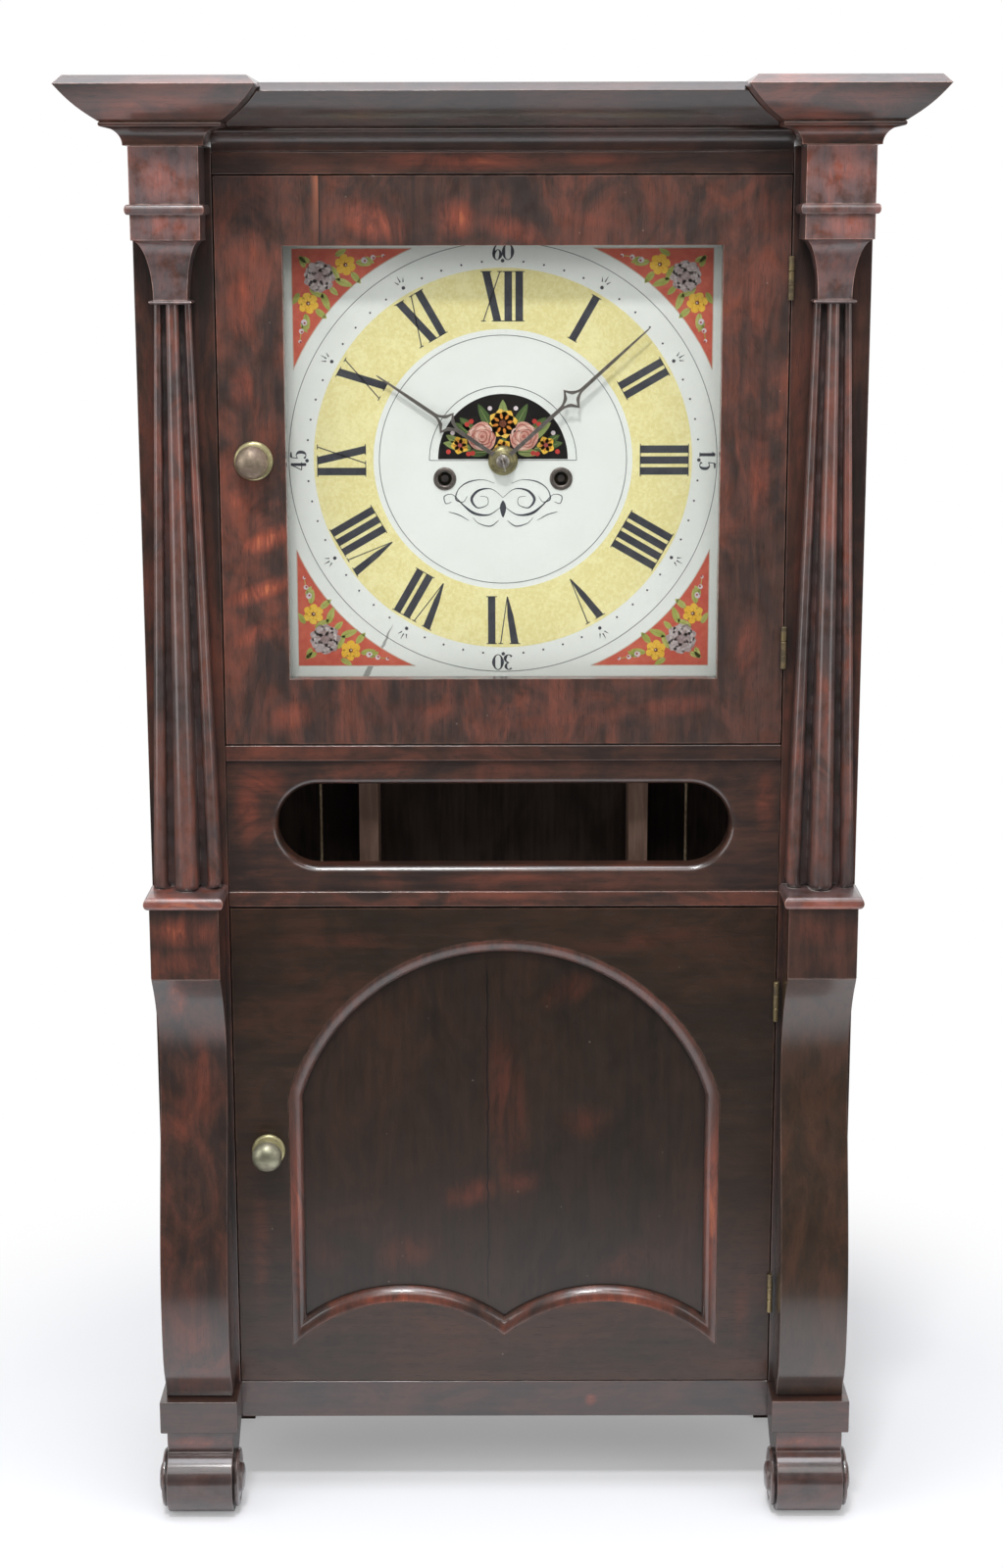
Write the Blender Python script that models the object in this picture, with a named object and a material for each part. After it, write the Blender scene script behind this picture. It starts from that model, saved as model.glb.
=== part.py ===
"""Weight-driven shelf clock with a breakfront cornice, reeded columns, scroll pilasters and two doors.

Frame: +X right, +Z up, front towards -Y. The origin is on the floor, under the middle of the clock's box.
"""

import math

import bmesh
import bpy
from mathutils import Matrix, Vector
from mathutils.geometry import interpolate_bezier

MM = 0.001

# Fits
GLUE_GAP = 0.3 * MM
RUNNING_GAP = 0.35 * MM
DOOR_GAP = 1.0 * MM
OVERCUT = 2.0 * MM
JOIN_OVERLAP = 1.0 * MM

# Case carcass
CASE_HALF_WIDTH = 249.5 * MM
CASE_DEPTH = 165.0 * MM
FRONT_THICKNESS = 18.0 * MM
SIDE_THICKNESS = 16.0 * MM
BACKBOARD_THICKNESS = 8.0 * MM
BOARD_THICKNESS = 12.0 * MM
STILE_WIDTH = 54.0 * MM
FIELD_SET_BACK = 3.0 * MM
PARTITION_INNER_X = 94.0 * MM
PARTITION_THICKNESS = 14.0 * MM
PARTITION_DEPTH = 46.5 * MM

# Heights, from the floor up
FOOT_HEIGHT = 66.0 * MM
PLINTH_HEIGHT = 25.0 * MM
SCROLL_HEIGHT = 321.0 * MM
SCROLL_BLOCK_HEIGHT = 50.7 * MM
BASE_RING_HEIGHT = 8.8 * MM
COLUMN_HEIGHT = 405.5 * MM
NECK_BEAD_HEIGHT = 3.0 * MM
CAPITAL_COVE_HEIGHT = 39.5 * MM
CAPITAL_LOWER_BLOCK_HEIGHT = 16.5 * MM
CAPITAL_RING_HEIGHT = 6.6 * MM
CAPITAL_UPPER_BLOCK_HEIGHT = 38.0 * MM
BASE_RAIL_DROP = 3.0 * MM
LOWER_RAIL_DROP = 8.3 * MM
MIDDLE_RAIL_HEIGHT = 11.6 * MM
FIELD_HEIGHT = 94.4 * MM
TOP_RAIL_HEIGHT = 15.0 * MM

# Columns, capitals and pilasters, each centred on the column's line
COLUMN_INSET = 26.5 * MM
COLUMN_FOOT_WIDTH = 48.0 * MM
COLUMN_TOP_WIDTH = 25.0 * MM
BLOCK_WIDTH = 48.5 * MM
BLOCK_DEPTH = 35.0 * MM
CAPITAL_WIDTH = 46.2 * MM
CAPITAL_NECK_WIDTH = 23.0 * MM
CAPITAL_NECK_DEPTH = 16.0 * MM
CAPITAL_RING_REACH = 3.2 * MM
NECK_BEAD_REACH = 3.0 * MM
BASE_RING_WIDTH = 55.5 * MM
BASE_RING_DEPTH = 42.0 * MM
PLINTH_WIDTH = 56.5 * MM
SCROLL_WAIST_DEPTH = 7.5 * MM
SCROLL_BELLY_DEPTH = 40.0 * MM
SCROLL_TOP_DEPTH = 38.0 * MM
SCROLL_TOE_DEPTH = 24.0 * MM
SCROLL_WAIST_DROP = 76.0 * MM
SCROLL_BELLY_HEIGHT = 76.0 * MM
SCROLL_BLOCK_PULL = (14.0 * MM, 16.0 * MM)
SCROLL_WAIST_PULL = 42.0 * MM
SCROLL_BELLY_PULL = 62.0 * MM
SCROLL_TOE_PULL = (-8.0 * MM, 26.0 * MM)

# Feet
FOOT_ROLL_RADIUS = 25.0 * MM
FOOT_ROLL_WIDTH = 48.0 * MM
FOOT_ROLL_REACH = 20.0 * MM
FOOT_DISC_RADIUS = 21.2 * MM
FOOT_DISC_THICKNESS = 4.0 * MM
FOOT_BUTTON_RADIUS = 11.0 * MM
FOOT_BUTTON_THICKNESS = 3.0 * MM
FOOT_TAIL_DEPTH = 34.0 * MM
FOOT_TAIL_HEIGHT = 47.5 * MM
FOOT_INSTEP = 9.0 * MM
FOOT_NECK_LEAN = 2.0 * MM
REAR_FOOT_WIDTH = 40.0 * MM
REAR_FOOT_DEPTH = 36.0 * MM
REAR_FOOT_TAPER = 5.0 * MM

# Cornice profile: heights above its foot, reaches beyond the blocks
CORNICE_REACH = 38.5 * MM
CORNICE_HEIGHT = 43.0 * MM
CORNICE_COVE_HEIGHT = 11.5 * MM
CORNICE_COVE_REACH = 11.5 * MM
CORNICE_BEAD_HEIGHT = 3.6 * MM
CORNICE_BEAD_REACH = 13.7 * MM
CORNICE_FILLET_HEIGHT = 5.6 * MM
CORNICE_FILLET_CANT = 5.7 * MM
CORNICE_SWELL = 1.6 * MM
CORNICE_CENTRE_DROP = 3.0 * MM
CORNICE_CENTRE_THICKNESS = 22.0 * MM

# Opening in the field between the doors
SLOT_WIDTH = 326.0 * MM
SLOT_HEIGHT = 64.5 * MM
SLOT_SPLAY = 5.5 * MM
FIELD_THICKNESS = 15.0 * MM

# Doors
UPPER_STILE_WIDTH = 45.5 * MM
UPPER_RAIL_WIDTH = 46.0 * MM
GLASS_LAP = 6.0 * MM
GLASS_THICKNESS = 2.0 * MM
GLASS_REBATE_DEPTH = 6.0 * MM
PANEL_RECESS = 7.5 * MM
PANEL_THICKNESS = 6.0 * MM
PANEL_LAP = 8.0 * MM
MOULDING_WIDTH = 10.0 * MM
MOULDING_STEPS = 5
LOWER_STILE_WIDTH = 38.5 * MM
ARCH_RADIUS_BEYOND_SIDE = 6.7 * MM
ARCH_TOP_MARGIN = 23.5 * MM
SCALLOP_CROWN_HEIGHT = 61.8 * MM
SCALLOP_CUSP_DEPTH = 26.81 * MM
SCALLOP_CENTRE_SHARE = 0.4724

# Knobs and hinges
KNOB_INSET = 23.5 * MM
UPPER_KNOB_Z = 771.0 * MM
LOWER_KNOB_Z = 272.0 * MM
UPPER_KNOB_RING_RADIUS = 13.4 * MM
UPPER_KNOB_DOME_RADIUS = 11.3 * MM
LOWER_KNOB_RING_RADIUS = 12.1 * MM
LOWER_KNOB_DOME_RADIUS = 10.8 * MM
KNOB_REACH = 22.0 * MM
KNOB_RING_THICKNESS = 2.5 * MM
KNOB_RING_EDGE = 0.8 * MM
KNOB_RING_CANT = 1.2 * MM
KNOB_NECK_RADIUS = 5.5 * MM
KNOB_UNDERCUT = 2.2 * MM
KNOB_DOME_DEPTH = 7.5 * MM
KNOB_DOME_BACK = 11.4 * MM
SPINDLE_RADIUS = 2.5 * MM
LATCH_LENGTH = 31.0 * MM
LATCH_WIDTH = 9.0 * MM
LATCH_THICKNESS = 2.5 * MM
HINGE_LENGTH = 29.5 * MM
HINGE_BARREL_RADIUS = 2.0 * MM
HINGE_LEAF_THICKNESS = 1.0 * MM
HINGE_LEAF_DEPTH = 14.0 * MM
HINGE_LEAF_PROUD = 0.15 * MM
HINGE_MIDDLE_KNUCKLE = [(0.34, 0.66)]
HINGE_END_KNUCKLES = [(0.0, 0.34), (0.66, 1.0)]
HINGE_INSET_UPPER = 68.0 * MM
HINGE_INSET_LOWER = 69.0 * MM

# Dial and hands
DIAL_ABOVE_MIDDLE = 1.2 * MM
DIAL_BEHIND_FRONT = 30.0 * MM
DIAL_HALF_SIZE = 168.0 * MM
DIAL_THICKNESS = 5.0 * MM
DIAL_CENTRE_HOLE_RADIUS = 6.0 * MM
CLEAT_LAP = 5.0 * MM
CLEAT_DEPTH = 12.0 * MM
WINDING_X = 40.6 * MM
WINDING_DROP = 12.8 * MM
WINDING_HOLE_RADIUS = 4.85 * MM
GROMMET_RADIUS = 8.0 * MM
GROMMET_RIM = 1.2 * MM
GROMMET_EDGE = 0.5 * MM
HAND_THICKNESS = 1.0 * MM
HAND_WIDTH = 3.2 * MM
HAND_TIP_WIDTH = 1.0 * MM
HOUR_HAND_LENGTH = 106.0 * MM
HOUR_LOZENGE_AT = 47.0 * MM
MINUTE_HAND_LENGTH = 136.5 * MM
MINUTE_LOZENGE_AT = 64.0 * MM
LOZENGE_HALF_WIDTH = 6.6 * MM
LOZENGE_HALF_LENGTH = 8.0 * MM
LOZENGE_WINDOW_HALF_WIDTH = 3.75 * MM
LOZENGE_WINDOW_HALF_LENGTH = 4.7 * MM
HUB_RADIUS = 7.0 * MM
HOUR_HAND_ABOVE_DIAL = 5.0 * MM
HAND_SPACING = 3.0 * MM
COLLET_HEIGHT = 1.2 * MM
ARBOR_TIP = 2.0 * MM
SHOWN_HOUR = 10
SHOWN_MINUTE = 8

# Movement
PLATE_THICKNESS = 2.0 * MM
MOTION_WORK_SPACE = 18.2 * MM
PLATE_HALF_WIDTH = 96.0 * MM
PLATE_BELOW_DIAL_CENTRE = 68.0 * MM
PLATE_ABOVE_DIAL_CENTRE = 118.0 * MM
PILLAR_RADIUS = 5.0 * MM
PILLAR_INSET = 9.0 * MM
PIVOT_RADIUS = 1.5 * MM
DRUM_ARBOR_RADIUS = 2.5 * MM
DRUM_RADIUS = 16.0 * MM
DRUM_LENGTH = 24.0 * MM
DRUM_FLANGE_RADIUS = 21.0 * MM
DRUM_FLANGE_THICKNESS = 2.0 * MM
RATCHET_TEETH = 24
RATCHET_RADIUS = 19.0 * MM
RATCHET_THICKNESS = 2.0 * MM
RATCHET_SINK = 0.5 * MM
ARBOR_BEHIND_DIAL = 2.0 * MM
DRUM_BEHIND_MIDDLE = 4.0 * MM
GREAT_WHEEL_BEHIND_PLATE = 4.0 * MM
ESCAPE_BEHIND_PLATE = 12.0 * MM
GREAT_WHEEL_TEETH = 56
CENTRE_PINION_LEAVES = 7
GREAT_WHEEL_THICKNESS = 2.0 * MM
GREAT_WHEEL_RIM = 5.0 * MM
GREAT_WHEEL_HUB_RADIUS = 9.0 * MM
PINION_OVERHANG = 1.0 * MM
MINUTE_WHEEL_ANGLE = -60
CANNON_TEETH = 10
MINUTE_WHEEL_TEETH = 30
MINUTE_PINION_TEETH = 8
HOUR_WHEEL_TEETH = 32
MOTION_CENTRE_DISTANCE = 18.0 * MM
MOTION_WHEEL_THICKNESS = 1.6 * MM
HOUR_PIPE_RADIUS = 4.2 * MM
HOUR_PIPE_PROUD = 0.5 * MM
CENTRE_ARBOR_RADIUS = 2.0 * MM
ESCAPE_TEETH = 30
ESCAPE_RADIUS = 20.0 * MM
ESCAPE_DROP = 32.0 * MM
ESCAPE_THICKNESS = 1.6 * MM
VERGE_ABOVE_DIAL_CENTRE = 103.5 * MM
PALLET_SPAN = 15.0 * MM
PALLET_DROP = 14.5 * MM
PALLET_THICKNESS = 2.5 * MM
ANCHOR_RISE = 3.0 * MM
ANCHOR_TAPER = 1.0 * MM
PENDULUM_BEHIND_PLATE = 17.0 * MM
PENDULUM_LENGTH = 300.0 * MM
PENDULUM_ROD_RADIUS = 1.0 * MM
SPRING_WIDTH = 6.0 * MM
SPRING_THICKNESS = 0.6 * MM
SPRING_LENGTH = 20.0 * MM
COCK_ABOVE_VERGE = 13.0 * MM
COCK_HEIGHT = 7.0 * MM
COCK_WIDTH = 13.0 * MM
COCK_SLOT = 3.4 * MM
CAP_RADIUS = 1.2 * MM
CAP_LENGTH = 9.0 * MM
BOB_RADIUS = 28.0 * MM
BOB_THICKNESS = 14.0 * MM
RATING_NUT_RADIUS = 5.0 * MM
RATING_NUT_HEIGHT = 6.0 * MM
CRUTCH_LENGTH = 60.0 * MM
CRUTCH_WIDTH = 3.0 * MM
CRUTCH_THICKNESS = 2.0 * MM
FORK_SIZE = 2.0 * MM
FORK_TINE = 1.5 * MM
FORK_INSET = 0.4 * MM
BELL_X = 42.0 * MM
BELL_ABOVE_DIAL_CENTRE = 147.0 * MM
BELL_RADIUS = 30.0 * MM
BELL_DEPTH = 17.0 * MM
BELL_WALL = 2.4 * MM
BELL_BEFORE_BACKBOARD = 12.0 * MM
BELL_POST_RADIUS = 4.0 * MM
HAMMER_X = 80.0 * MM
HAMMER_ABOVE_DIAL_CENTRE = 86.0 * MM
HAMMER_HEAD_RADIUS = 4.5 * MM
HAMMER_HEAD_LENGTH = 9.0 * MM
HAMMER_BEHIND_MOUTH = 4.0 * MM
HAMMER_ARM_WIDTH = 4.4 * MM
HAMMER_ARM_DEPTH = 4.0 * MM
HAMMER_TO_BELL = 2.0 * MM

# Weights, pulleys and cords
CORD_RADIUS = 1.1 * MM
FALL_X = 135.0 * MM
WEIGHT_RADIUS = 24.5 * MM
WEIGHT_LENGTH = 200.0 * MM
WEIGHT_CLEARANCE = 12.0 * MM
WEIGHT_HOOK_HEIGHT = 16.0 * MM
WEIGHT_HOOK_RADIUS = 1.6 * MM
WEIGHT_EDGE = 3.0 * MM
PULLEY_GROOVE_RADIUS = 18.0 * MM
PULLEY_RADIUS = 21.0 * MM
PULLEY_THICKNESS = 8.0 * MM
PULLEY_SLOT_GAP = 1.5 * MM
PULLEY_SLOT_LEAD = 6.0 * MM
PULLEY_AXLE_LENGTH = 26.0 * MM

# Places worked out from the sizes above
BLOCK_REACH = BLOCK_DEPTH + CORNICE_REACH
FRONT_Y = BLOCK_REACH - (BLOCK_REACH + CASE_DEPTH) / 2
BACK_Y = FRONT_Y + CASE_DEPTH
FRONT_BACK_Y = FRONT_Y + FRONT_THICKNESS
BACKBOARD_Y = BACK_Y - BACKBOARD_THICKNESS
SIDE_INNER_X = CASE_HALF_WIDTH - SIDE_THICKNESS
STILE_INNER_X = CASE_HALF_WIDTH - STILE_WIDTH
DOOR_HALF_WIDTH = STILE_INNER_X - DOOR_GAP
COLUMN_X = CASE_HALF_WIDTH - COLUMN_INSET
CORNICE_BLOCK_INNER_X = COLUMN_X - COLUMN_INSET + GLUE_GAP
PARTITION_FRONT_Y = BACKBOARD_Y - PARTITION_DEPTH

PLINTH_Z = FOOT_HEIGHT
SCROLL_Z = PLINTH_Z + PLINTH_HEIGHT
SCROLL_BLOCK_Z = SCROLL_Z + SCROLL_HEIGHT
BASE_RING_Z = SCROLL_BLOCK_Z + SCROLL_BLOCK_HEIGHT
COLUMN_Z = BASE_RING_Z + BASE_RING_HEIGHT
CAPITAL_Z = COLUMN_Z + COLUMN_HEIGHT
CAPITAL_COVE_Z = CAPITAL_Z + NECK_BEAD_HEIGHT
CAPITAL_LOWER_BLOCK_Z = CAPITAL_COVE_Z + CAPITAL_COVE_HEIGHT
CAPITAL_RING_Z = CAPITAL_LOWER_BLOCK_Z + CAPITAL_LOWER_BLOCK_HEIGHT
CAPITAL_UPPER_BLOCK_Z = CAPITAL_RING_Z + CAPITAL_RING_HEIGHT
CORNICE_Z = CAPITAL_UPPER_BLOCK_Z + CAPITAL_UPPER_BLOCK_HEIGHT
CORNICE_CENTRE_Z = CORNICE_Z - CORNICE_CENTRE_DROP

LOWER_RAIL_Z = BASE_RING_Z - LOWER_RAIL_DROP
FIELD_Z = LOWER_RAIL_Z + MIDDLE_RAIL_HEIGHT
UPPER_RAIL_Z = FIELD_Z + FIELD_HEIGHT
UPPER_DOOR_Z = UPPER_RAIL_Z + MIDDLE_RAIL_HEIGHT + DOOR_GAP
TOP_RAIL_Z = CORNICE_CENTRE_Z - TOP_RAIL_HEIGHT
UPPER_DOOR_TOP_Z = TOP_RAIL_Z - DOOR_GAP
LOWER_DOOR_Z = SCROLL_Z + DOOR_GAP
LOWER_DOOR_TOP_Z = LOWER_RAIL_Z - DOOR_GAP
TOP_BOARD_Z = CORNICE_CENTRE_Z - BOARD_THICKNESS
BOTTOM_BOARD_Z = PLINTH_Z + GLUE_GAP
FLOOR_BOARD_TOP_Z = BOTTOM_BOARD_Z + BOARD_THICKNESS

HINGE_AXIS_X = DOOR_HALF_WIDTH + DOOR_GAP / 2
HINGE_AXIS_Y = FRONT_Y - HINGE_BARREL_RADIUS - GLUE_GAP
KNOB_X = KNOB_INSET - DOOR_HALF_WIDTH
ARCH_HALF_WIDTH = DOOR_HALF_WIDTH - LOWER_STILE_WIDTH
ARCH_RADIUS = ARCH_HALF_WIDTH + ARCH_RADIUS_BEYOND_SIDE
SCALLOP_CENTRE_X = ARCH_HALF_WIDTH * SCALLOP_CENTRE_SHARE
SCALLOP_RADIUS = (SCALLOP_CENTRE_X ** 2 + SCALLOP_CUSP_DEPTH ** 2) / (2 * SCALLOP_CUSP_DEPTH)
SCALLOP_CENTRE_Z = LOWER_DOOR_Z + SCALLOP_CROWN_HEIGHT - SCALLOP_RADIUS

DIAL_Z = (UPPER_DOOR_Z + UPPER_DOOR_TOP_Z) / 2 + DIAL_ABOVE_MIDDLE
DIAL_Y = FRONT_Y + DIAL_BEHIND_FRONT
DIAL_BACK_Y = DIAL_Y + DIAL_THICKNESS
CLEAT_INNER_X = DIAL_HALF_SIZE - CLEAT_LAP
WINDING_Z = DIAL_Z - WINDING_DROP
BACK_PLATE_Y = PARTITION_FRONT_Y - GLUE_GAP - PLATE_THICKNESS
FRONT_PLATE_Y = DIAL_BACK_Y + MOTION_WORK_SPACE
PLATE_LOW_Z = DIAL_Z - PLATE_BELOW_DIAL_CENTRE
PLATE_TOP_Z = DIAL_Z + PLATE_ABOVE_DIAL_CENTRE
BACK_PLATE_HALF_WIDTH = PARTITION_INNER_X + PARTITION_THICKNESS - OVERCUT
BETWEEN_PLATES_Y = FRONT_PLATE_Y + PLATE_THICKNESS
DRUM_Y = (BETWEEN_PLATES_Y + BACK_PLATE_Y) / 2 + DRUM_BEHIND_MIDDLE
DRUM_TRACK_RADIUS = DRUM_RADIUS + GLUE_GAP + CORD_RADIUS
GREAT_WHEEL_Y = BETWEEN_PLATES_Y + GREAT_WHEEL_BEHIND_PLATE
TRAIN_CENTRE_DISTANCE = math.hypot(WINDING_X, WINDING_DROP)
TRAIN_MODULE = 2 * TRAIN_CENTRE_DISTANCE / (GREAT_WHEEL_TEETH + CENTRE_PINION_LEAVES)
CANNON_MODULE = 2 * MOTION_CENTRE_DISTANCE / (CANNON_TEETH + MINUTE_WHEEL_TEETH)
HOUR_MODULE = 2 * MOTION_CENTRE_DISTANCE / (MINUTE_PINION_TEETH + HOUR_WHEEL_TEETH)
CANNON_Y = FRONT_PLATE_Y - RUNNING_GAP - 2 * MOTION_WHEEL_THICKNESS
HOUR_WHEEL_Y = CANNON_Y - 2.5 * MOTION_WHEEL_THICKNESS
MINUTE_WHEEL_PLACE = (
    MOTION_CENTRE_DISTANCE * math.cos(math.radians(MINUTE_WHEEL_ANGLE)),
    DIAL_Z + MOTION_CENTRE_DISTANCE * math.sin(math.radians(MINUTE_WHEEL_ANGLE)),
)
HOUR_HAND_Y = DIAL_Y - HOUR_HAND_ABOVE_DIAL
MINUTE_HAND_Y = HOUR_HAND_Y - HAND_SPACING
MINUTE_ANGLE = math.radians(6 * SHOWN_MINUTE)
HOUR_ANGLE = math.radians(30 * (SHOWN_HOUR % 12) + SHOWN_MINUTE / 2)
VERGE_Z = DIAL_Z + VERGE_ABOVE_DIAL_CENTRE
ESCAPE_Z = VERGE_Z - ESCAPE_DROP
ESCAPE_Y = BETWEEN_PLATES_Y + ESCAPE_BEHIND_PLATE
PENDULUM_Y = BACK_PLATE_Y + PLATE_THICKNESS + PENDULUM_BEHIND_PLATE
COCK_TOP_Z = VERGE_Z + COCK_ABOVE_VERGE
BOB_Z = VERGE_Z - PENDULUM_LENGTH
BELL_Z = DIAL_Z + BELL_ABOVE_DIAL_CENTRE
BELL_MOUTH_Y = BACKBOARD_Y - BELL_DEPTH - BELL_BEFORE_BACKBOARD
HAMMER_Y = BELL_MOUTH_Y + HAMMER_BEHIND_MOUTH
HAMMER_Z = DIAL_Z + HAMMER_ABOVE_DIAL_CENTRE

PULLEY_TRACK_RADIUS = PULLEY_GROOVE_RADIUS + GLUE_GAP + CORD_RADIUS
PULLEY_X = FALL_X - PULLEY_TRACK_RADIUS
PULLEY_Z = TOP_BOARD_Z + BOARD_THICKNESS / 2
WEIGHT_Z = FLOOR_BOARD_TOP_Z + WEIGHT_CLEARANCE
WEIGHT_TOP_Z = WEIGHT_Z + WEIGHT_LENGTH
HOOK_TOP_Z = WEIGHT_TOP_Z + WEIGHT_HOOK_HEIGHT

# Facet counts
ROUND_STEPS = 24
TURNED_STEPS = 18
SMALL_ROUND_STEPS = 12
ARC_STEPS = 6
ARCH_STEPS = 20
SCALLOP_STEPS = 10

# Colours, roughness and metal, by material
MATERIALS = {
    "mahogany": ((0.075, 0.030, 0.022), 0.35, 0.0),
    "pine": ((0.16, 0.10, 0.06), 0.75, 0.0),
    "brass": ((0.55, 0.42, 0.20), 0.40, 1.0),
    "steel": ((0.16, 0.15, 0.14), 0.45, 1.0),
    "iron": ((0.10, 0.10, 0.10), 0.70, 0.6),
    "cord": ((0.42, 0.32, 0.20), 0.90, 0.0),
    "dial_paint": ((0.68, 0.73, 0.68), 0.50, 0.0),
    "glass": ((0.90, 0.95, 0.93), 0.05, 0.0),
    "bronze": ((0.38, 0.27, 0.13), 0.40, 1.0),
}


def clear_scene():
    for item in list(bpy.data.objects):
        bpy.data.objects.remove(item, do_unlink=True)


def make_material(name):
    """One Principled material for each object, from the named finish."""
    colour, roughness, metallic = MATERIALS[name]
    material = bpy.data.materials.new(name)
    material.use_nodes = True
    shader = material.node_tree.nodes["Principled BSDF"]
    shader.inputs["Base Color"].default_value = (*colour, 1.0)
    shader.inputs["Roughness"].default_value = roughness
    shader.inputs["Metallic"].default_value = metallic
    if name == "glass":
        shader.inputs["Transmission Weight"].default_value = 1.0
    return material


def add_object(name, bm, finish, origin=(0, 0, 0), smooth=False):
    """Turn a world-space bmesh into a named object whose origin lies at the given point."""
    bmesh.ops.recalc_face_normals(bm, faces=bm.faces)
    bmesh.ops.translate(bm, vec=-Vector(origin), verts=bm.verts)
    mesh = bpy.data.meshes.new(name)
    bm.to_mesh(mesh)
    bm.free()
    if smooth:
        mesh.shade_smooth()
        mesh.set_sharp_from_angle(angle=math.radians(35))
    item = bpy.data.objects.new(name, mesh)
    item.location = origin
    bpy.context.scene.collection.objects.link(item)
    if finish:
        mesh.materials.append(make_material(finish))
    return item


def combine(target, bm, operation):
    """Cut or join a world-space bmesh into an object with a Boolean; the tool object is hidden."""
    tool = add_object(target.name + "_tool", bm, None)
    tool.hide_render = True
    tool.display_type = "WIRE"
    modifier = target.modifiers.new(operation.lower(), "BOOLEAN")
    modifier.operation = operation
    modifier.solver = "EXACT"
    modifier.object = tool
    return target


def cut(target, bm):
    return combine(target, bm, "DIFFERENCE")


def join(target, bm):
    return combine(target, bm, "UNION")


def box(x, y, z, bm=None):
    """A box from (low, high) pairs along each axis."""
    bm = bm or bmesh.new()
    size = Vector((x[1] - x[0], y[1] - y[0], z[1] - z[0]))
    middle = Vector((x[0] + x[1], y[0] + y[1], z[0] + z[1])) / 2
    matrix = Matrix.Translation(middle) @ Matrix.Diagonal((*size, 1.0))
    bmesh.ops.create_cube(bm, size=1.0, matrix=matrix)
    return bm


def both_sides(low, high):
    """The (low, high) pairs of a piece and its mirror image in X."""
    return [(low, high), (-high, -low)]


def prism(points, axis, low, high, bm=None):
    """Extrude a flat outline along X, Y or Z. Its points hold the two other axes, in order."""
    bm = bm or bmesh.new()
    place = {
        "X": lambda a, b: (low, a, b),
        "Y": lambda a, b: (a, low, b),
        "Z": lambda a, b: (a, b, low),
    }[axis]
    offset = Vector({"X": (high - low, 0, 0), "Y": (0, high - low, 0), "Z": (0, 0, high - low)}[axis])
    corners = [bm.verts.new(place(*point)) for point in points]
    face = bm.faces.new(corners)
    grown = bmesh.ops.extrude_face_region(bm, geom=[face])
    moved = [part for part in grown["geom"] if isinstance(part, bmesh.types.BMVert)]
    bmesh.ops.translate(bm, vec=offset, verts=moved)
    return bm


def lathe(profile, centre, axis="Y", steps=ROUND_STEPS, bm=None):
    """Spin (radius, distance) points about an axis. The profile starts and ends on the axis."""
    bm = bm or bmesh.new()
    direction = {"X": Vector((1, 0, 0)), "Y": Vector((0, 1, 0)), "Z": Vector((0, 0, 1))}[axis]
    sideways = Vector((0, 0, 1)) if axis != "Z" else Vector((1, 0, 0))
    middle = Vector(centre)
    points = [middle + direction * along + sideways * radius for radius, along in profile]
    verts = [bm.verts.new(point) for point in points]
    edges = [bm.edges.new(pair) for pair in zip(verts, verts[1:])]
    bmesh.ops.spin(
        bm, geom=verts + edges, cent=middle, axis=direction, angle=math.tau, steps=steps, use_merge=True
    )
    bmesh.ops.remove_doubles(bm, verts=bm.verts, dist=1e-6)
    return bm


def rod(centre, axis, low, high, radius, steps=SMALL_ROUND_STEPS, bm=None):
    """A plain round rod, with low and high measured from the centre along the axis."""
    return lathe([(0, low), (radius, low), (radius, high), (0, high)], centre, axis, steps, bm)


def loft(rings, closed=False):
    """Skin rings of equal length. An open loft gets a face on each end."""
    bm = bmesh.new()
    loops = [[bm.verts.new(point) for point in ring] for ring in rings]
    pairs = list(zip(loops, loops[1:]))
    if closed:
        pairs.append((loops[-1], loops[0]))
    for lower, upper in pairs:
        for index in range(len(lower)):
            after = (index + 1) % len(lower)
            bm.faces.new((lower[index], lower[after], upper[after], upper[index]))
    if not closed:
        bm.faces.new(loops[0])
        bm.faces.new(loops[-1])
    return bm


def arc(centre, radius, start, end, steps=ARC_STEPS):
    """Points on a circle, with angles in degrees from the first axis towards the second."""
    angles = [math.radians(start + (end - start) * step / steps) for step in range(steps + 1)]
    return [(centre[0] + radius * math.cos(a), centre[1] + radius * math.sin(a)) for a in angles]


def rectangle_ring(half_width, depth, z, centre_x):
    """A level rectangle whose back edge lies on the front of the stile."""
    front = FRONT_Y - GLUE_GAP - depth
    back = FRONT_Y - GLUE_GAP
    left = centre_x - half_width
    right = centre_x + half_width
    return [(left, front, z), (right, front, z), (right, back, z), (left, back, z)]


# Carcass


def make_sides():
    """Side boards, each with the glued cleat that the dial board rests against."""
    cleat_y = (DIAL_BACK_Y + GLUE_GAP, DIAL_BACK_Y + GLUE_GAP + CLEAT_DEPTH)
    cleat_z = (DIAL_Z - DIAL_HALF_SIZE, DIAL_Z + DIAL_HALF_SIZE)
    boards = both_sides(SIDE_INNER_X, CASE_HALF_WIDTH)
    cleats = both_sides(CLEAT_INNER_X, SIDE_INNER_X + JOIN_OVERLAP)
    for name, x, cleat_x in zip(("right", "left"), boards, cleats):
        y = (FRONT_BACK_Y + GLUE_GAP, BACK_Y)
        bm = box(x, y, (PLINTH_Z, CORNICE_Z - GLUE_GAP))
        side = add_object("case_side_" + name, bm, "mahogany")
        join(side, box(cleat_x, cleat_y, cleat_z))


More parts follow.
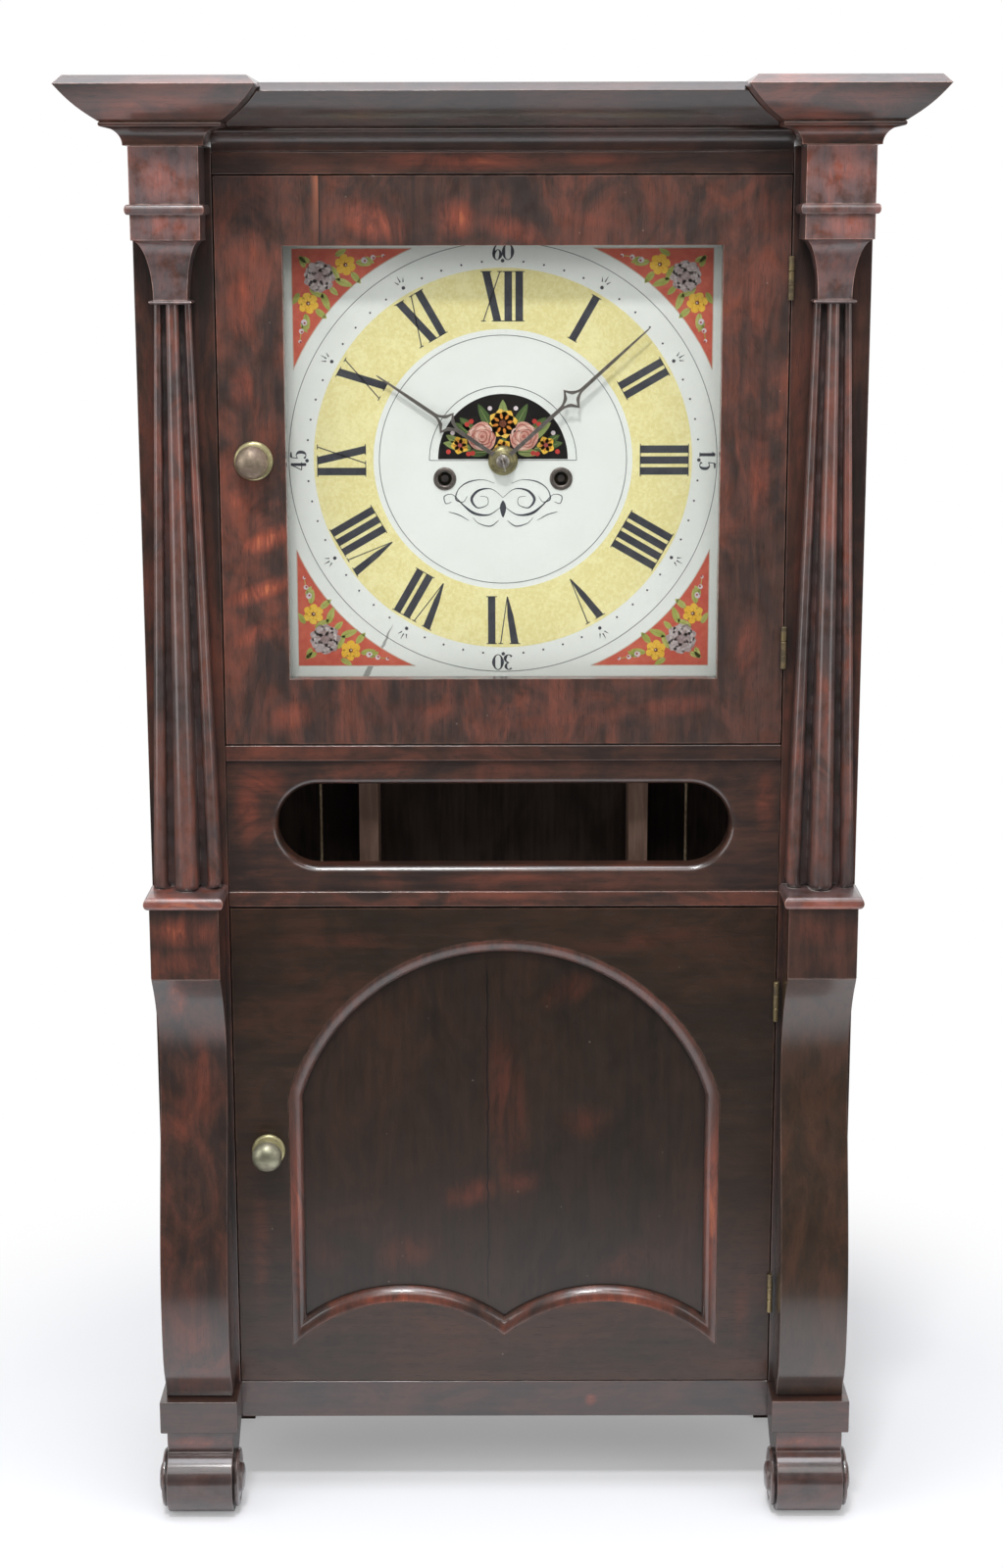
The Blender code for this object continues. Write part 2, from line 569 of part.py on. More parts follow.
def make_inner_boards():
    half = SIDE_INNER_X - GLUE_GAP
    height = (PLINTH_Z, CORNICE_CENTRE_Z - GLUE_GAP)
    add_object("backboard", box((-half, half), (BACKBOARD_Y, BACK_Y), height), "pine")
    y = (FRONT_BACK_Y + GLUE_GAP, BACKBOARD_Y - GLUE_GAP)
    bottom = add_object(
        "bottom_board", box((-half, half), y, (BOTTOM_BOARD_Z, FLOOR_BOARD_TOP_Z - GLUE_GAP)), "pine"
    )
    for side in (1, -1):
        join(bottom, rear_foot(side * (half - REAR_FOOT_WIDTH / 2)))
    top = add_object(
        "top_board", box((-half, half), y, (TOP_BOARD_Z, TOP_BOARD_Z + BOARD_THICKNESS - GLUE_GAP)), "pine"
    )
    slot_half = PULLEY_RADIUS + PULLEY_SLOT_GAP
    slot_x = both_sides(PULLEY_X - slot_half - PULLEY_SLOT_LEAD, PULLEY_X + slot_half)
    axle_half = PULLEY_AXLE_LENGTH / 2 + RUNNING_GAP
    for side, wide in zip((1, -1), slot_x):
        x = side * PULLEY_X
        slot_y = PULLEY_THICKNESS / 2 + PULLEY_SLOT_GAP
        slot = box(
            wide,
            (DRUM_Y - slot_y, DRUM_Y + slot_y),
            (TOP_BOARD_Z - OVERCUT, TOP_BOARD_Z + BOARD_THICKNESS + OVERCUT),
        )
        cut(top, slot)
        bore = rod((x, DRUM_Y, PULLEY_Z), "Y", -axle_half, axle_half, PIVOT_RADIUS + RUNNING_GAP)
        cut(top, bore)


def rear_foot(middle):
    """A plain block that tapers towards the floor, under the bottom board's back corner."""
    rings = []
    for z, taper in ((0, REAR_FOOT_TAPER), (BOTTOM_BOARD_Z + JOIN_OVERLAP, 0)):
        x = (middle - REAR_FOOT_WIDTH / 2 + taper, middle + REAR_FOOT_WIDTH / 2 - taper)
        y = (BACKBOARD_Y - REAR_FOOT_DEPTH + taper, BACKBOARD_Y - GLUE_GAP - taper)
        rings.append([(x[0], y[0], z), (x[1], y[0], z), (x[1], y[1], z), (x[0], y[1], z)])
    return loft(rings)


def make_partitions():
    x_high = PARTITION_INNER_X + PARTITION_THICKNESS
    y = (PARTITION_FRONT_Y, BACKBOARD_Y - GLUE_GAP)
    z = (FLOOR_BOARD_TOP_Z, TOP_BOARD_Z - GLUE_GAP)
    for name, x in zip(("right", "left"), both_sides(PARTITION_INNER_X, x_high)):
        add_object("partition_" + name, box(x, y, z), "pine")


def make_front_frame():
    """Stiles and rails. The right stile carries the case leaves of the four hinges."""
    y = (FRONT_Y, FRONT_BACK_Y)
    for name, x in zip(("right", "left"), both_sides(STILE_INNER_X, CASE_HALF_WIDTH)):
        stile = add_object("front_stile_" + name, box(x, y, (PLINTH_Z, CORNICE_Z - GLUE_GAP)), "mahogany")
        if name == "right":
            leaf_x = (STILE_INNER_X - HINGE_LEAF_PROUD, STILE_INNER_X + HINGE_LEAF_THICKNESS)
            for low in hinge_heights():
                add_hinge_leaf(stile, leaf_x, low, HINGE_END_KNUCKLES)
    half = STILE_INNER_X - GLUE_GAP
    top = (TOP_RAIL_Z, CORNICE_CENTRE_Z - GLUE_GAP)
    add_object("top_rail", box((-half, half), y, top), "mahogany")
    base = (PLINTH_Z - BASE_RAIL_DROP, SCROLL_Z)
    add_object("base_rail", box((-half, half), y, base), "mahogany")
    for name, low in (("lower", LOWER_RAIL_Z), ("upper", UPPER_RAIL_Z)):
        z = (low + GLUE_GAP, low + MIDDLE_RAIL_HEIGHT - GLUE_GAP)
        add_object(name + "_middle_rail", box((-half, half), y, z), "mahogany")


def stadium(half_width, half_height):
    """A long round-ended outline about the middle of the field, in X and Z."""
    middle = FIELD_Z + FIELD_HEIGHT / 2
    straight = half_width - half_height
    right = arc((straight, middle), half_height, -90, 90, 2 * ARC_STEPS)
    left = arc((-straight, middle), half_height, 90, 270, 2 * ARC_STEPS)
    return right + left


def make_field():
    """The fixed field between the doors, with the long opening and its splayed edge."""
    half = STILE_INNER_X - GLUE_GAP
    front = FRONT_Y + FIELD_SET_BACK
    z = (FIELD_Z, FIELD_Z + FIELD_HEIGHT)
    field = add_object("opening_panel", box((-half, half), (front, front + FIELD_THICKNESS), z), "mahogany")
    splay = SLOT_SPLAY / 2
    rings = []
    for depth, grow in (
        (-OVERCUT, splay + OVERCUT),
        (SLOT_SPLAY, -splay),
        (FIELD_THICKNESS + OVERCUT, -splay),
    ):
        outline = stadium(SLOT_WIDTH / 2 + grow, SLOT_HEIGHT / 2 + grow)
        rings.append([(x, front + depth, z) for x, z in outline])
    return cut(field, loft(rings))


# Cornice, capitals, columns and pilasters


def cornice_profile():
    """(reach, height) points from the foot of the cove to the top of the canted fillet."""
    cove = []
    for step in range(ARC_STEPS + 1):
        angle = math.pi / 2 * step / ARC_STEPS
        reach = CORNICE_COVE_REACH * (1 - math.cos(angle))
        cove.append((reach, CORNICE_COVE_HEIGHT * math.sin(angle)))
    bead_top = CORNICE_COVE_HEIGHT + CORNICE_BEAD_HEIGHT
    bead_middle = CORNICE_COVE_HEIGHT + CORNICE_BEAD_HEIGHT / 2
    bead = [
        (CORNICE_BEAD_REACH - CORNICE_BEAD_HEIGHT / 4, CORNICE_COVE_HEIGHT + CORNICE_BEAD_HEIGHT / 8),
        (CORNICE_BEAD_REACH, bead_middle),
        (CORNICE_BEAD_REACH - CORNICE_BEAD_HEIGHT / 4, bead_top - CORNICE_BEAD_HEIGHT / 8),
    ]
    fillet_low = CORNICE_HEIGHT - CORNICE_FILLET_HEIGHT
    rise = fillet_low - bead_top
    run = CORNICE_REACH - CORNICE_BEAD_REACH
    swell = []
    for step in range(ARC_STEPS + 1):
        share = step / ARC_STEPS
        bulge = CORNICE_SWELL * math.sin(math.pi * share)
        swell.append((CORNICE_BEAD_REACH + run * share + bulge, bead_top + rise * share - bulge))
    top = [(CORNICE_REACH - CORNICE_FILLET_CANT, CORNICE_HEIGHT)]
    return cove + bead + swell + top


def cornice_block_loft(grow):
    """The right-hand block as a stack of level rectangles; grow adds a gap all round."""
    rings = []
    for reach, height in cornice_profile():
        low_x = CORNICE_BLOCK_INNER_X - reach - grow
        high_x = CASE_HALF_WIDTH + reach + grow
        front = FRONT_Y - BLOCK_DEPTH - reach - grow
        z = CORNICE_Z + height
        rings.append([(low_x, front, z), (high_x, front, z), (high_x, BACK_Y, z), (low_x, BACK_Y, z)])
    return loft(rings)


def mirrored(bm):
    """Swap left and right."""
    bmesh.ops.scale(bm, vec=(-1, 1, 1), verts=bm.verts)
    bmesh.ops.reverse_faces(bm, faces=bm.faces)
    return bm


def make_cornice():
    inner = CORNICE_BLOCK_INNER_X
    behind_centre = FRONT_Y + CORNICE_CENTRE_THICKNESS + GLUE_GAP
    height = (CORNICE_Z - OVERCUT, CORNICE_Z + CORNICE_HEIGHT + OVERCUT)
    for name, turn in (("right", lambda bm: bm), ("left", mirrored)):
        block = add_object("cornice_block_" + name, turn(cornice_block_loft(0)), "mahogany")
        waste = box((inner - 2 * CORNICE_REACH, inner), (behind_centre, BACK_Y + OVERCUT), height)
        cut(block, turn(waste))
    back = FRONT_Y + CORNICE_CENTRE_THICKNESS
    points = [(FRONT_Y - reach, CORNICE_CENTRE_Z + z) for reach, z in cornice_profile()]
    points.append((back, CORNICE_CENTRE_Z + CORNICE_HEIGHT))
    points.append((back, CORNICE_CENTRE_Z))
    half = STILE_INNER_X - GLUE_GAP
    centre = add_object("cornice_centre", prism(points, "X", -half, half), "mahogany")
    for turn in (lambda bm: bm, mirrored):
        cut(centre, turn(cornice_block_loft(GLUE_GAP)))


def capital_rings(centre_x):
    """Necking bead, flaring cove, lower block, half-round ring and upper block."""
    neck = CAPITAL_NECK_WIDTH / 2
    full = CAPITAL_WIDTH / 2
    rings = []
    for share in (0, 0.25, 0.75, 1):
        bulge = NECK_BEAD_REACH * (1 - (2 * share - 1) ** 2 * 0.4)
        z = CAPITAL_Z + GLUE_GAP + (NECK_BEAD_HEIGHT - GLUE_GAP) * share
        rings.append(rectangle_ring(neck + bulge, CAPITAL_NECK_DEPTH + bulge, z, centre_x))
    for step in range(ARC_STEPS + 1):
        angle = math.pi / 2 * step / ARC_STEPS
        flare = 1 - math.cos(angle)
        z = CAPITAL_COVE_Z + CAPITAL_COVE_HEIGHT * math.sin(angle)
        width = neck + (full - neck) * flare
        depth = CAPITAL_NECK_DEPTH + (BLOCK_DEPTH - CAPITAL_NECK_DEPTH) * flare
        rings.append(rectangle_ring(width, depth, z, centre_x))
    rings.append(rectangle_ring(full, BLOCK_DEPTH, CAPITAL_RING_Z, centre_x))
    for step in range(ARC_STEPS + 1):
        angle = math.pi * step / ARC_STEPS
        bulge = CAPITAL_RING_REACH * (0.4 + 0.6 * math.sin(angle))
        z = CAPITAL_RING_Z + CAPITAL_RING_HEIGHT * (1 - math.cos(angle)) / 2
        rings.append(rectangle_ring(full + bulge, BLOCK_DEPTH + bulge, z, centre_x))
    rings.append(rectangle_ring(full, BLOCK_DEPTH, CAPITAL_UPPER_BLOCK_Z, centre_x))
    rings.append(rectangle_ring(full, BLOCK_DEPTH, CORNICE_Z - GLUE_GAP, centre_x))
    return rings


def make_capitals():
    for name, side in (("right", 1), ("left", -1)):
        add_object("capital_" + name, loft(capital_rings(side * COLUMN_X)), "mahogany")


def reeded_outline(width):
    """Three round reeds on a flat back: (sideways, forward) points for a column of this width."""
    radius = 0.1625 * width
    side = 0.5 * width - radius
    side_forward = 0.17 * width
    middle_forward = 0.36 * width
    groove = (0.45 * side, 0.13 * width)
    right_reed = arc((side, side_forward), radius, 0, 175, ARC_STEPS)
    middle_reed = arc((0, middle_forward), radius, -25, 205, 10)
    left_reed = arc((-side, side_forward), radius, 5, 180, ARC_STEPS)
    grooves = ([groove], [(-groove[0], groove[1])])
    foot = [(-0.5 * width, 0), (0.5 * width, 0)]
    return right_reed + grooves[0] + middle_reed + grooves[1] + left_reed + foot


def make_columns():
    for name, side in (("right", 1), ("left", -1)):
        rings = []
        low = COLUMN_Z + GLUE_GAP
        for z, width in ((low, COLUMN_FOOT_WIDTH), (CAPITAL_Z, COLUMN_TOP_WIDTH)):
            outline = reeded_outline(width)
            back = FRONT_Y - GLUE_GAP
            rings.append([(side * COLUMN_X + across, back - forward, z) for across, forward in outline])
        add_object("column_" + name, loft(rings), "mahogany", smooth=True)


def base_ring(centre_x):
    """The half-round ring on top of the pilaster block."""
    rings = []
    for step in range(ARC_STEPS + 1):
        angle = math.pi * step / ARC_STEPS
        pull = BASE_RING_HEIGHT / 2 * (1 - math.sin(angle)) * 0.8
        z = BASE_RING_Z + BASE_RING_HEIGHT * (1 - math.cos(angle)) / 2
        rings.append(rectangle_ring(BASE_RING_WIDTH / 2 - pull, BASE_RING_DEPTH - pull, z, centre_x))
    return loft(rings)


def plinth(centre_x):
    x = (centre_x - PLINTH_WIDTH / 2, centre_x + PLINTH_WIDTH / 2)
    y = (FRONT_Y - GLUE_GAP - BLOCK_DEPTH, FRONT_Y - GLUE_GAP)
    return box(x, y, (PLINTH_Z + GLUE_GAP, SCROLL_Z))


def scroll_outline():
    """(Y, Z) outline: flat block, hollow waist, full belly and a foot that draws in."""
    back = FRONT_Y - GLUE_GAP
    waist_z = SCROLL_BLOCK_Z - SCROLL_WAIST_DROP
    belly_z = SCROLL_Z + SCROLL_BELLY_HEIGHT
    low = SCROLL_Z - JOIN_OVERLAP
    top = BASE_RING_Z + JOIN_OVERLAP
    knots = [
        (SCROLL_TOP_DEPTH, SCROLL_BLOCK_Z, *SCROLL_BLOCK_PULL),
        (SCROLL_WAIST_DEPTH, waist_z, 0.0, SCROLL_WAIST_PULL),
        (SCROLL_BELLY_DEPTH, belly_z, 0.0, SCROLL_BELLY_PULL),
        (SCROLL_TOE_DEPTH, low, *SCROLL_TOE_PULL),
    ]
    points = [(back, top), (back - SCROLL_TOP_DEPTH, top)]
    for first, second in zip(knots, knots[1:]):
        start = Vector((first[0], first[1], 0))
        end = Vector((second[0], second[1], 0))
        leave = start + Vector((-first[2], -first[3], 0))
        arrive = end + Vector((-second[2] if second[2] < 0 else 0, second[3], 0))
        curve = interpolate_bezier(start, leave, arrive, end, 2 * ARC_STEPS + 1)
        points += [(back - point.x, point.y) for point in curve[:-1]]
    points.append((back - SCROLL_TOE_DEPTH, low))
    points.append((back, low))
    return points


def make_pilasters():
    """Each pilaster is one glued-up piece: plinth, scroll, flat block and half-round ring."""
    for name, side in (("right", 1), ("left", -1)):
        middle = side * COLUMN_X
        low = middle - BLOCK_WIDTH / 2
        bm = prism(scroll_outline(), "X", low, low + BLOCK_WIDTH)
        pilaster = add_object("scroll_pilaster_" + name, bm, "mahogany", smooth=True)
        join(pilaster, base_ring(middle))
        join(pilaster, plinth(middle))


def foot_outline():
    """(Y, Z) outline of a roll with a neck that runs back under the case."""
    centre_y = FRONT_Y - FOOT_ROLL_REACH
    centre = (centre_y, FOOT_ROLL_RADIUS)
    top = FOOT_HEIGHT - GLUE_GAP
    roll = arc(centre, FOOT_ROLL_RADIUS, 110, 270, 2 * ARC_STEPS)
    roll += arc(centre, FOOT_ROLL_RADIUS, 270, 360, ARC_STEPS)[1:]
    tail_y = FRONT_Y + FOOT_TAIL_DEPTH
    neck_front = roll[0][0] - FOOT_NECK_LEAN
    instep = [(centre_y + FOOT_ROLL_RADIUS + FOOT_INSTEP, FOOT_ROLL_RADIUS + FOOT_INSTEP)]
    return roll + instep + [(tail_y, FOOT_TAIL_HEIGHT), (tail_y, top), (neck_front, top)]


def make_feet():
    """Front scroll feet with stepped discs on both ends."""
    disc = FOOT_ROLL_WIDTH / 2 + FOOT_DISC_THICKNESS
    button = disc + FOOT_BUTTON_THICKNESS
    edge = FOOT_DISC_THICKNESS * 0.3
    half_profile = [
        (FOOT_BUTTON_RADIUS - edge, button),
        (FOOT_BUTTON_RADIUS, button - edge),
        (FOOT_BUTTON_RADIUS, disc),
        (FOOT_DISC_RADIUS - edge, disc),
        (FOOT_DISC_RADIUS, disc - edge),
    ]
    profile = [(0, -button)] + [(r, -x) for r, x in half_profile] + half_profile[::-1] + [(0, button)]
    for name, side in (("right", 1), ("left", -1)):
        middle = side * COLUMN_X
        low = middle - FOOT_ROLL_WIDTH / 2
        bm = prism(foot_outline(), "X", low, low + FOOT_ROLL_WIDTH)
        foot = add_object("front_foot_" + name, bm, "mahogany", smooth=True)
        join(foot, lathe(profile, (middle, FRONT_Y - FOOT_ROLL_REACH, FOOT_ROLL_RADIUS), "X", TURNED_STEPS))


# Doors


def hinge_heights():
    """The foot of each hinge: the upper door's two, then the lower door's two."""
    heights = []
    for low, high, inset in (
        (UPPER_DOOR_Z, UPPER_DOOR_TOP_Z, HINGE_INSET_UPPER),
        (LOWER_DOOR_Z, LOWER_DOOR_TOP_Z, HINGE_INSET_LOWER),
    ):
        heights.append(high - inset - HINGE_LENGTH / 2)
        heights.append(low + inset - HINGE_LENGTH / 2)
    return heights


def add_hinge_leaf(board, x, low_z, knuckles):
    """Join a leaf let into a board's edge, and its knuckles, given as shares of the hinge's length."""
    join(board, box(x, (FRONT_Y, FRONT_Y + HINGE_LEAF_DEPTH), (low_z, low_z + HINGE_LENGTH)))
    for low, high in knuckles:
        start = low_z + HINGE_LENGTH * low + RUNNING_GAP / 2
        end = low_z + HINGE_LENGTH * high - RUNNING_GAP / 2
        join(board, rod((HINGE_AXIS_X, HINGE_AXIS_Y, 0), "Z", start, end, HINGE_BARREL_RADIUS))
        join(board, box(x, (HINGE_AXIS_Y, FRONT_Y + JOIN_OVERLAP), (start, end)))


def door_board(name, z, heights, knob_z):
    """A door's board, with its hinge leaves and spindle hole, origin on the hinge line."""
    bm = box((-DOOR_HALF_WIDTH, DOOR_HALF_WIDTH), (FRONT_Y, FRONT_BACK_Y), z)
    door = add_object(name, bm, "mahogany", (HINGE_AXIS_X, HINGE_AXIS_Y, z[0]))
    leaf_x = (DOOR_HALF_WIDTH - HINGE_LEAF_THICKNESS, DOOR_HALF_WIDTH + HINGE_LEAF_PROUD)
    for low in heights:
        add_hinge_leaf(door, leaf_x, low, HINGE_MIDDLE_KNUCKLE)
    hole = rod(
        (KNOB_X, FRONT_Y, knob_z), "Y", -OVERCUT, FRONT_THICKNESS + OVERCUT, SPINDLE_RADIUS + RUNNING_GAP
    )
    return cut(door, hole)


def make_upper_door():
    z = (UPPER_DOOR_Z, UPPER_DOOR_TOP_Z)
    door = door_board("upper_door_frame", z, hinge_heights()[:2], UPPER_KNOB_Z)
    half = DOOR_HALF_WIDTH - UPPER_STILE_WIDTH
    low = UPPER_DOOR_Z + UPPER_RAIL_WIDTH
    high = UPPER_DOOR_TOP_Z - UPPER_RAIL_WIDTH
    cut(door, box((-half, half), (FRONT_Y - OVERCUT, FRONT_BACK_Y + OVERCUT), (low, high)))
    lap = GLASS_LAP
    rebate_y = FRONT_BACK_Y - GLASS_REBATE_DEPTH
    rebate = box(
        (-half - lap, half + lap), (rebate_y, FRONT_BACK_Y + 2 * OVERCUT), (low - lap, high + lap)
    )
    cut(door, rebate)
    lap = GLASS_LAP - GLUE_GAP
    pane_y = rebate_y + GLUE_GAP
    pane = box((-half - lap, half + lap), (pane_y, pane_y + GLASS_THICKNESS), (low - lap, high + lap))
    add_object("upper_door_glass", pane, "glass", (HINGE_AXIS_X, HINGE_AXIS_Y, low))


def arched_outline(inset):
    """The lower door's opening in X and Z: arch, upright sides and two scallops, drawn in by the inset."""
    half = ARCH_HALF_WIDTH - inset
    arch_radius = ARCH_RADIUS - inset
    arch_z = LOWER_DOOR_TOP_Z - ARCH_TOP_MARGIN - ARCH_RADIUS
    scallop_radius = SCALLOP_RADIUS + inset
    spring = math.degrees(math.acos(half / arch_radius))
    corner = math.degrees(math.acos((half - SCALLOP_CENTRE_X) / scallop_radius))
    cusp = math.degrees(math.acos(-SCALLOP_CENTRE_X / scallop_radius))
    arch = arc((0, arch_z), arch_radius, spring, 180 - spring, ARCH_STEPS)
    right = arc((SCALLOP_CENTRE_X, SCALLOP_CENTRE_Z), scallop_radius, cusp, corner, SCALLOP_STEPS)
    left = [(-x, z) for x, z in reversed(right)]
    return arch + left + right[1:]


def make_lower_door():
    z = (LOWER_DOOR_Z, LOWER_DOOR_TOP_Z)
    door = door_board("lower_door_frame", z, hinge_heights()[2:], LOWER_KNOB_Z)
    cut(door, prism(arched_outline(0), "Y", FRONT_Y - OVERCUT, FRONT_BACK_Y + OVERCUT))
    outline = arched_outline(0)
    lap = PANEL_LAP
    half = ARCH_HALF_WIDTH + lap
    low = min(point[1] for point in outline) - lap
    high = max(point[1] for point in outline) + lap
    panel_y = FRONT_Y + PANEL_RECESS
    cut(door, box((-half, half), (panel_y, FRONT_BACK_Y + 2 * OVERCUT), (low, high)))
    gap = GLUE_GAP
    board_y = (panel_y + gap, panel_y + PANEL_THICKNESS)
    panel = box((-half + gap, half - gap), board_y, (low + gap, high - gap))
    add_object("lower_door_panel", panel, "mahogany", (HINGE_AXIS_X, HINGE_AXIS_Y, low))
    rings = []
    depth = PANEL_RECESS
    for step in range(MOULDING_STEPS + 1):
        angle = math.pi / 2 * step / MOULDING_STEPS
        inset = gap + (MOULDING_WIDTH - gap) * math.sin(angle)
        y = FRONT_Y + depth * (1 - math.cos(angle))
        rings.append([(x, y, z) for x, z in arched_outline(inset)])
    rings.append([(x, FRONT_Y + depth, z) for x, z in arched_outline(gap)])
    bm = loft(rings, closed=True)
    add_object("lower_door_moulding", bm, "mahogany", (HINGE_AXIS_X, HINGE_AXIS_Y, low), smooth=True)


def make_knob(name, z, ring_radius, dome_radius):
    """A turned knob; its spindle runs through the door to a latch that hangs clear at rest."""
    base = GLUE_GAP
    ring = base + KNOB_RING_THICKNESS
    profile = [(0, -KNOB_REACH)]
    for step in range(1, ARC_STEPS):
        angle = math.pi / 2 * step / (ARC_STEPS - 1)
        sink = KNOB_DOME_DEPTH * (1 - math.cos(angle))
        profile.append((dome_radius * math.sin(angle), sink - KNOB_REACH))
    back = FRONT_THICKNESS + GLUE_GAP
    end = back + LATCH_THICKNESS
    profile += [
        (dome_radius - KNOB_RING_EDGE, -KNOB_DOME_BACK),
        (KNOB_NECK_RADIUS, KNOB_UNDERCUT - KNOB_DOME_BACK),
        (KNOB_NECK_RADIUS, -ring - KNOB_RING_CANT),
        (ring_radius - 2 * KNOB_RING_EDGE, -ring),
        (ring_radius, KNOB_RING_EDGE - ring),
        (ring_radius, -base),
        (SPINDLE_RADIUS, -base),
        (SPINDLE_RADIUS, end),
        (0, end),
    ]
    centre = (KNOB_X, FRONT_Y, z)
    knob = add_object(name, lathe(profile, centre, "Y", TURNED_STEPS), "brass", centre, smooth=True)
    half = LATCH_WIDTH / 2
    latch_y = (FRONT_Y + back, FRONT_Y + end)
    latch = box((KNOB_X - half, KNOB_X + half), latch_y, (z - LATCH_LENGTH, z + half))
    return join(knob, latch)


# Dial and hands


def make_dial():
    z = (DIAL_Z - DIAL_HALF_SIZE, DIAL_Z + DIAL_HALF_SIZE)
    board = box((-DIAL_HALF_SIZE, DIAL_HALF_SIZE), (DIAL_Y, DIAL_BACK_Y), z)
    dial = add_object("dial_board", board, "dial_paint")
    through = (-OVERCUT, DIAL_THICKNESS + OVERCUT)
    cut(dial, rod((0, DIAL_Y, DIAL_Z), "Y", *through, DIAL_CENTRE_HOLE_RADIUS, TURNED_STEPS))
    seat = GROMMET_RADIUS - GROMMET_RIM
    for name, side in (("strike", 1), ("time", -1)):
        centre = (side * WINDING_X, DIAL_Y, WINDING_Z)
        cut(dial, rod(centre, "Y", *through, seat, TURNED_STEPS))
        rings = []
        for radius, y in (
            (WINDING_HOLE_RADIUS, -GROMMET_RIM),
            (GROMMET_RADIUS - GROMMET_EDGE, -GROMMET_RIM),
            (GROMMET_RADIUS, -GLUE_GAP),
            (seat - GLUE_GAP, -GLUE_GAP),
            (seat - GLUE_GAP, DIAL_THICKNESS),
            (WINDING_HOLE_RADIUS, DIAL_THICKNESS),
        ):
            last = 360 - 360 / TURNED_STEPS
            circle = arc((centre[0], centre[2]), radius, 0, last, TURNED_STEPS - 1)
            rings.append([(x, DIAL_Y + y, z) for x, z in circle])
        add_object("winding_grommet_" + name, loft(rings, closed=True), "brass", smooth=True)


def hand_outline(length, lozenge_at):
    """A slim pointed blade with a concave-sided lozenge, along +Z from the hub."""
    side = [(HAND_WIDTH / 2, HUB_RADIUS * 0.8)]
    start = lozenge_at - LOZENGE_HALF_LENGTH
    side.append((HAND_WIDTH / 2, start))
    side += lozenge_side(HAND_WIDTH / 2, LOZENGE_HALF_WIDTH, start, LOZENGE_HALF_LENGTH)
    side.append((HAND_WIDTH / 2, lozenge_at + LOZENGE_HALF_LENGTH))
    side.append((HAND_TIP_WIDTH / 2, length))
    return side + [(-x, z) for x, z in reversed(side)]


def lozenge_side(narrow, wide, start, half_length):
    """The hollow sides that run out to the lozenge's point and back."""
    shares = (0.45, 0.8, 1.0, 1.2, 1.55)
    points = []
    for share in shares:
        near = 1 - abs(1 - share)
        points.append((narrow + (wide - narrow) * near ** 2, start + half_length * share))
    return points


def turned(bm, angle, centre):
    """Turn a bmesh clockwise, as seen from the front, about a point on the dial's axis."""
    matrix = Matrix.Rotation(angle, 3, "Y")
    bmesh.ops.rotate(bm, cent=centre, matrix=matrix, verts=bm.verts)
    return bm


def shifted(bm, z):
    bmesh.ops.translate(bm, vec=(0, 0, z), verts=bm.verts)
    return bm


def make_hand(name, length, lozenge_at, angle, y, bore, collet):
    """A hand with an open lozenge on a round hub; the collet, where it has one, stands in front."""
    centre = (0, y, DIAL_Z)
    blade = shifted(prism(hand_outline(length, lozenge_at), "Y", y, y + HAND_THICKNESS), DIAL_Z)
    hand = add_object(name, turned(blade, angle, centre), "steel", centre)
    front = -collet
    hub = rod(centre, "Y", front, HAND_THICKNESS, HUB_RADIUS, TURNED_STEPS)
    join(hand, hub)
    window = [
        (0, lozenge_at - LOZENGE_WINDOW_HALF_LENGTH),
        (LOZENGE_WINDOW_HALF_WIDTH, lozenge_at),
        (0, lozenge_at + LOZENGE_WINDOW_HALF_LENGTH),
        (-LOZENGE_WINDOW_HALF_WIDTH, lozenge_at),
    ]
    opening = prism(window, "Y", y - OVERCUT, y + HAND_THICKNESS + OVERCUT)
    cut(hand, turned(shifted(opening, DIAL_Z), angle, centre))
    cut(hand, rod(centre, "Y", front - OVERCUT, HAND_THICKNESS + OVERCUT, bore))
    return hand


def make_hands():
    make_hand(
        "hour_hand", HOUR_HAND_LENGTH, HOUR_LOZENGE_AT, HOUR_ANGLE, HOUR_HAND_Y,
        HOUR_PIPE_RADIUS + GLUE_GAP, 0,
    )
    make_hand(
        "minute_hand", MINUTE_HAND_LENGTH, MINUTE_LOZENGE_AT, MINUTE_ANGLE, MINUTE_HAND_Y,
        CENTRE_ARBOR_RADIUS + GLUE_GAP, COLLET_HEIGHT,
    )


# Movement


def gear_outline(teeth, module, centre, phase=0.0, root_share=0.5, tip_share=0.2):
    """Tapered teeth on a wheel, with a tooth centred on the phase angle from +X."""
    pitch = math.tau / teeth
    tip = module * teeth / 2 + 0.85 * module
    root = module * teeth / 2 - 1.15 * module
    points = []
    for tooth in range(teeth):
        middle = phase + tooth * pitch
        for radius, share in (
            (root, -root_share / 2), (tip, -tip_share / 2), (tip, tip_share / 2), (root, root_share / 2)
        ):
            angle = middle + share * pitch
            points.append((centre[0] + radius * math.cos(angle), centre[1] + radius * math.sin(angle)))
    return points


def mesh_phases(first, second, first_teeth, second_teeth):
    """Phases that put a tooth of the first wheel in a gap of the second, on the line of centres."""
    line = math.atan2(second[1] - first[1], second[0] - first[0])
    return line, line + math.pi + math.pi / second_teeth


def time_train_phases():
    wheel = (-WINDING_X, WINDING_Z)
    pinion = (0, DIAL_Z)
    return mesh_phases(wheel, pinion, GREAT_WHEEL_TEETH, CENTRE_PINION_LEAVES)


def plate_pivots():
    """(x, z, radius) of every arbor that runs in the plates."""
    return [
        (-WINDING_X, WINDING_Z, DRUM_ARBOR_RADIUS),
        (WINDING_X, WINDING_Z, DRUM_ARBOR_RADIUS),
        (0, DIAL_Z, CENTRE_ARBOR_RADIUS),
        (0, ESCAPE_Z, PIVOT_RADIUS),
        (0, VERGE_Z, PIVOT_RADIUS),
        (HAMMER_X, HAMMER_Z, PIVOT_RADIUS),
    ]


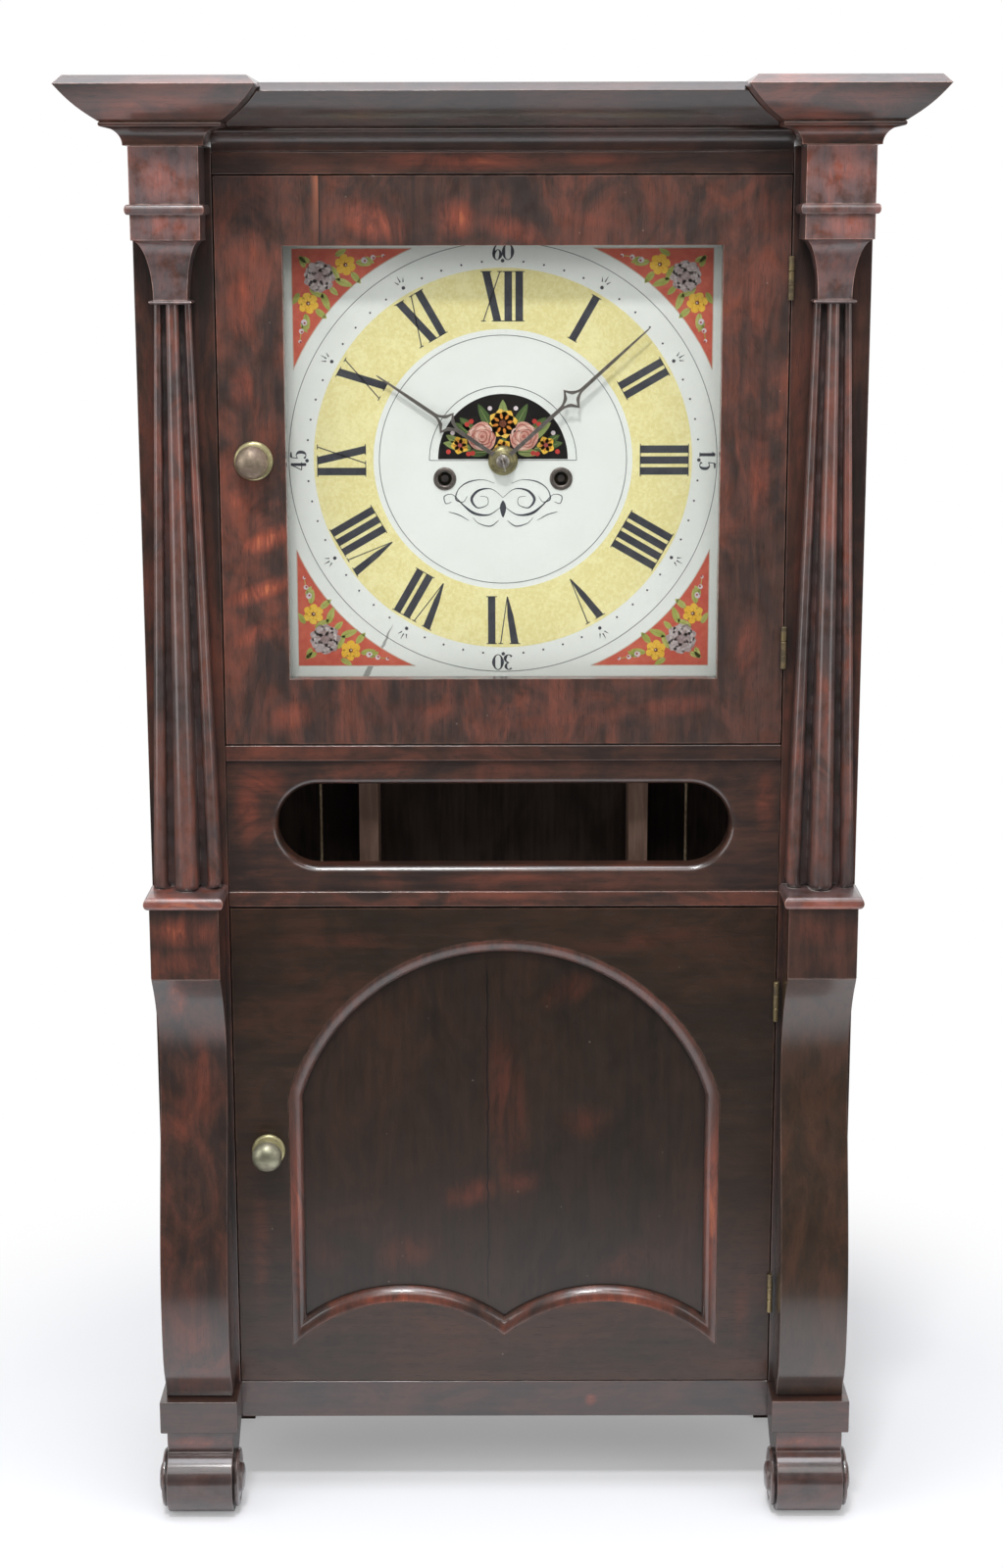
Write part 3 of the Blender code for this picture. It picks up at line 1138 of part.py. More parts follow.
def make_plates():
    """Brass plates. The front one carries the minute wheel's stud, the back one pillars and cock."""
    z = (PLATE_LOW_Z, PLATE_TOP_Z)
    front_y = (FRONT_PLATE_Y, FRONT_PLATE_Y + PLATE_THICKNESS)
    back_y = (BACK_PLATE_Y, BACK_PLATE_Y + PLATE_THICKNESS)
    half = PLATE_HALF_WIDTH
    front = add_object("movement_front_plate", box((-half, half), front_y, z), "brass")
    wide = BACK_PLATE_HALF_WIDTH
    back = add_object("movement_back_plate", box((-wide, wide), back_y, z), "brass")
    for x, height, radius in plate_pivots():
        for plate, y in ((front, front_y), (back, back_y)):
            bore = rod((x, 0, height), "Y", y[0] - OVERCUT, y[1] + OVERCUT, radius + RUNNING_GAP)
            cut(plate, bore)
    x, height = MINUTE_WHEEL_PLACE
    stud = rod((x, 0, height), "Y", HOUR_WHEEL_Y, FRONT_PLATE_Y + OVERCUT / 2, PIVOT_RADIUS)
    join(front, stud)
    for side in (1, -1):
        for level in (z[0] + PILLAR_INSET, z[1] - PILLAR_INSET):
            centre = (side * (half - PILLAR_INSET), 0, level)
            pillar = rod(centre, "Y", front_y[1] + GLUE_GAP, BACK_PLATE_Y + OVERCUT / 2, PILLAR_RADIUS)
            join(back, pillar)
    foot_y = back_y[1] - OVERCUT / 2
    cock_z = (COCK_TOP_Z - COCK_HEIGHT, COCK_TOP_Z)
    for x in both_sides(COCK_SLOT / 2, COCK_WIDTH / 2):
        join(back, box(x, (foot_y, PENDULUM_Y + SPRING_WIDTH), cock_z))
    inset = JOIN_OVERLAP
    bridge_z = (cock_z[0] + inset, cock_z[1] - inset)
    bridge_x = COCK_WIDTH / 2 - inset
    join(back, box((-bridge_x, bridge_x), (foot_y, PENDULUM_Y - SPRING_WIDTH), bridge_z))


def make_drum(name, side):
    """Cord drum on its winding arbor, with flanges and a ratchet wheel on the front end."""
    centre = (side * WINDING_X, DRUM_Y, WINDING_Z)
    half = DRUM_LENGTH / 2
    flange = half + DRUM_FLANGE_THICKNESS
    front = DIAL_Y + ARBOR_BEHIND_DIAL - DRUM_Y
    back = BACK_PLATE_Y + PLATE_THICKNESS - DRUM_Y
    profile = [
        (0, front),
        (DRUM_ARBOR_RADIUS, front),
        (DRUM_ARBOR_RADIUS, -flange),
        (DRUM_FLANGE_RADIUS, -flange),
        (DRUM_FLANGE_RADIUS, -half),
        (DRUM_RADIUS, -half),
        (DRUM_RADIUS, half),
        (DRUM_FLANGE_RADIUS, half),
        (DRUM_FLANGE_RADIUS, flange),
        (DRUM_ARBOR_RADIUS, flange),
        (DRUM_ARBOR_RADIUS, back),
        (0, back),
    ]
    drum = add_object(name, lathe(profile, centre, "Y", TURNED_STEPS), "brass", centre, smooth=True)
    teeth = []
    for tooth in range(RATCHET_TEETH):
        angle = math.tau * tooth / RATCHET_TEETH
        for radius, turn in ((RATCHET_RADIUS, 0.0), (RATCHET_RADIUS * 0.88, 0.12)):
            bearing = angle + math.tau / RATCHET_TEETH * turn
            teeth.append((centre[0] + radius * math.cos(bearing), centre[2] + radius * math.sin(bearing)))
    face = DRUM_Y - flange
    join(drum, prism(teeth, "Y", face - RATCHET_THICKNESS, face + RATCHET_SINK))


def make_great_wheel():
    centre = (-WINDING_X, GREAT_WHEEL_Y, WINDING_Z)
    phase, _ = time_train_phases()
    outline = gear_outline(GREAT_WHEEL_TEETH, TRAIN_MODULE, (centre[0], centre[2]), phase)
    low = GREAT_WHEEL_Y
    disc = prism(outline, "Y", low, low + GREAT_WHEEL_THICKNESS)
    wheel = add_object("time_great_wheel", disc, "brass", centre)
    bore = rod(centre, "Y", -OVERCUT, GREAT_WHEEL_THICKNESS + OVERCUT, DRUM_ARBOR_RADIUS + RUNNING_GAP)
    cut(wheel, bore)
    middle = (centre[0], centre[2])
    rim = TRAIN_MODULE * GREAT_WHEEL_TEETH / 2 - GREAT_WHEEL_RIM
    for angle in (45, 135, 225, 315):
        near = arc(middle, GREAT_WHEEL_HUB_RADIUS, angle - 22, angle + 22, 2)
        far = arc(middle, rim, angle + 38, angle - 38, ARC_STEPS)
        cut(wheel, prism(near + far, "Y", low - OVERCUT, low + GREAT_WHEEL_THICKNESS + OVERCUT))


def make_centre_arbor():
    """The arbor that carries the minute hand, with the centre pinion and the cannon pinion."""
    centre = (0, MINUTE_HAND_Y, DIAL_Z)
    front = -COLLET_HEIGHT - ARBOR_TIP
    back = BACK_PLATE_Y + PLATE_THICKNESS - MINUTE_HAND_Y
    arbor = rod(centre, "Y", front, back, CENTRE_ARBOR_RADIUS)
    arbor = add_object("centre_arbor", arbor, "steel", centre)
    _, phase = time_train_phases()
    leaves = gear_outline(CENTRE_PINION_LEAVES, TRAIN_MODULE, (0, DIAL_Z), phase, 0.42, 0.2)
    low = GREAT_WHEEL_Y - PINION_OVERHANG
    high = GREAT_WHEEL_Y + GREAT_WHEEL_THICKNESS + PINION_OVERHANG
    join(arbor, prism(leaves, "Y", low, high))
    phase, _ = mesh_phases((0, DIAL_Z), MINUTE_WHEEL_PLACE, CANNON_TEETH, MINUTE_WHEEL_TEETH)
    cannon = gear_outline(CANNON_TEETH, CANNON_MODULE, (0, DIAL_Z), phase, 0.45, 0.2)
    join(arbor, prism(cannon, "Y", CANNON_Y, CANNON_Y + MOTION_WHEEL_THICKNESS))


def make_motion_work():
    """Minute wheel with its pinion on a stud, and the hour wheel on the pipe that carries the hour hand."""
    x, z = MINUTE_WHEEL_PLACE
    middle = (0, DIAL_Z)
    _, phase = mesh_phases(middle, (x, z), CANNON_TEETH, MINUTE_WHEEL_TEETH)
    outline = gear_outline(MINUTE_WHEEL_TEETH, CANNON_MODULE, (x, z), phase)
    origin = (x, CANNON_Y, z)
    wheel = prism(outline, "Y", CANNON_Y, CANNON_Y + MOTION_WHEEL_THICKNESS)
    wheel = add_object("minute_wheel", wheel, "brass", origin)
    phase, hour_phase = mesh_phases((x, z), middle, MINUTE_PINION_TEETH, HOUR_WHEEL_TEETH)
    pinion = gear_outline(MINUTE_PINION_TEETH, HOUR_MODULE, (x, z), phase, 0.42, 0.2)
    join(wheel, prism(pinion, "Y", HOUR_WHEEL_Y, CANNON_Y + MOTION_WHEEL_THICKNESS / 2))
    low = HOUR_WHEEL_Y - CANNON_Y - OVERCUT
    bore = rod(origin, "Y", low, MOTION_WHEEL_THICKNESS + OVERCUT, PIVOT_RADIUS + RUNNING_GAP)
    cut(wheel, bore)
    outline = gear_outline(HOUR_WHEEL_TEETH, HOUR_MODULE, middle, hour_phase)
    origin = (0, HOUR_WHEEL_Y, DIAL_Z)
    hour = prism(outline, "Y", HOUR_WHEEL_Y, HOUR_WHEEL_Y + MOTION_WHEEL_THICKNESS)
    hour = add_object("hour_wheel", hour, "brass", origin)
    pipe_front = HOUR_HAND_Y - HOUR_WHEEL_Y - HOUR_PIPE_PROUD
    join(hour, rod(origin, "Y", pipe_front, MOTION_WHEEL_THICKNESS / 2, HOUR_PIPE_RADIUS))
    reach = MOTION_WHEEL_THICKNESS + OVERCUT
    cut(hour, rod(origin, "Y", pipe_front - OVERCUT, reach, CENTRE_ARBOR_RADIUS + RUNNING_GAP))


def make_escape_wheel():
    centre = (0, ESCAPE_Y, ESCAPE_Z)
    root = ESCAPE_RADIUS * 0.86
    points = []
    for tooth in range(ESCAPE_TEETH):
        for radius, turn in ((ESCAPE_RADIUS, 0.0), (root, 0.22), (root, 0.7)):
            bearing = math.tau / ESCAPE_TEETH * (tooth + turn)
            points.append((radius * math.cos(bearing), ESCAPE_Z + radius * math.sin(bearing)))
    disc = prism(points, "Y", ESCAPE_Y, ESCAPE_Y + ESCAPE_THICKNESS)
    wheel = add_object("escape_wheel", disc, "brass", centre)
    low = FRONT_PLATE_Y - ESCAPE_Y
    high = BACK_PLATE_Y + PLATE_THICKNESS - ESCAPE_Y
    join(wheel, rod(centre, "Y", low, high, PIVOT_RADIUS))


def anchor_outline():
    """(X, Z) outline of the anchor: two pallets hang from a body round the verge's axis."""
    inner = PALLET_SPAN - PALLET_THICKNESS
    right = [
        (PALLET_SPAN, VERGE_Z - PALLET_DROP),
        (PALLET_SPAN - ANCHOR_TAPER, VERGE_Z),
        (ANCHOR_RISE, VERGE_Z + ANCHOR_RISE),
    ]
    right_inside = [
        (inner - ANCHOR_TAPER, VERGE_Z - ANCHOR_RISE),
        (inner, VERGE_Z - PALLET_DROP),
    ]
    left = [(-x, z) for x, z in reversed(right)]
    left_inside = [(-x, z) for x, z in reversed(right_inside)]
    crown = [(0, VERGE_Z - ANCHOR_RISE - ANCHOR_TAPER)]
    return right + left + left_inside + crown + right_inside


def make_verge():
    """Anchor, arbor and crutch; the fork at the crutch's foot stands either side of the pendulum rod."""
    centre = (0, PENDULUM_Y, VERGE_Z)
    crutch_y = (PENDULUM_Y - SPRING_WIDTH, PENDULUM_Y - SPRING_WIDTH + CRUTCH_THICKNESS)
    arbor = rod(centre, "Y", FRONT_PLATE_Y - PENDULUM_Y, crutch_y[1] - PENDULUM_Y, PIVOT_RADIUS)
    verge = add_object("verge", arbor, "steel", centre)
    join(verge, prism(anchor_outline(), "Y", ESCAPE_Y, ESCAPE_Y + ESCAPE_THICKNESS))
    low = VERGE_Z - CRUTCH_LENGTH
    join(verge, box((-CRUTCH_WIDTH / 2, CRUTCH_WIDTH / 2), crutch_y, (low, VERGE_Z)))
    gap = PENDULUM_ROD_RADIUS + RUNNING_GAP
    reach = gap + FORK_TINE
    inset = FORK_INSET
    bar_y = (crutch_y[0] + inset, crutch_y[1] - inset)
    join(verge, box((-reach, reach), bar_y, (low, low + FORK_SIZE)))
    for x in both_sides(gap, reach):
        tine_y = (crutch_y[0] + 2 * inset, PENDULUM_Y + SPRING_WIDTH / 2)
        join(verge, box(x, tine_y, (low + inset, low + FORK_SIZE - inset)))


def make_pendulum():
    """Rod on a suspension spring between the cock's cheeks, with a lens bob and a rating nut."""
    origin = (0, PENDULUM_Y, VERGE_Z)
    centre = (0, PENDULUM_Y, VERGE_Z)
    low = -(PENDULUM_LENGTH + BOB_RADIUS + 2 * RATING_NUT_HEIGHT)
    bar = rod(centre, "Z", low, JOIN_OVERLAP - SPRING_LENGTH, PENDULUM_ROD_RADIUS)
    pendulum = add_object("pendulum_rod", bar, "steel", origin)
    cap_z = COCK_TOP_Z + CAP_RADIUS + GLUE_GAP
    spring_x = (-SPRING_THICKNESS / 2, SPRING_THICKNESS / 2)
    spring_y = (PENDULUM_Y - SPRING_WIDTH / 2, PENDULUM_Y + SPRING_WIDTH / 2)
    join(pendulum, box(spring_x, spring_y, (VERGE_Z - SPRING_LENGTH, cap_z)))
    join(pendulum, rod((0, PENDULUM_Y, cap_z), "X", -CAP_LENGTH / 2, CAP_LENGTH / 2, CAP_RADIUS))
    profile = [(0, -BOB_THICKNESS / 2)]
    for step in range(1, ARC_STEPS):
        angle = math.pi * step / ARC_STEPS
        profile.append((BOB_RADIUS * math.sin(angle) ** 0.8, -BOB_THICKNESS / 2 * math.cos(angle)))
    profile.append((0, BOB_THICKNESS / 2))
    bob = lathe(profile, (0, PENDULUM_Y, BOB_Z), "Y", ROUND_STEPS)
    bob = add_object("pendulum_bob", bob, "brass", origin, smooth=True)
    bore = PENDULUM_ROD_RADIUS + GLUE_GAP
    cut(bob, rod((0, PENDULUM_Y, BOB_Z), "Z", -BOB_RADIUS - OVERCUT, BOB_RADIUS + OVERCUT, bore))
    nut_top = BOB_Z - BOB_RADIUS - GLUE_GAP
    nut = rod((0, PENDULUM_Y, nut_top), "Z", -RATING_NUT_HEIGHT, 0, RATING_NUT_RADIUS)
    join(pendulum, nut)


def make_strike():
    """Bell on a post from the backboard, and the hammer on its arbor behind the plates."""
    post_end = BACKBOARD_Y - GLUE_GAP - BELL_MOUTH_Y
    inner = BELL_RADIUS - BELL_WALL
    profile = []
    for step in range(ARC_STEPS + 1):
        angle = math.pi / 2 * step / ARC_STEPS
        profile.append((inner * math.cos(angle), (BELL_DEPTH - BELL_WALL) * math.sin(angle)))
    inside = profile[::-1]
    outside = [(BELL_RADIUS, 0)]
    for step in range(1, ARC_STEPS):
        angle = math.pi / 2 * step / ARC_STEPS
        outside.append((BELL_RADIUS * math.cos(angle), BELL_DEPTH * math.sin(angle)))
    outside += [(BELL_POST_RADIUS, BELL_DEPTH), (BELL_POST_RADIUS, post_end), (0, post_end)]
    bell = lathe(inside + outside, (BELL_X, BELL_MOUTH_Y, BELL_Z), "Y", TURNED_STEPS)
    add_object("bell", bell, "bronze", smooth=True)

    centre = (HAMMER_X, HAMMER_Y, HAMMER_Z)
    half_depth = HAMMER_ARM_DEPTH / 2
    tail = half_depth + JOIN_OVERLAP
    arbor = rod(centre, "Y", FRONT_PLATE_Y - HAMMER_Y, tail, PIVOT_RADIUS)
    hammer = add_object("strike_hammer", arbor, "steel", centre)
    half = HAMMER_ARM_WIDTH / 2
    arm_y = (HAMMER_Y - half_depth, HAMMER_Y + half_depth)
    join(hammer, box((HAMMER_X - half, HAMMER_X + half), arm_y, (HAMMER_Z - half, BELL_Z + JOIN_OVERLAP)))
    head_x = BELL_X + BELL_RADIUS + HAMMER_TO_BELL
    head = rod((head_x, HAMMER_Y, BELL_Z), "X", 0, HAMMER_HEAD_LENGTH, HAMMER_HEAD_RADIUS)
    join(hammer, head)


# Weights, pulleys and cords


def make_weight(name, side):
    x = side * FALL_X
    origin = (x, DRUM_Y, WEIGHT_Z)
    profile = [
        (0, 0),
        (WEIGHT_RADIUS - WEIGHT_EDGE, 0),
        (WEIGHT_RADIUS, WEIGHT_EDGE),
        (WEIGHT_RADIUS, WEIGHT_LENGTH - WEIGHT_EDGE),
        (WEIGHT_RADIUS - WEIGHT_EDGE, WEIGHT_LENGTH),
        (0, WEIGHT_LENGTH),
    ]
    weight = add_object(name, lathe(profile, origin, "Z"), "iron", origin, smooth=True)
    shank = rod((x, DRUM_Y, WEIGHT_TOP_Z), "Z", -OVERCUT, WEIGHT_HOOK_HEIGHT, WEIGHT_HOOK_RADIUS)
    join(weight, shank)


def make_pulley(name, side):
    centre = (side * PULLEY_X, DRUM_Y, PULLEY_Z)
    half = PULLEY_THICKNESS / 2
    groove = CORD_RADIUS + GLUE_GAP
    axle = PULLEY_AXLE_LENGTH / 2
    profile = [
        (0, -axle), (PIVOT_RADIUS, -axle), (PIVOT_RADIUS, -half), (PULLEY_RADIUS, -half),
        (PULLEY_GROOVE_RADIUS, -groove), (PULLEY_GROOVE_RADIUS, groove), (PULLEY_RADIUS, half),
        (PIVOT_RADIUS, half), (PIVOT_RADIUS, axle), (0, axle),
    ]
    add_object(name, lathe(profile, centre, "Y", TURNED_STEPS), "brass", centre, smooth=True)


def make_cord(name, run, origin):
    """A cord as a round tube along its points."""
    curve = bpy.data.curves.new(name, "CURVE")
    curve.dimensions = "3D"
    curve.bevel_depth = CORD_RADIUS
    curve.bevel_resolution = 2
    curve.use_fill_caps = True
    spline = curve.splines.new("POLY")
    spline.points.add(len(run) - 1)
    for point, place in zip(spline.points, run):
        point.co = (*(Vector(place) - Vector(origin)), 1.0)
    curve.materials.append(make_material("cord"))
    item = bpy.data.objects.new(name, curve)
    item.location = origin
    bpy.context.scene.collection.objects.link(item)


def lead_points(side):
    """The cord's way over its pulley and down to the drum's inner side, in the drum's plane."""
    pulley = Vector((PULLEY_X, PULLEY_Z))
    drum = Vector((WINDING_X, WINDING_Z))
    away = pulley - drum
    bearing = math.atan2(away.y, away.x)
    lean = math.asin((PULLEY_TRACK_RADIUS - DRUM_TRACK_RADIUS) / away.length)
    inner = bearing + math.pi / 2 + lean
    wrap = arc(pulley, PULLEY_TRACK_RADIUS, 0, math.degrees(inner), 14)
    end = drum + Vector((math.cos(inner), math.sin(inner))) * DRUM_TRACK_RADIUS
    points = wrap + [(end.x, end.y)]
    return [(side * x, DRUM_Y, z) for x, z in points]


def make_cords():
    for name, side in (("time", -1), ("strike", 1)):
        top = (side * FALL_X, DRUM_Y, PULLEY_Z - GLUE_GAP)
        bottom = (side * FALL_X, DRUM_Y, HOOK_TOP_Z + GLUE_GAP)
        make_cord("cord_fall_" + name, [top, bottom], (side * FALL_X, DRUM_Y, PULLEY_Z))
        make_cord("cord_lead_" + name, lead_points(side), (0, 0, 0))


def make_clock():
    make_sides()
    make_inner_boards()
    make_partitions()
    make_front_frame()
    make_field()
    make_cornice()
    make_capitals()
    make_columns()
    make_pilasters()
    make_feet()
    make_upper_door()
    make_lower_door()
    make_knob("upper_door_knob", UPPER_KNOB_Z, UPPER_KNOB_RING_RADIUS, UPPER_KNOB_DOME_RADIUS)
    make_knob("lower_door_knob", LOWER_KNOB_Z, LOWER_KNOB_RING_RADIUS, LOWER_KNOB_DOME_RADIUS)
    make_dial()
    make_hands()
    make_plates()
    make_drum("time_drum", -1)
    make_drum("strike_drum", 1)
    make_great_wheel()
    make_centre_arbor()
    make_motion_work()
    make_escape_wheel()
    make_verge()
    make_pendulum()
    make_strike()
    make_weight("weight_time", -1)
    make_weight("weight_strike", 1)
    make_pulley("pulley_time", -1)
    make_pulley("pulley_strike", 1)
    make_cords()


clear_scene()
make_clock()
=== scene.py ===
"""Dressed model of a weight-driven shelf clock.

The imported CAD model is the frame. The visible case parts are rebuilt with finer profiles, the dial is painted,
and every surface gets a procedural material. Shapes are in mm in the frame's axes, and the front faces -Y. The
camera and the lamps are in metres.
"""

import functools
import math

import bmesh
import bpy
from mathutils import Matrix, Vector
from mathutils.geometry import interpolate_bezier


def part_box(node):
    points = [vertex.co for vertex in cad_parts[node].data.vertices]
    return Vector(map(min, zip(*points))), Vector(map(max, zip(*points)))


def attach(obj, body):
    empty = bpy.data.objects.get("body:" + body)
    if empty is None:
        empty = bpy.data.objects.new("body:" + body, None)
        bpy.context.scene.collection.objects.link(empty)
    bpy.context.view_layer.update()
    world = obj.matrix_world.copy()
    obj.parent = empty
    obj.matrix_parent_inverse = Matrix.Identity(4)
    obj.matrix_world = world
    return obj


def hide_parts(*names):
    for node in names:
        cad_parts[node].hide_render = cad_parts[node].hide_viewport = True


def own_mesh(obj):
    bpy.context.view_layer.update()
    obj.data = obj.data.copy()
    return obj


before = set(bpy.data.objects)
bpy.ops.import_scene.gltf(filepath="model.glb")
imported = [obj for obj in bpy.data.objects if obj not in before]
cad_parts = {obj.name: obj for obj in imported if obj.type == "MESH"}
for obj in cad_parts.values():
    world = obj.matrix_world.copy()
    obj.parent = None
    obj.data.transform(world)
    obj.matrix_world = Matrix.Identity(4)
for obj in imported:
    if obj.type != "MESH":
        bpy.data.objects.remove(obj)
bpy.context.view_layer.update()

MM = 0.001
GAP = 0.3
SIDES = (("right", 1), ("left", -1))

# Case, as in the CAD model
CASE_HALF_WIDTH = 249.5
FRONT_Y = -45.75
FRONT_BACK_Y = -27.75
BACK_Y = 119.25
COLUMN_X = 223.0
STILE_INNER_X = 195.5
DOOR_HALF_WIDTH = 194.5
BLOCK_DEPTH = 35.0
BLOCK_HALF_WIDTH = 24.25
PLINTH_Z = 66.0
SCROLL_Z = 91.0
SCROLL_BLOCK_Z = 412.0
BASE_RING_Z = 462.7
COLUMN_Z = 471.5
CAPITAL_Z = 877.0
CAPITAL_COVE_Z = 880.0
CAPITAL_RING_Z = 936.0
CAPITAL_UPPER_BLOCK_Z = 942.6
CORNICE_Z = 980.6
CORNICE_CENTRE_Z = 977.6
LOWER_RAIL_Z = 454.4
MIDDLE_RAIL_HEIGHT = 11.6
FIELD_Z = 466.0
FIELD_TOP_Z = 560.4
UPPER_DOOR_Z = 573.0
UPPER_DOOR_TOP_Z = 961.6
LOWER_DOOR_Z = 92.0
LOWER_DOOR_TOP_Z = 453.4
TOP_RAIL_Z = 962.6
HINGE_X = 195.0
HINGE_Y = -48.05
HINGE_LENGTH = 29.5
KNOB_X = -171.0
UPPER_KNOB_Z = 771.0
LOWER_KNOB_Z = 272.0
DIAL_Y = -15.75
DIAL_Z = 768.5
DRUM_Y = 39.95
FALL_X = 135.0
WEIGHT_Z = 90.3
PULLEY_Z = 971.6
WINDING_X = 40.6
WINDING_Z = 755.7
CORD_RADIUS = 1.1


# Node building


class Field:
    """A node's output, with plain arithmetic."""

    def __init__(self, tree, socket):
        self.tree = tree
        self.socket = socket

    def __add__(self, other):
        return self.tree.math("ADD", self, other)

    def __sub__(self, other):
        return self.tree.math("SUBTRACT", self, other)

    def __rsub__(self, other):
        return self.tree.math("SUBTRACT", other, self)

    def __mul__(self, other):
        return self.tree.math("MULTIPLY", self, other)

    def __truediv__(self, other):
        return self.tree.math("DIVIDE", self, other)

    def __abs__(self):
        return self.tree.math("ABSOLUTE", self)

    def most(self, other):
        return self.tree.math("MAXIMUM", self, other)

    def beside(self, output):
        """Another output of the same node."""
        return Field(self.tree, self.socket.node.outputs[output])


class Tree:
    """Short calls that build the nodes of a material or of the world."""

    def __init__(self, owner):
        owner.use_nodes = True
        self.nodes = owner.node_tree.nodes
        self.links = owner.node_tree.links

    def put(self, socket, value):
        """Link a socket to a field, or give it a number, a vector or a colour."""
        if isinstance(value, Field):
            self.links.new(value.socket, socket)
        elif isinstance(value, tuple) and socket.type == "RGBA":
            socket.default_value = (*value, 1.0)
        else:
            socket.default_value = value

    def add(self, kind, inputs=None, output=0, **settings):
        """An output of a new node with these inputs, by name or number, and these settings."""
        node = self.nodes.new(kind)
        for key, value in settings.items():
            setattr(node, key, value)
        for key, value in (inputs or {}).items():
            self.put(node.inputs[key], value)
        return Field(self, node.outputs[output])

    def math(self, operation, first, second=0.0):
        return self.add("ShaderNodeMath", {0: first, 1: second}, operation=operation)

    def vector(self, operation, first, second=(0, 0, 0)):
        output = "Value" if operation in ("LENGTH", "DOT_PRODUCT") else "Vector"
        return self.add("ShaderNodeVectorMath", {0: first, 1: second}, output, operation=operation)

    def axis(self, name, place=None):
        return self.add("ShaderNodeSeparateXYZ", {0: place or self.place}, name)

    def ramp(self, value, low, high, smooth=True, ends=(0.0, 1.0)):
        """The first end at low and the second at high, which may be below low."""
        if low > high:
            low, high, ends = high, low, ends[::-1]
        inputs = {"Value": value, "From Min": low, "From Max": high, "To Min": ends[0], "To Max": ends[1]}
        return self.add("ShaderNodeMapRange", inputs, interpolation_type="SMOOTHSTEP" if smooth else "LINEAR")

    def mix(self, factor, first, second, blend="MIX"):
        inputs = {0: factor, 6: first, 7: second}
        return self.add("ShaderNodeMix", inputs, 2, data_type="RGBA", blend_type=blend, clamp_factor=True)


class Shade(Tree):
    """One material. Its distances are in mm, apart from what is read off an axis."""

    def __init__(self, name):
        self.material = bpy.data.materials.new(name)
        super().__init__(self.material)
        self.shader = self.nodes["Principled BSDF"]
        self.place = self.add("ShaderNodeTexCoord", output="Object")

    def set(self, **values):
        """Inputs of the shader, with an underscore for each space in their names."""
        for name, value in values.items():
            self.put(self.shader.inputs[name.replace("_", " ")], value)

    def noise(self, scale, detail=4.0, roughness=0.55, distortion=0.0, seed=0.0, stretch=(1, 1, 1)):
        """Noise per metre: stretch makes it longer along an axis where it is below one."""
        place = self.vector("MULTIPLY", self.place, stretch)
        place = self.vector("ADD", place, (seed * 1.7, seed * 0.9, seed * 2.3))
        inputs = {"Vector": place, "Scale": scale, "Detail": detail, "Roughness": roughness, "Distortion": distortion}
        return self.add("ShaderNodeTexNoise", inputs)

    def spot(self, x, z, half_x, half_z, lean=0.0):
        """A soft-edged oval seen from the front: 1 in its middle, 0 outside."""
        moved = self.vector("SUBTRACT", self.place, (x * MM, 0.0, z * MM))
        turn = {"Vector": moved, "Angle": math.radians(lean)}
        turned_place = self.add("ShaderNodeVectorRotate", turn, rotation_type="Y_AXIS")
        scaled = self.vector("MULTIPLY", turned_place, (1 / (half_x * MM), 0.0, 1 / (half_z * MM)))
        return self.ramp(self.vector("LENGTH", scaled), 1.30, 0.10)

    def arris(self, radius):
        """How far the surface turns within the radius: 0 on a flat face, near 1 on a sharp corner."""
        rounded = self.add("ShaderNodeBevel", {"Radius": radius * MM}, samples=6)
        normal = self.add("ShaderNodeNewGeometry", output="Normal")
        return self.ramp(self.vector("DOT_PRODUCT", rounded, normal), 0.995, 0.86, smooth=False)

    def shelter(self, distance):
        """1 in a corner or groove, 0 in the open."""
        openness = self.add("ShaderNodeAmbientOcclusion", {"Distance": distance * MM}, "AO", samples=6)
        return self.ramp(openness, 0.85, 0.35)

    def bump(self, *layers):
        """Chained bumps: (height field, distance, strength)."""
        inputs = {}
        for height, distance, strength in layers:
            inputs.update({"Strength": strength, "Distance": distance * MM, "Height": height})
            inputs["Normal"] = self.add("ShaderNodeBump", inputs)
        self.set(Normal=inputs["Normal"])


# Camera and light

ROOM_LIGHT = 0.42
MIRRORED_ROOM = 0.04
CAMERA_PLACE = (-0.0014, -1.836, 0.931)
CAMERA_TILT = 12.2
CAMERA_ROLL = -0.10
FOCAL_PIXELS = 2652
PHOTO_HEIGHT = 1600
PALE = (0.93, 0.94, 0.97)


def make_camera():
    """The camera stands in front of the clock's upper half and looks down a little, as in the photograph."""
    data = bpy.data.cameras.new("camera")
    data.sensor_fit = "VERTICAL"
    data.sensor_height = 36.0
    data.lens = data.sensor_height * FOCAL_PIXELS / PHOTO_HEIGHT
    data.clip_end = 50.0
    camera = bpy.data.objects.new("camera", data)
    bpy.context.scene.collection.objects.link(camera)
    down = Matrix.Rotation(math.radians(90 - CAMERA_TILT), 4, "X")
    roll = Matrix.Rotation(math.radians(CAMERA_ROLL), 4, "Z")
    camera.matrix_world = Matrix.Translation(CAMERA_PLACE) @ down @ roll
    bpy.context.scene.camera = camera


def make_lamp(name, place, target, size, power, colour=(1, 1, 1)):
    data = bpy.data.lights.new(name, "AREA")
    data.shape = "RECTANGLE"
    data.size, data.size_y = size
    data.energy = power
    data.color = colour
    lamp = bpy.data.objects.new(name, data)
    bpy.context.scene.collection.objects.link(lamp)
    lamp.location = place
    lamp.rotation_euler = (Vector(target) - Vector(place)).to_track_quat("-Z", "Y").to_euler()


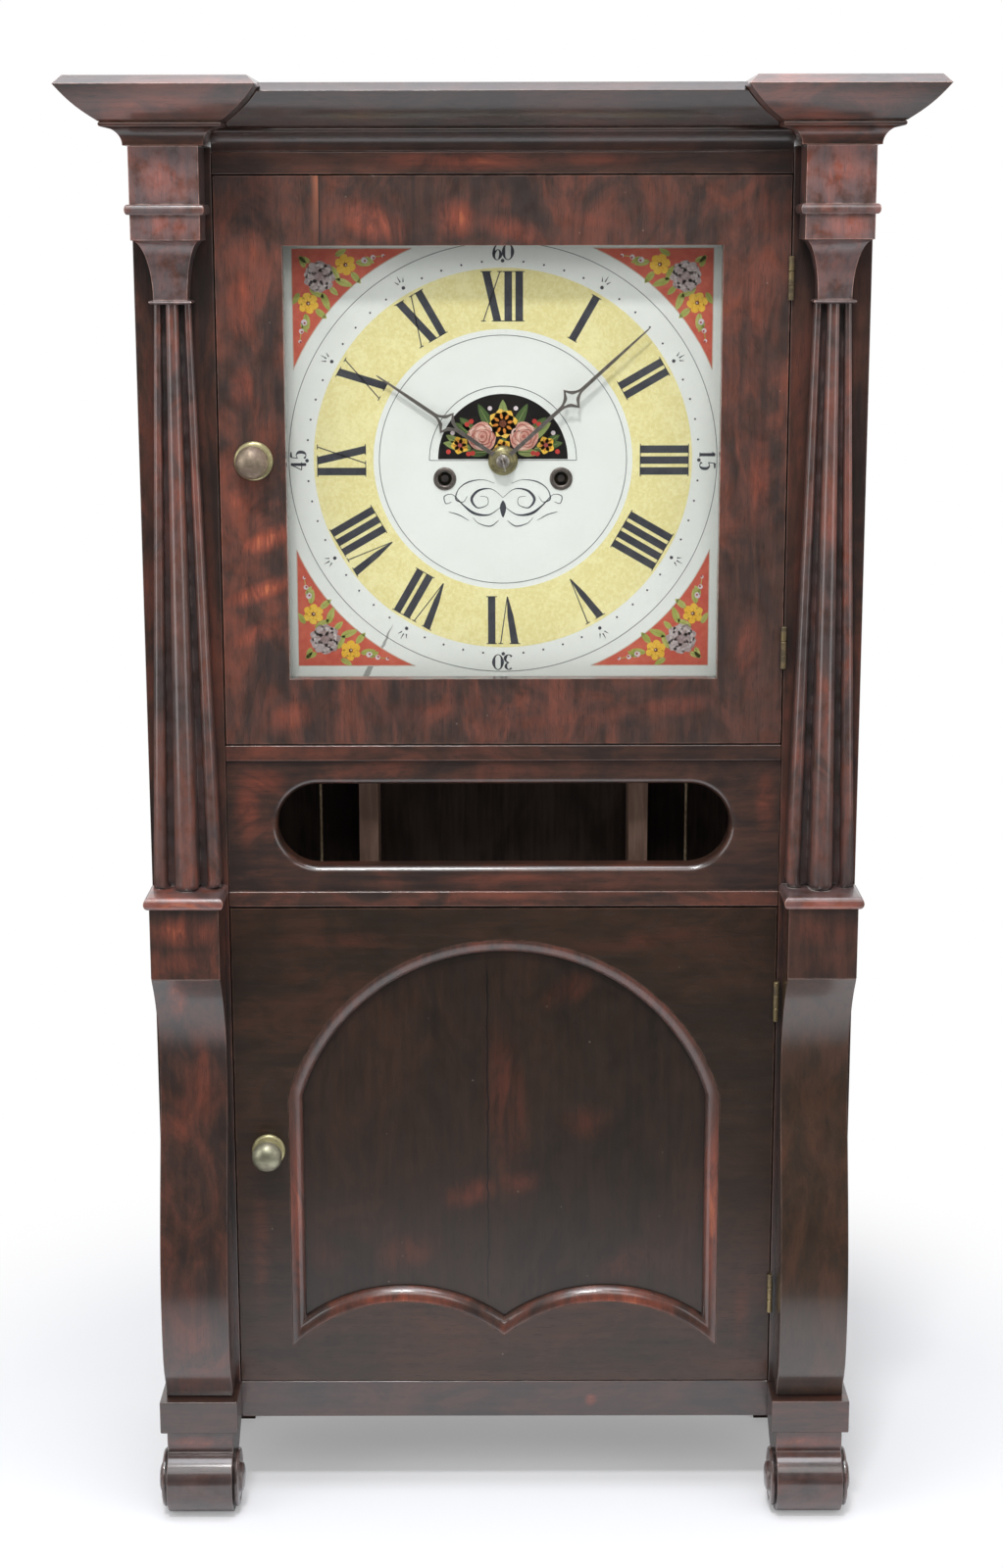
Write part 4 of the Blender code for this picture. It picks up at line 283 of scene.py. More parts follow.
def make_light():
    """A small key and a soft box high in front, a bright panel overhead, a fill on each side, and a pale room."""
    make_lamp("key", (-0.25, -1.75, 3.1), (0, 0, 0.7), (0.42, 0.26), 42)
    make_lamp("soft_box", (0.1, -2.2, 2.15), (0, 0, 0.7), (1.8, 1.0), 13)
    make_lamp("overhead", (0, -0.55, 3.0), (0, -0.25, 0.5), (1.5, 1.2), 32, (0.93, 0.94, 1.0))
    make_lamp("fill_left", (-2.2, -1.4, 1.1), (0, 0, 0.6), (1.3, 2.0), 15)
    make_lamp("fill_right", (2.2, -1.4, 1.1), (0, 0, 0.6), (1.3, 2.0), 12)
    world = bpy.data.worlds.new("studio")
    bpy.context.scene.world = world
    tree = Tree(world)
    camera_ray = tree.add("ShaderNodeLightPath", output="Is Camera Ray")
    seen = camera_ray.most(camera_ray.beside("Is Transmission Ray"))
    direction = tree.add("ShaderNodeTexCoord", output="Generated")
    mirrored = tree.ramp(tree.axis("Y", direction), -0.35, 0.45, smooth=False, ends=(MIRRORED_ROOM, 1.0))
    room = (mirrored - ROOM_LIGHT) * camera_ray.beside("Is Glossy Ray") + ROOM_LIGHT
    background = tree.nodes["Background"]
    background.inputs["Color"].default_value = (1.0, 1.0, 1.0, 1.0)
    tree.put(background.inputs["Strength"], seen.most(room))


def make_floor():
    """A pale floor: evenly white to the camera further out, but with the object's shadow near it."""
    bm = bmesh.new()
    bmesh.ops.create_grid(bm, x_segments=1, y_segments=1, size=12.0)
    mesh = bpy.data.meshes.new("floor")
    bm.to_mesh(mesh)
    bm.free()
    floor = bpy.data.objects.new("floor", mesh)
    bpy.context.scene.collection.objects.link(floor)
    shade = Shade("floor")
    camera_ray = shade.add("ShaderNodeLightPath", output="Is Camera Ray")
    glossy_ray = camera_ray.beside("Is Glossy Ray")
    away = shade.vector("LENGTH", shade.place)
    colour = shade.mix(glossy_ray, (0.55, 0.55, 0.56), (0.07, 0.07, 0.07))
    colour = shade.mix(glossy_ray * shade.ramp(away, 0.75, 0.38), colour, PALE)
    shade.set(Base_Color=shade.mix(camera_ray, colour, PALE), Roughness=0.8, Specular_IOR_Level=0.1)
    glow = shade.add("ShaderNodeEmission", {"Strength": 1.0})
    fade = shade.ramp(away, 0.30, 0.70).most(0.25) * camera_ray
    surface = Field(shade, shade.shader.outputs[0])
    both = shade.add("ShaderNodeMixShader", {0: fade, 1: surface, 2: glow})
    shade.put(shade.nodes["Material Output"].inputs["Surface"], both)
    mesh.materials.append(shade.material)


# Materials

GRAIN = {"X": (0.07, 1.0, 1.0), "Y": (1.0, 0.07, 1.0), "Z": (1.0, 1.0, 0.07)}
FIGURE = {"X": (0.5, 1.0, 1.0), "Y": (1.0, 0.5, 1.0), "Z": (1.0, 1.0, 0.5)}

MAHOGANY = ((0.0165, 0.0105, 0.0085), (0.060, 0.0250, 0.0165))
OLIVE = ((0.0210, 0.0120, 0.0070), (0.0460, 0.0230, 0.0120))
RED = (0.195, 0.042, 0.0210)
ORANGE = (0.350, 0.110, 0.042)
PORE = (0.006, 0.004, 0.004)
RECESS_SHADE = (0.006, 0.005, 0.005)
SPLIT = (0.004, 0.003, 0.003)
WEAR_AND_HIGHLIGHT = (0.31, 0.170, 0.125)
DUST = (0.42, 0.37, 0.33)
SHEEN_TINT = (0.42, 0.37, 0.41)
SPECK = (0.22, 0.17, 0.14)


def wood(name, grain, redness, lightness, seed, spots=(), specks=0.0, wear=0.6, dust=0.0, extra=None,
         tones=MAHOGANY, coat=0.8, painted_sheen=0.0):
    """Old polished mahogany: streaks, red clouds, pores, lighter arrises (wear and painted highlight), painted shade in
    recesses, a painted sheen where asked, and a thin shellac.
    """
    shade = Shade(name)
    figure = shade.noise(11.0, 5.0, 0.6, 1.4, seed, FIGURE[grain])
    streaks = shade.noise(230.0, 5.0, 0.62, 0.3, seed + 3, GRAIN[grain])
    pores = shade.ramp(shade.noise(1500.0, 2.0, 0.5, 0.0, seed + 5, GRAIN[grain]), 0.40, 0.30)
    broad = shade.noise(4.5, 2.0, 0.5, 0.6, seed + 8, FIGURE[grain])
    cloud = shade.noise(34.0, 6.0, 0.66, 1.2, seed + 11, FIGURE[grain])
    patchy = shade.noise(95.0, 4.0, 0.6, 0.0, seed + 17)
    wavy = shade.noise(34.0, 2.0, 0.5, 0.0, seed + 23)
    colour = shade.mix(shade.ramp(streaks * 0.28 + figure * 0.36 + cloud * 0.36, 0.36, 0.66), *tones)
    red = shade.ramp(figure * 0.5 + cloud * 0.5, 0.43, 0.66) * redness * shade.ramp(broad, 0.30, 0.62)
    if spots:
        flame = functools.reduce(Field.most, [shade.spot(*oval) * strength for *oval, strength in spots])
        red = red.most(flame * (shade.ramp(cloud, 0.36, 0.60) * 0.70 + 0.30))
    red = red * (shade.ramp(streaks, 0.30, 0.62) * 0.40 + 0.60)
    colour = shade.mix(red, colour, RED)
    colour = shade.mix(shade.ramp(red, 0.50, 1.0) * shade.ramp(streaks, 0.42, 0.66) * 0.7, colour, ORANGE)
    colour = shade.mix(pores * 0.45, colour, PORE)
    # Painted shade: near-black colour in grooves and corners, from ambient occlusion.
    colour = shade.mix(shade.shelter(6) * 0.75, colour, RECESS_SHADE)
    if dust:
        colour = shade.mix(shade.shelter(2.2) * shade.ramp(patchy, 0.46, 0.62) * dust, colour, DUST)
    # Lighter arrises: partly wear, partly a painted highlight; concave edges are lightened as well.
    colour = shade.mix(shade.arris(1.1) * (shade.ramp(patchy, 0.36, 0.60) * 0.75 + 0.25) * wear, colour, WEAR_AND_HIGHLIGHT)
    if specks:
        dots = shade.add("ShaderNodeTexVoronoi", {"Vector": shade.place, "Scale": 95.0}, "Distance")
        chosen = shade.add("ShaderNodeSeparateColor", {0: dots.beside("Color")})
        colour = shade.mix(shade.ramp(dots, 0.085, 0.035) * shade.ramp(chosen, 0.80, 0.84) * specks, colour, SPECK)
    if extra:
        colour = extra(shade, colour)
    colour = shade.mix(1.0, colour, (lightness, lightness, lightness), "MULTIPLY")
    # Painted sheen: a pale lilac veil in patches that stands for reflected light.
    if painted_sheen:
        colour = shade.mix(shade.ramp(patchy, 0.25, 0.60) * painted_sheen, colour, SHEEN_TINT)
    shade.set(Base_Color=colour, Roughness=patchy * 0.22 + 0.26 + pores * 0.12, Specular_IOR_Level=0.5)
    shade.set(Coat_Weight=coat, Coat_Roughness=0.15, Coat_IOR=1.72)
    shade.bump((wavy, 1.0, 0.35), (streaks, 0.12, 0.5), (1.0 - pores, 0.05, 0.6))
    return shade.material


def metal(name, colour, tarnish, roughness, scale=60.0, seed=0.0, wear=0.5):
    """Old metal with darker tarnish in patches, brighter arrises and fine scratches."""
    shade = Shade(name)
    cloud = shade.noise(scale, 5.0, 0.62, 0.4, seed)
    fine = shade.noise(scale * 12, 3.0, 0.6, 0.0, seed + 4)
    dirty = shade.ramp(cloud, 0.42, 0.62).most(shade.shelter(2.5))
    tint = shade.mix(dirty, colour, tarnish)
    tint = shade.mix(shade.ramp(fine, 0.55, 0.70) * 0.35, tint, tarnish)
    tint = shade.mix(shade.arris(0.8) * wear, tint, tuple(min(1.0, c * 1.35) for c in colour))
    shade.set(Base_Color=tint, Metallic=shade.ramp(dirty, 1.4, -0.2, smooth=False))
    shade.set(Roughness=cloud * 0.3 + (roughness - 0.12))
    shade.bump((cloud, 0.3, 0.25), (fine, 0.04, 0.6))
    return shade.material


def plain_wood(name, light, dark, grain, seed):
    """Unpolished secondary wood: growth bands, streaks and stains."""
    shade = Shade(name)
    bands = shade.noise(26.0, 3.0, 0.5, 0.8, seed, FIGURE[grain])
    streaks = shade.noise(260.0, 5.0, 0.65, 0.2, seed + 2, GRAIN[grain])
    stain = shade.noise(7.0, 4.0, 0.6, 0.5, seed + 6)
    colour = shade.mix(shade.ramp(bands * 0.5 + streaks * 0.5, 0.36, 0.64), dark, light)
    colour = shade.mix(shade.ramp(stain, 0.50, 0.72), colour, dark)
    # Painted shade: darker in recesses and corners.
    colour = shade.mix(shade.shelter(12) * 0.6, colour, tuple(c * 0.4 for c in dark))
    colour = shade.mix(shade.arris(1.2) * 0.5, colour, light)
    shade.set(Base_Color=colour, Roughness=streaks * 0.2 + 0.65, Specular_IOR_Level=0.25)
    shade.bump((streaks, 0.3, 0.6), (stain, 1.0, 0.2))
    return shade.material


def paint(name, colour, second, mottle, scale, seed):
    """Old oil paint with fine mottling and rubbed places."""
    shade = Shade(name)
    cloud = shade.noise(scale, 6.0, 0.68, 0.3, seed)
    wide = shade.noise(scale / 8, 3.0, 0.5, 0.4, seed + 2)
    amount = shade.ramp(cloud, 0.38, 0.66) * mottle + shade.ramp(wide, 0.45, 0.70) * (mottle * 0.6)
    shade.set(Base_Color=shade.mix(amount, colour, second), Roughness=cloud * 0.15 + 0.35)
    shade.bump((cloud, 0.05, 0.4))
    return shade.material


def crackled(shade, colour):
    """The lower door's panel: a wandering upright split."""
    wander = shade.noise(26.0, 4.0, 0.6, 0.0, 2.0, (0, 0, 1))
    middle = (wander - 0.5) * (7 * MM) - 11.5 * MM
    line = shade.ramp(abs(shade.axis("X") - middle), 0.75 * MM, 0.30 * MM)
    z = shade.axis("Z")
    ends = shade.ramp(z, 0.146, 0.160) * shade.ramp(z, 0.412, 0.400)
    return shade.mix(line * ends * 0.9, colour, SPLIT)


def jointed(shade, colour):
    """The upper door's top rail: a veneer joint with a pale wedge beside it."""
    x = shade.axis("X")
    z = shade.axis("Z")
    rail = shade.ramp(z, 0.9150, 0.9165, smooth=False)
    side = shade.ramp(x, -0.1300, -0.1245) * shade.ramp(x, -0.1232, -0.1238)
    wedge = side * shade.ramp(z, 0.915, 0.975, smooth=False)
    line = shade.ramp(abs(x + 0.1235), 0.55 * MM, 0.25 * MM)
    colour = shade.mix(wedge * rail * 0.75, colour, (0.30, 0.095, 0.045))
    return shade.mix(line * rail * 0.8, colour, PORE)


# Piece building


def new_piece(name, bm, body, material, slot, stands_for=(), smooth=True, arris=0.0, sharp=32):
    """A mesh in place in the frame, riding on its body, with rounded arrises where asked."""
    bmesh.ops.recalc_face_normals(bm, faces=bm.faces)
    mesh = bpy.data.meshes.new(name)
    bm.to_mesh(mesh)
    bm.free()
    if smooth:
        mesh.shade_smooth()
        mesh.set_sharp_from_angle(angle=math.radians(sharp))
    item = bpy.data.objects.new(name, mesh)
    bpy.context.scene.collection.objects.link(item)
    mesh.materials.append(material)
    if arris:
        bevel = item.modifiers.new("arris", "BEVEL")
        bevel.width = arris * MM
        bevel.segments = 2
        bevel.limit_method = "ANGLE"
        bevel.angle_limit = math.radians(sharp)
        bevel.use_clamp_overlap = True
        bevel.harden_normals = True
    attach(item, body)
    if stands_for:
        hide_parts(*stands_for)
    return item


def case_piece(name, bm, material, node=None, **look):
    """A mahogany piece of the case that stands for its CAD node."""
    return new_piece(name, bm, "case", material, "mahogany", [node or name], **look)


def flatten(piece):
    """Keep large flat faces flat next to small rounded ones."""
    modifier = piece.modifiers.new("weighted", "WEIGHTED_NORMAL")
    modifier.keep_sharp = True
    modifier.weight = 60


def box(x, y, z, bm=None):
    bm = bm or bmesh.new()
    size = [(high - low) * MM for low, high in (x, y, z)]
    middle = [(low + high) / 2 * MM for low, high in (x, y, z)]
    bmesh.ops.create_cube(bm, size=1.0, matrix=Matrix.Translation(middle) @ Matrix.Diagonal((*size, 1.0)))
    return bm


def loft(rings, closed=False, bm=None):
    """Skin rings of equal length; an open loft gets a face on each end."""
    bm = bm or bmesh.new()
    loops = [[bm.verts.new([value * MM for value in point]) for point in ring] for ring in rings]
    pairs = list(zip(loops, loops[1:]))
    if closed:
        pairs.append((loops[-1], loops[0]))
    for lower, upper in pairs:
        for index in range(len(lower)):
            after = (index + 1) % len(lower)
            bm.faces.new((lower[index], lower[after], upper[after], upper[index]))
    if not closed:
        bm.faces.new(loops[0])
        bm.faces.new(loops[-1])
    return bm


def prism(points, axis, low, high, bm=None):
    """Extrude a flat outline along X or Y; its points hold the two other axes, in order."""
    place = {"X": lambda a, b, c: (c, a, b), "Y": lambda a, b, c: (a, c, b)}[axis]
    return loft([[place(a, b, level) for a, b in points] for level in (low, high)], bm=bm)


def lathe(profile, centre, axis="Y", steps=64, bm=None):
    """Spin (radius, distance) points about an axis. The profile starts and ends on the axis."""
    bm = bm or bmesh.new()
    middle = Vector(centre)
    along = {"X": Vector((1, 0, 0)), "Y": Vector((0, 1, 0)), "Z": Vector((0, 0, 1))}[axis]
    first = Vector((0, 0, 1)) if axis != "Z" else Vector((1, 0, 0))
    second = along.cross(first)
    poles = [bm.verts.new((middle + along * profile[index][1]) * MM) for index in (0, -1)]
    loops = []
    for radius, distance in profile[1:-1]:
        ring = []
        for step in range(steps):
            angle = math.tau * step / steps
            around = first * math.cos(angle) + second * math.sin(angle)
            ring.append(bm.verts.new((middle + along * distance + around * radius) * MM))
        loops.append(ring)
    for step in range(steps):
        after = (step + 1) % steps
        bm.faces.new((poles[0], loops[0][step], loops[0][after]))
        bm.faces.new((poles[1], loops[-1][after], loops[-1][step]))
        for lower, upper in zip(loops, loops[1:]):
            bm.faces.new((lower[step], lower[after], upper[after], upper[step]))
    return bm


def polar(centre, bearing, reach):
    """The point at this reach from the centre, with the bearing in degrees from the first axis."""
    angle = math.radians(bearing)
    return (centre[0] + reach * math.cos(angle), centre[1] + reach * math.sin(angle))


def arc(centre, radius, start, end, steps):
    return [polar(centre, start + (end - start) * step / steps, radius) for step in range(steps + 1)]


def circle(radius, steps=180, centre=(0, 0)):
    return arc(centre, radius, 0, 360 - 360 / steps, steps - 1)


def ring_about(path, x, y, z, steps=48):
    """A turned ring about an axis along Y, from (radius, distance) points."""
    rings = []
    for radius, distance in path:
        rings.append([(across, y + distance, up) for across, up in circle(radius, steps, (x, z))])
    return loft(rings, closed=True)


def carve(bm, cutters):
    """The mesh less the cutters, through a Boolean whose result is kept as plain faces."""
    def temporary(source):
        bmesh.ops.recalc_face_normals(source, faces=source.faces)
        mesh = bpy.data.meshes.new("temporary")
        source.to_mesh(mesh)
        source.free()
        item = bpy.data.objects.new("temporary", mesh)
        bpy.context.scene.collection.objects.link(item)
        return item

    target = temporary(bm)
    tools = [temporary(cutter) for cutter in cutters]
    for tool in tools:
        modifier = target.modifiers.new("cut", "BOOLEAN")
        modifier.operation = "DIFFERENCE"
        modifier.solver = "EXACT"
        modifier.object = tool
    bpy.context.view_layer.update()
    result = bmesh.new()
    result.from_object(target, bpy.context.evaluated_depsgraph_get())
    for item in [target] + tools:
        bpy.data.objects.remove(item, do_unlink=True)
    return result


def level_ring(half_width, depth, z, centre_x):
    """A level rectangle that stands this deep in front of the case."""
    back = FRONT_Y - GAP
    front = back - depth
    left = centre_x - half_width
    right = centre_x + half_width
    return [(left, front, z), (right, front, z), (right, back, z), (left, back, z)]


# Cornice, capitals, columns and pilasters

CORNICE_REACH = 38.5
CORNICE_HEIGHT = 43.0
COVE = 11.5
BEAD_REACH = 13.7
BEAD_HEIGHT = 3.6
FILLET_HEIGHT = 5.6
FILLET_CANT = 5.7
SWELL = 1.6
BLOCK_INNER_X = COLUMN_X - (CASE_HALF_WIDTH - COLUMN_X) + GAP
CORNICE_CENTRE_THICKNESS = 22.0
CORNICE_SPOTS = {
    "left": ((-225, 1005, 45, 8, 0, 0.7), (-250, 1000, 20, 6, 10, 0.6)),
    "right": ((235, 1008, 40, 7, 0, 0.45), (205, 1000, 16, 6, 0, 0.5)),
}


def cornice_profile():
    """(reach, height) points: cove, bead, swelling slope and canted fillet."""
    points = [(COVE - x, z) for x, z in arc((0, 0), COVE, 0, 90, 14)]
    for step in range(1, 8):
        angle = math.pi * step / 8
        reach = COVE + (BEAD_REACH - COVE) * math.sin(angle)
        points.append((reach, COVE + BEAD_HEIGHT * (1 - math.cos(angle)) / 2))
    low = COVE + BEAD_HEIGHT
    rise = CORNICE_HEIGHT - FILLET_HEIGHT - low
    for step in range(17):
        share = step / 16
        bulge = SWELL * math.sin(math.pi * share) * 0.7
        points.append((BEAD_REACH + (CORNICE_REACH - BEAD_REACH) * share + bulge, low + rise * share - bulge))
    points.append((CORNICE_REACH - FILLET_CANT, CORNICE_HEIGHT))
    return points


def reach_at(profile, height):
    """The profile's reach at a height above its foot."""
    if height <= 0:
        return 0.0
    for (reach, low), (further, high) in zip(profile, profile[1:]):
        if low <= height <= high:
            return reach + (further - reach) * (height - low) / max(high - low, 1e-6)
    return profile[-1][0]


def make_cornice():
    profile = cornice_profile()
    back = FRONT_Y + CORNICE_CENTRE_THICKNESS
    for name, side in SIDES:
        rings = []
        for reach, height in profile:
            inner = BLOCK_INNER_X - max(reach, 0.05)
            outer = CASE_HALF_WIDTH + reach
            front = FRONT_Y - BLOCK_DEPTH - reach
            plan = [(inner, front), (outer, front), (outer, BACK_Y), (BLOCK_INNER_X, BACK_Y)]
            plan += [(BLOCK_INNER_X, back + GAP), (inner, back + GAP)]
            rings.append([(side * x, y, CORNICE_Z + height) for x, y in plan])
        material = wood("wood_cornice_" + name, "X", 0.6, 1.75, 20 + side, CORNICE_SPOTS[name], wear=0.8)
        case_piece("cornice_block_" + name, loft(rings), material, arris=0.5)
    rings = []
    for reach, height in profile:
        z = CORNICE_CENTRE_Z + height
        half = min(STILE_INNER_X, BLOCK_INNER_X - reach_at(profile, z - CORNICE_Z)) - GAP
        front = FRONT_Y - reach
        rings.append([(-half, front, z), (half, front, z), (half, back, z), (-half, back, z)])
    material = wood("wood_cornice_centre", "X", 0.30, 1.1, 23, wear=0.8)
    case_piece("cornice_centre", loft(rings), material, arris=0.4)


def capital_rings(centre_x):
    """Neck bead, hollow flare, lower block, ring and upper block."""
    neck, full = 11.5, 23.1
    neck_depth = 16.0
    bead_height = 3.0
    cove_height = 39.5
    sections = []
    for step in range(9):
        share = step / 8
        bulge = 3.0 * (1 - (2 * share - 1) ** 2 * 0.6)
        sections.append((neck + bulge, neck_depth + bulge, CAPITAL_Z + GAP + (bead_height - GAP) * share))
    for step in range(19):
        angle = math.pi / 2 * step / 18
        flare = 1 - math.cos(angle)
        depth = neck_depth + (BLOCK_DEPTH - neck_depth) * flare
        sections.append((neck + (full - neck) * flare, depth, CAPITAL_COVE_Z + cove_height * math.sin(angle)))
    sections.append((full, BLOCK_DEPTH, CAPITAL_RING_Z))
    height = CAPITAL_UPPER_BLOCK_Z - CAPITAL_RING_Z
    for step in range(13):
        angle = math.pi * step / 12
        bulge = 3.2 * (0.4 + 0.6 * math.sin(angle))
        sections.append((full + bulge, BLOCK_DEPTH + bulge, CAPITAL_RING_Z + height * (1 - math.cos(angle)) / 2))
    sections.append((full, BLOCK_DEPTH, CAPITAL_UPPER_BLOCK_Z))
    sections.append((full, BLOCK_DEPTH, CORNICE_Z - GAP))
    return [level_ring(*section, centre_x) for section in sections]


def make_capitals():
    for name, side in SIDES:
        spots = ((side * 223, 960, 24, 17, 0, 0.7), (side * 225, 928, 24, 9, 0, 0.6))
        material = wood("wood_capital_" + name, "Z", 0.6, 2.5, 31 + side, spots, wear=0.9, dust=0.3, painted_sheen=0.19)
        case_piece("capital_" + name, loft(capital_rings(side * COLUMN_X)), material, arris=0.45)


def reeded_outline(width):
    """A wide round reed between two narrow ones, with deep grooves between them, on a flat back."""
    middle_radius = 0.170 * width
    side_radius = 0.102 * width
    side = 0.5 * width - side_radius
    side_forward = 0.3325 * width - side_radius
    middle_forward = 0.5225 * width - middle_radius
    right_reed = arc((side, side_forward), side_radius, 0, 180, 20)
    middle_reed = arc((0, middle_forward), middle_radius, 0, 180, 28)
    left_reed = arc((-side, side_forward), side_radius, 0, 180, 20)
    groove = [(side - side_radius + 0.004 * width, 0.11 * width), (middle_radius + 0.012 * width, 0.10 * width)]
    foot = [(-0.5 * width, 0), (0.5 * width, 0)]
    other = [(-x, forward) for x, forward in reversed(groove)]
    return right_reed + groove + middle_reed + other + left_reed + foot


def make_columns():
    foot_width, top_width = 48.0, 25.0
    low = COLUMN_Z + GAP
    height = CAPITAL_Z - low
    # (rise, width there against the plain taper), with the foot rounded in
    levels = [(0.0, 0.86), (0.8, 0.925), (2.0, 0.965), (4.0, 0.99), (7.0, 1.0)]
    levels += [(60 * step, 1.0) for step in range(1, 7)] + [(height, 1.0)]
    for name, side in SIDES:
        rings = []
        for rise, shrink in levels:
            width = foot_width + (top_width - foot_width) * rise / height
            rings.append([
                (side * COLUMN_X + across * shrink, FRONT_Y - GAP - forward * shrink, low + rise)
                for across, forward in reeded_outline(width)
            ])
        material = wood("wood_column_" + name, "Z", 0.7, 2.2, 41 + side, dust=0.10, wear=0.08, painted_sheen=0.07)
        case_piece("column_" + name, loft(rings), material, sharp=50)


# (forward, Z) handles of three Bezier spans from the scroll's top to its foot
SCROLL_CURVE = ((38, SCROLL_BLOCK_Z), (24, 396), (7.5, 378), (7.5, 336), (7.5, 294), (40, 229), (40, 167),
                (40, 105), (32, 117), (24, SCROLL_Z))


def scroll_outline():
    """(Y, Z) outline: hollow waist, full belly and a foot that draws in."""
    back = FRONT_Y - GAP
    points = [(back, SCROLL_BLOCK_Z)]
    for first in (0, 3, 6):
        handles = [Vector((forward, z, 0)) for forward, z in SCROLL_CURVE[first:first + 4]]
        points += [(back - point.x, point.y) for point in interpolate_bezier(*handles, 40)[:-1]]
    return points + [(back - SCROLL_CURVE[-1][0], SCROLL_Z), (back, SCROLL_Z)]


def base_ring_rings(centre_x):
    """A ring with a rounded front edge, between the pilaster's block and the column."""
    height = 8.8
    rings = []
    for step in range(15):
        angle = math.pi * step / 14
        pull = height / 2 * (1 - math.sin(angle)) * 0.8
        rings.append(level_ring(27.75 - pull, 42.0 - pull, BASE_RING_Z + height * (1 - math.cos(angle)) / 2, centre_x))
    return rings


def make_pilasters():
    """Below each column: ring, block, scroll and plinth. The left one is redder than the right one."""
    for name, side in SIDES:
        left = side < 0
        middle = side * COLUMN_X
        back = FRONT_Y - GAP
        x = (middle - BLOCK_HALF_WIDTH, middle + BLOCK_HALF_WIDTH)
        flames = ((middle - 8, 395, 8, 22, 0, 0.8), (middle + 6, 330, 8, 40, 0, 0.55),
                  (middle - 4, 150, 16, 40, 0, 0.45), (middle - 8, 300, 10, 20, 0, 0.6))
        block_flame = 0.9 if left else 0.25
        block_flames = ((middle, 446, 26, 12, 0, block_flame), (middle, 425, 22, 10, 0, block_flame * 0.6))
        scroll_wood = wood("wood_scroll_" + name, "Z", 0.34 if left else 0.12, 1.3, 51 + side, flames if left else (),
                           wear=0.8, tones=MAHOGANY if left else OLIVE)
        block_wood = wood("wood_block_" + name, "Z", 0.80 if left else 0.35, 1.5, 61 + side, block_flames, wear=0.9)
        ring_wood = wood("wood_ring_" + name, "X", 1.0, 2.0, 71 + side, ((middle, 464, 40, 8, 0, 1.0),), wear=0.9,
                         dust=1.0, painted_sheen=0.12)
        plinth_wood = wood("wood_plinth_" + name, "X", 0.4, 1.15, 81 + side, wear=0.9)
        block = box(x, (back - 38.0, back), (SCROLL_BLOCK_Z, BASE_RING_Z))
        plinth = box((middle - 28.25, middle + 28.25), (back - BLOCK_DEPTH, back), (PLINTH_Z + GAP, SCROLL_Z))
        for piece, bm, material, arris in (
            ("scroll_", prism(scroll_outline(), "X", *x), scroll_wood, 0.8),
            ("pilaster_block_", block, block_wood, 0.5),
            ("base_ring_", loft(base_ring_rings(middle)), ring_wood, 0.3),
            ("plinth_", plinth, plinth_wood, 0.9),
        ):
            case_piece(piece + name, bm, material, "scroll_pilaster_" + name, arris=arris)


FOOT_Y = FRONT_Y - 20
FOOT_RADIUS = 25.0
FOOT_HALF_WIDTH = 24.0
# (radius, distance past the foot's side) of the turned disc on each end of the roll
DISC_PROFILE = (
    (0, -1.0), (19.5, -1.0), (20.6, 0.4), (21.2, 1.6), (21.2, 2.8), (20.4, 3.8), (18.6, 4.0), (17.6, 3.2), (16.6, 2.9),
    (15.4, 3.3), (14.6, 4.0), (12.2, 4.0), (11.4, 3.6), (11.0, 4.6), (10.2, 6.0), (8.0, 6.8), (4.0, 7.0), (0, 7.0),
)


def foot_outline():
    """(Y, Z) outline of a roll with a neck that runs back under the case."""
    top = PLINTH_Z - GAP
    roll = arc((FOOT_Y, FOOT_RADIUS), FOOT_RADIUS, 110, 360, 60)
    start = roll[0][0]
    neck = [(start - 2, top), (start - 1.8, 56), (start - 0.6, 50.5)]
    instep = [(FOOT_Y + 25.6, 29), (FOOT_Y + 28, 32), (FOOT_Y + 34, 34.5)]
    tail = FRONT_Y + 34
    return neck + roll + instep + [(tail, 47.5), (tail, top)]


def make_feet():
    for name, side in SIDES:
        middle = side * COLUMN_X
        node = "front_foot_" + name
        material = wood("wood_foot_" + name, "X", 0.30, 1.2, 91 + side, ((middle, 57, 30, 6, 0, 0.8),), wear=1.0,
                        dust=0.3, painted_sheen=0.05)
        roll = prism(foot_outline(), "X", middle - FOOT_HALF_WIDTH, middle + FOOT_HALF_WIDTH)
        case_piece("foot_roll_" + name, roll, material, node, arris=0.8)
        for end, turn in (("outer", side), ("inner", -side)):
            profile = [(radius, turn * (FOOT_HALF_WIDTH + past)) for radius, past in DISC_PROFILE]
            disc = lathe(profile, (middle, FOOT_Y, FOOT_RADIUS), "X")
            case_piece(f"foot_disc_{name}_{end}", disc, material, node)


# Front frame and doors

FRAME_Y = (FRONT_Y, FRONT_BACK_Y)
RAIL_HALF_WIDTH = STILE_INNER_X - GAP
OPENING_HALF_WIDTH = 163.0
OPENING_HALF_HEIGHT = 32.25
UPPER_HINGE_INSET = 68.0
LOWER_HINGE_INSET = 69.0
STILE_SPOTS = {
    "right": ((205, 700, 5, 90, 0, 0.5), (232, 800, 8, 120, 0, 0.4)),
    "left": ((-203, 640, 5, 120, 0, 0.5), (-236, 760, 8, 120, 0, 0.7), (-236, 560, 8, 60, 0, 0.5)),
}


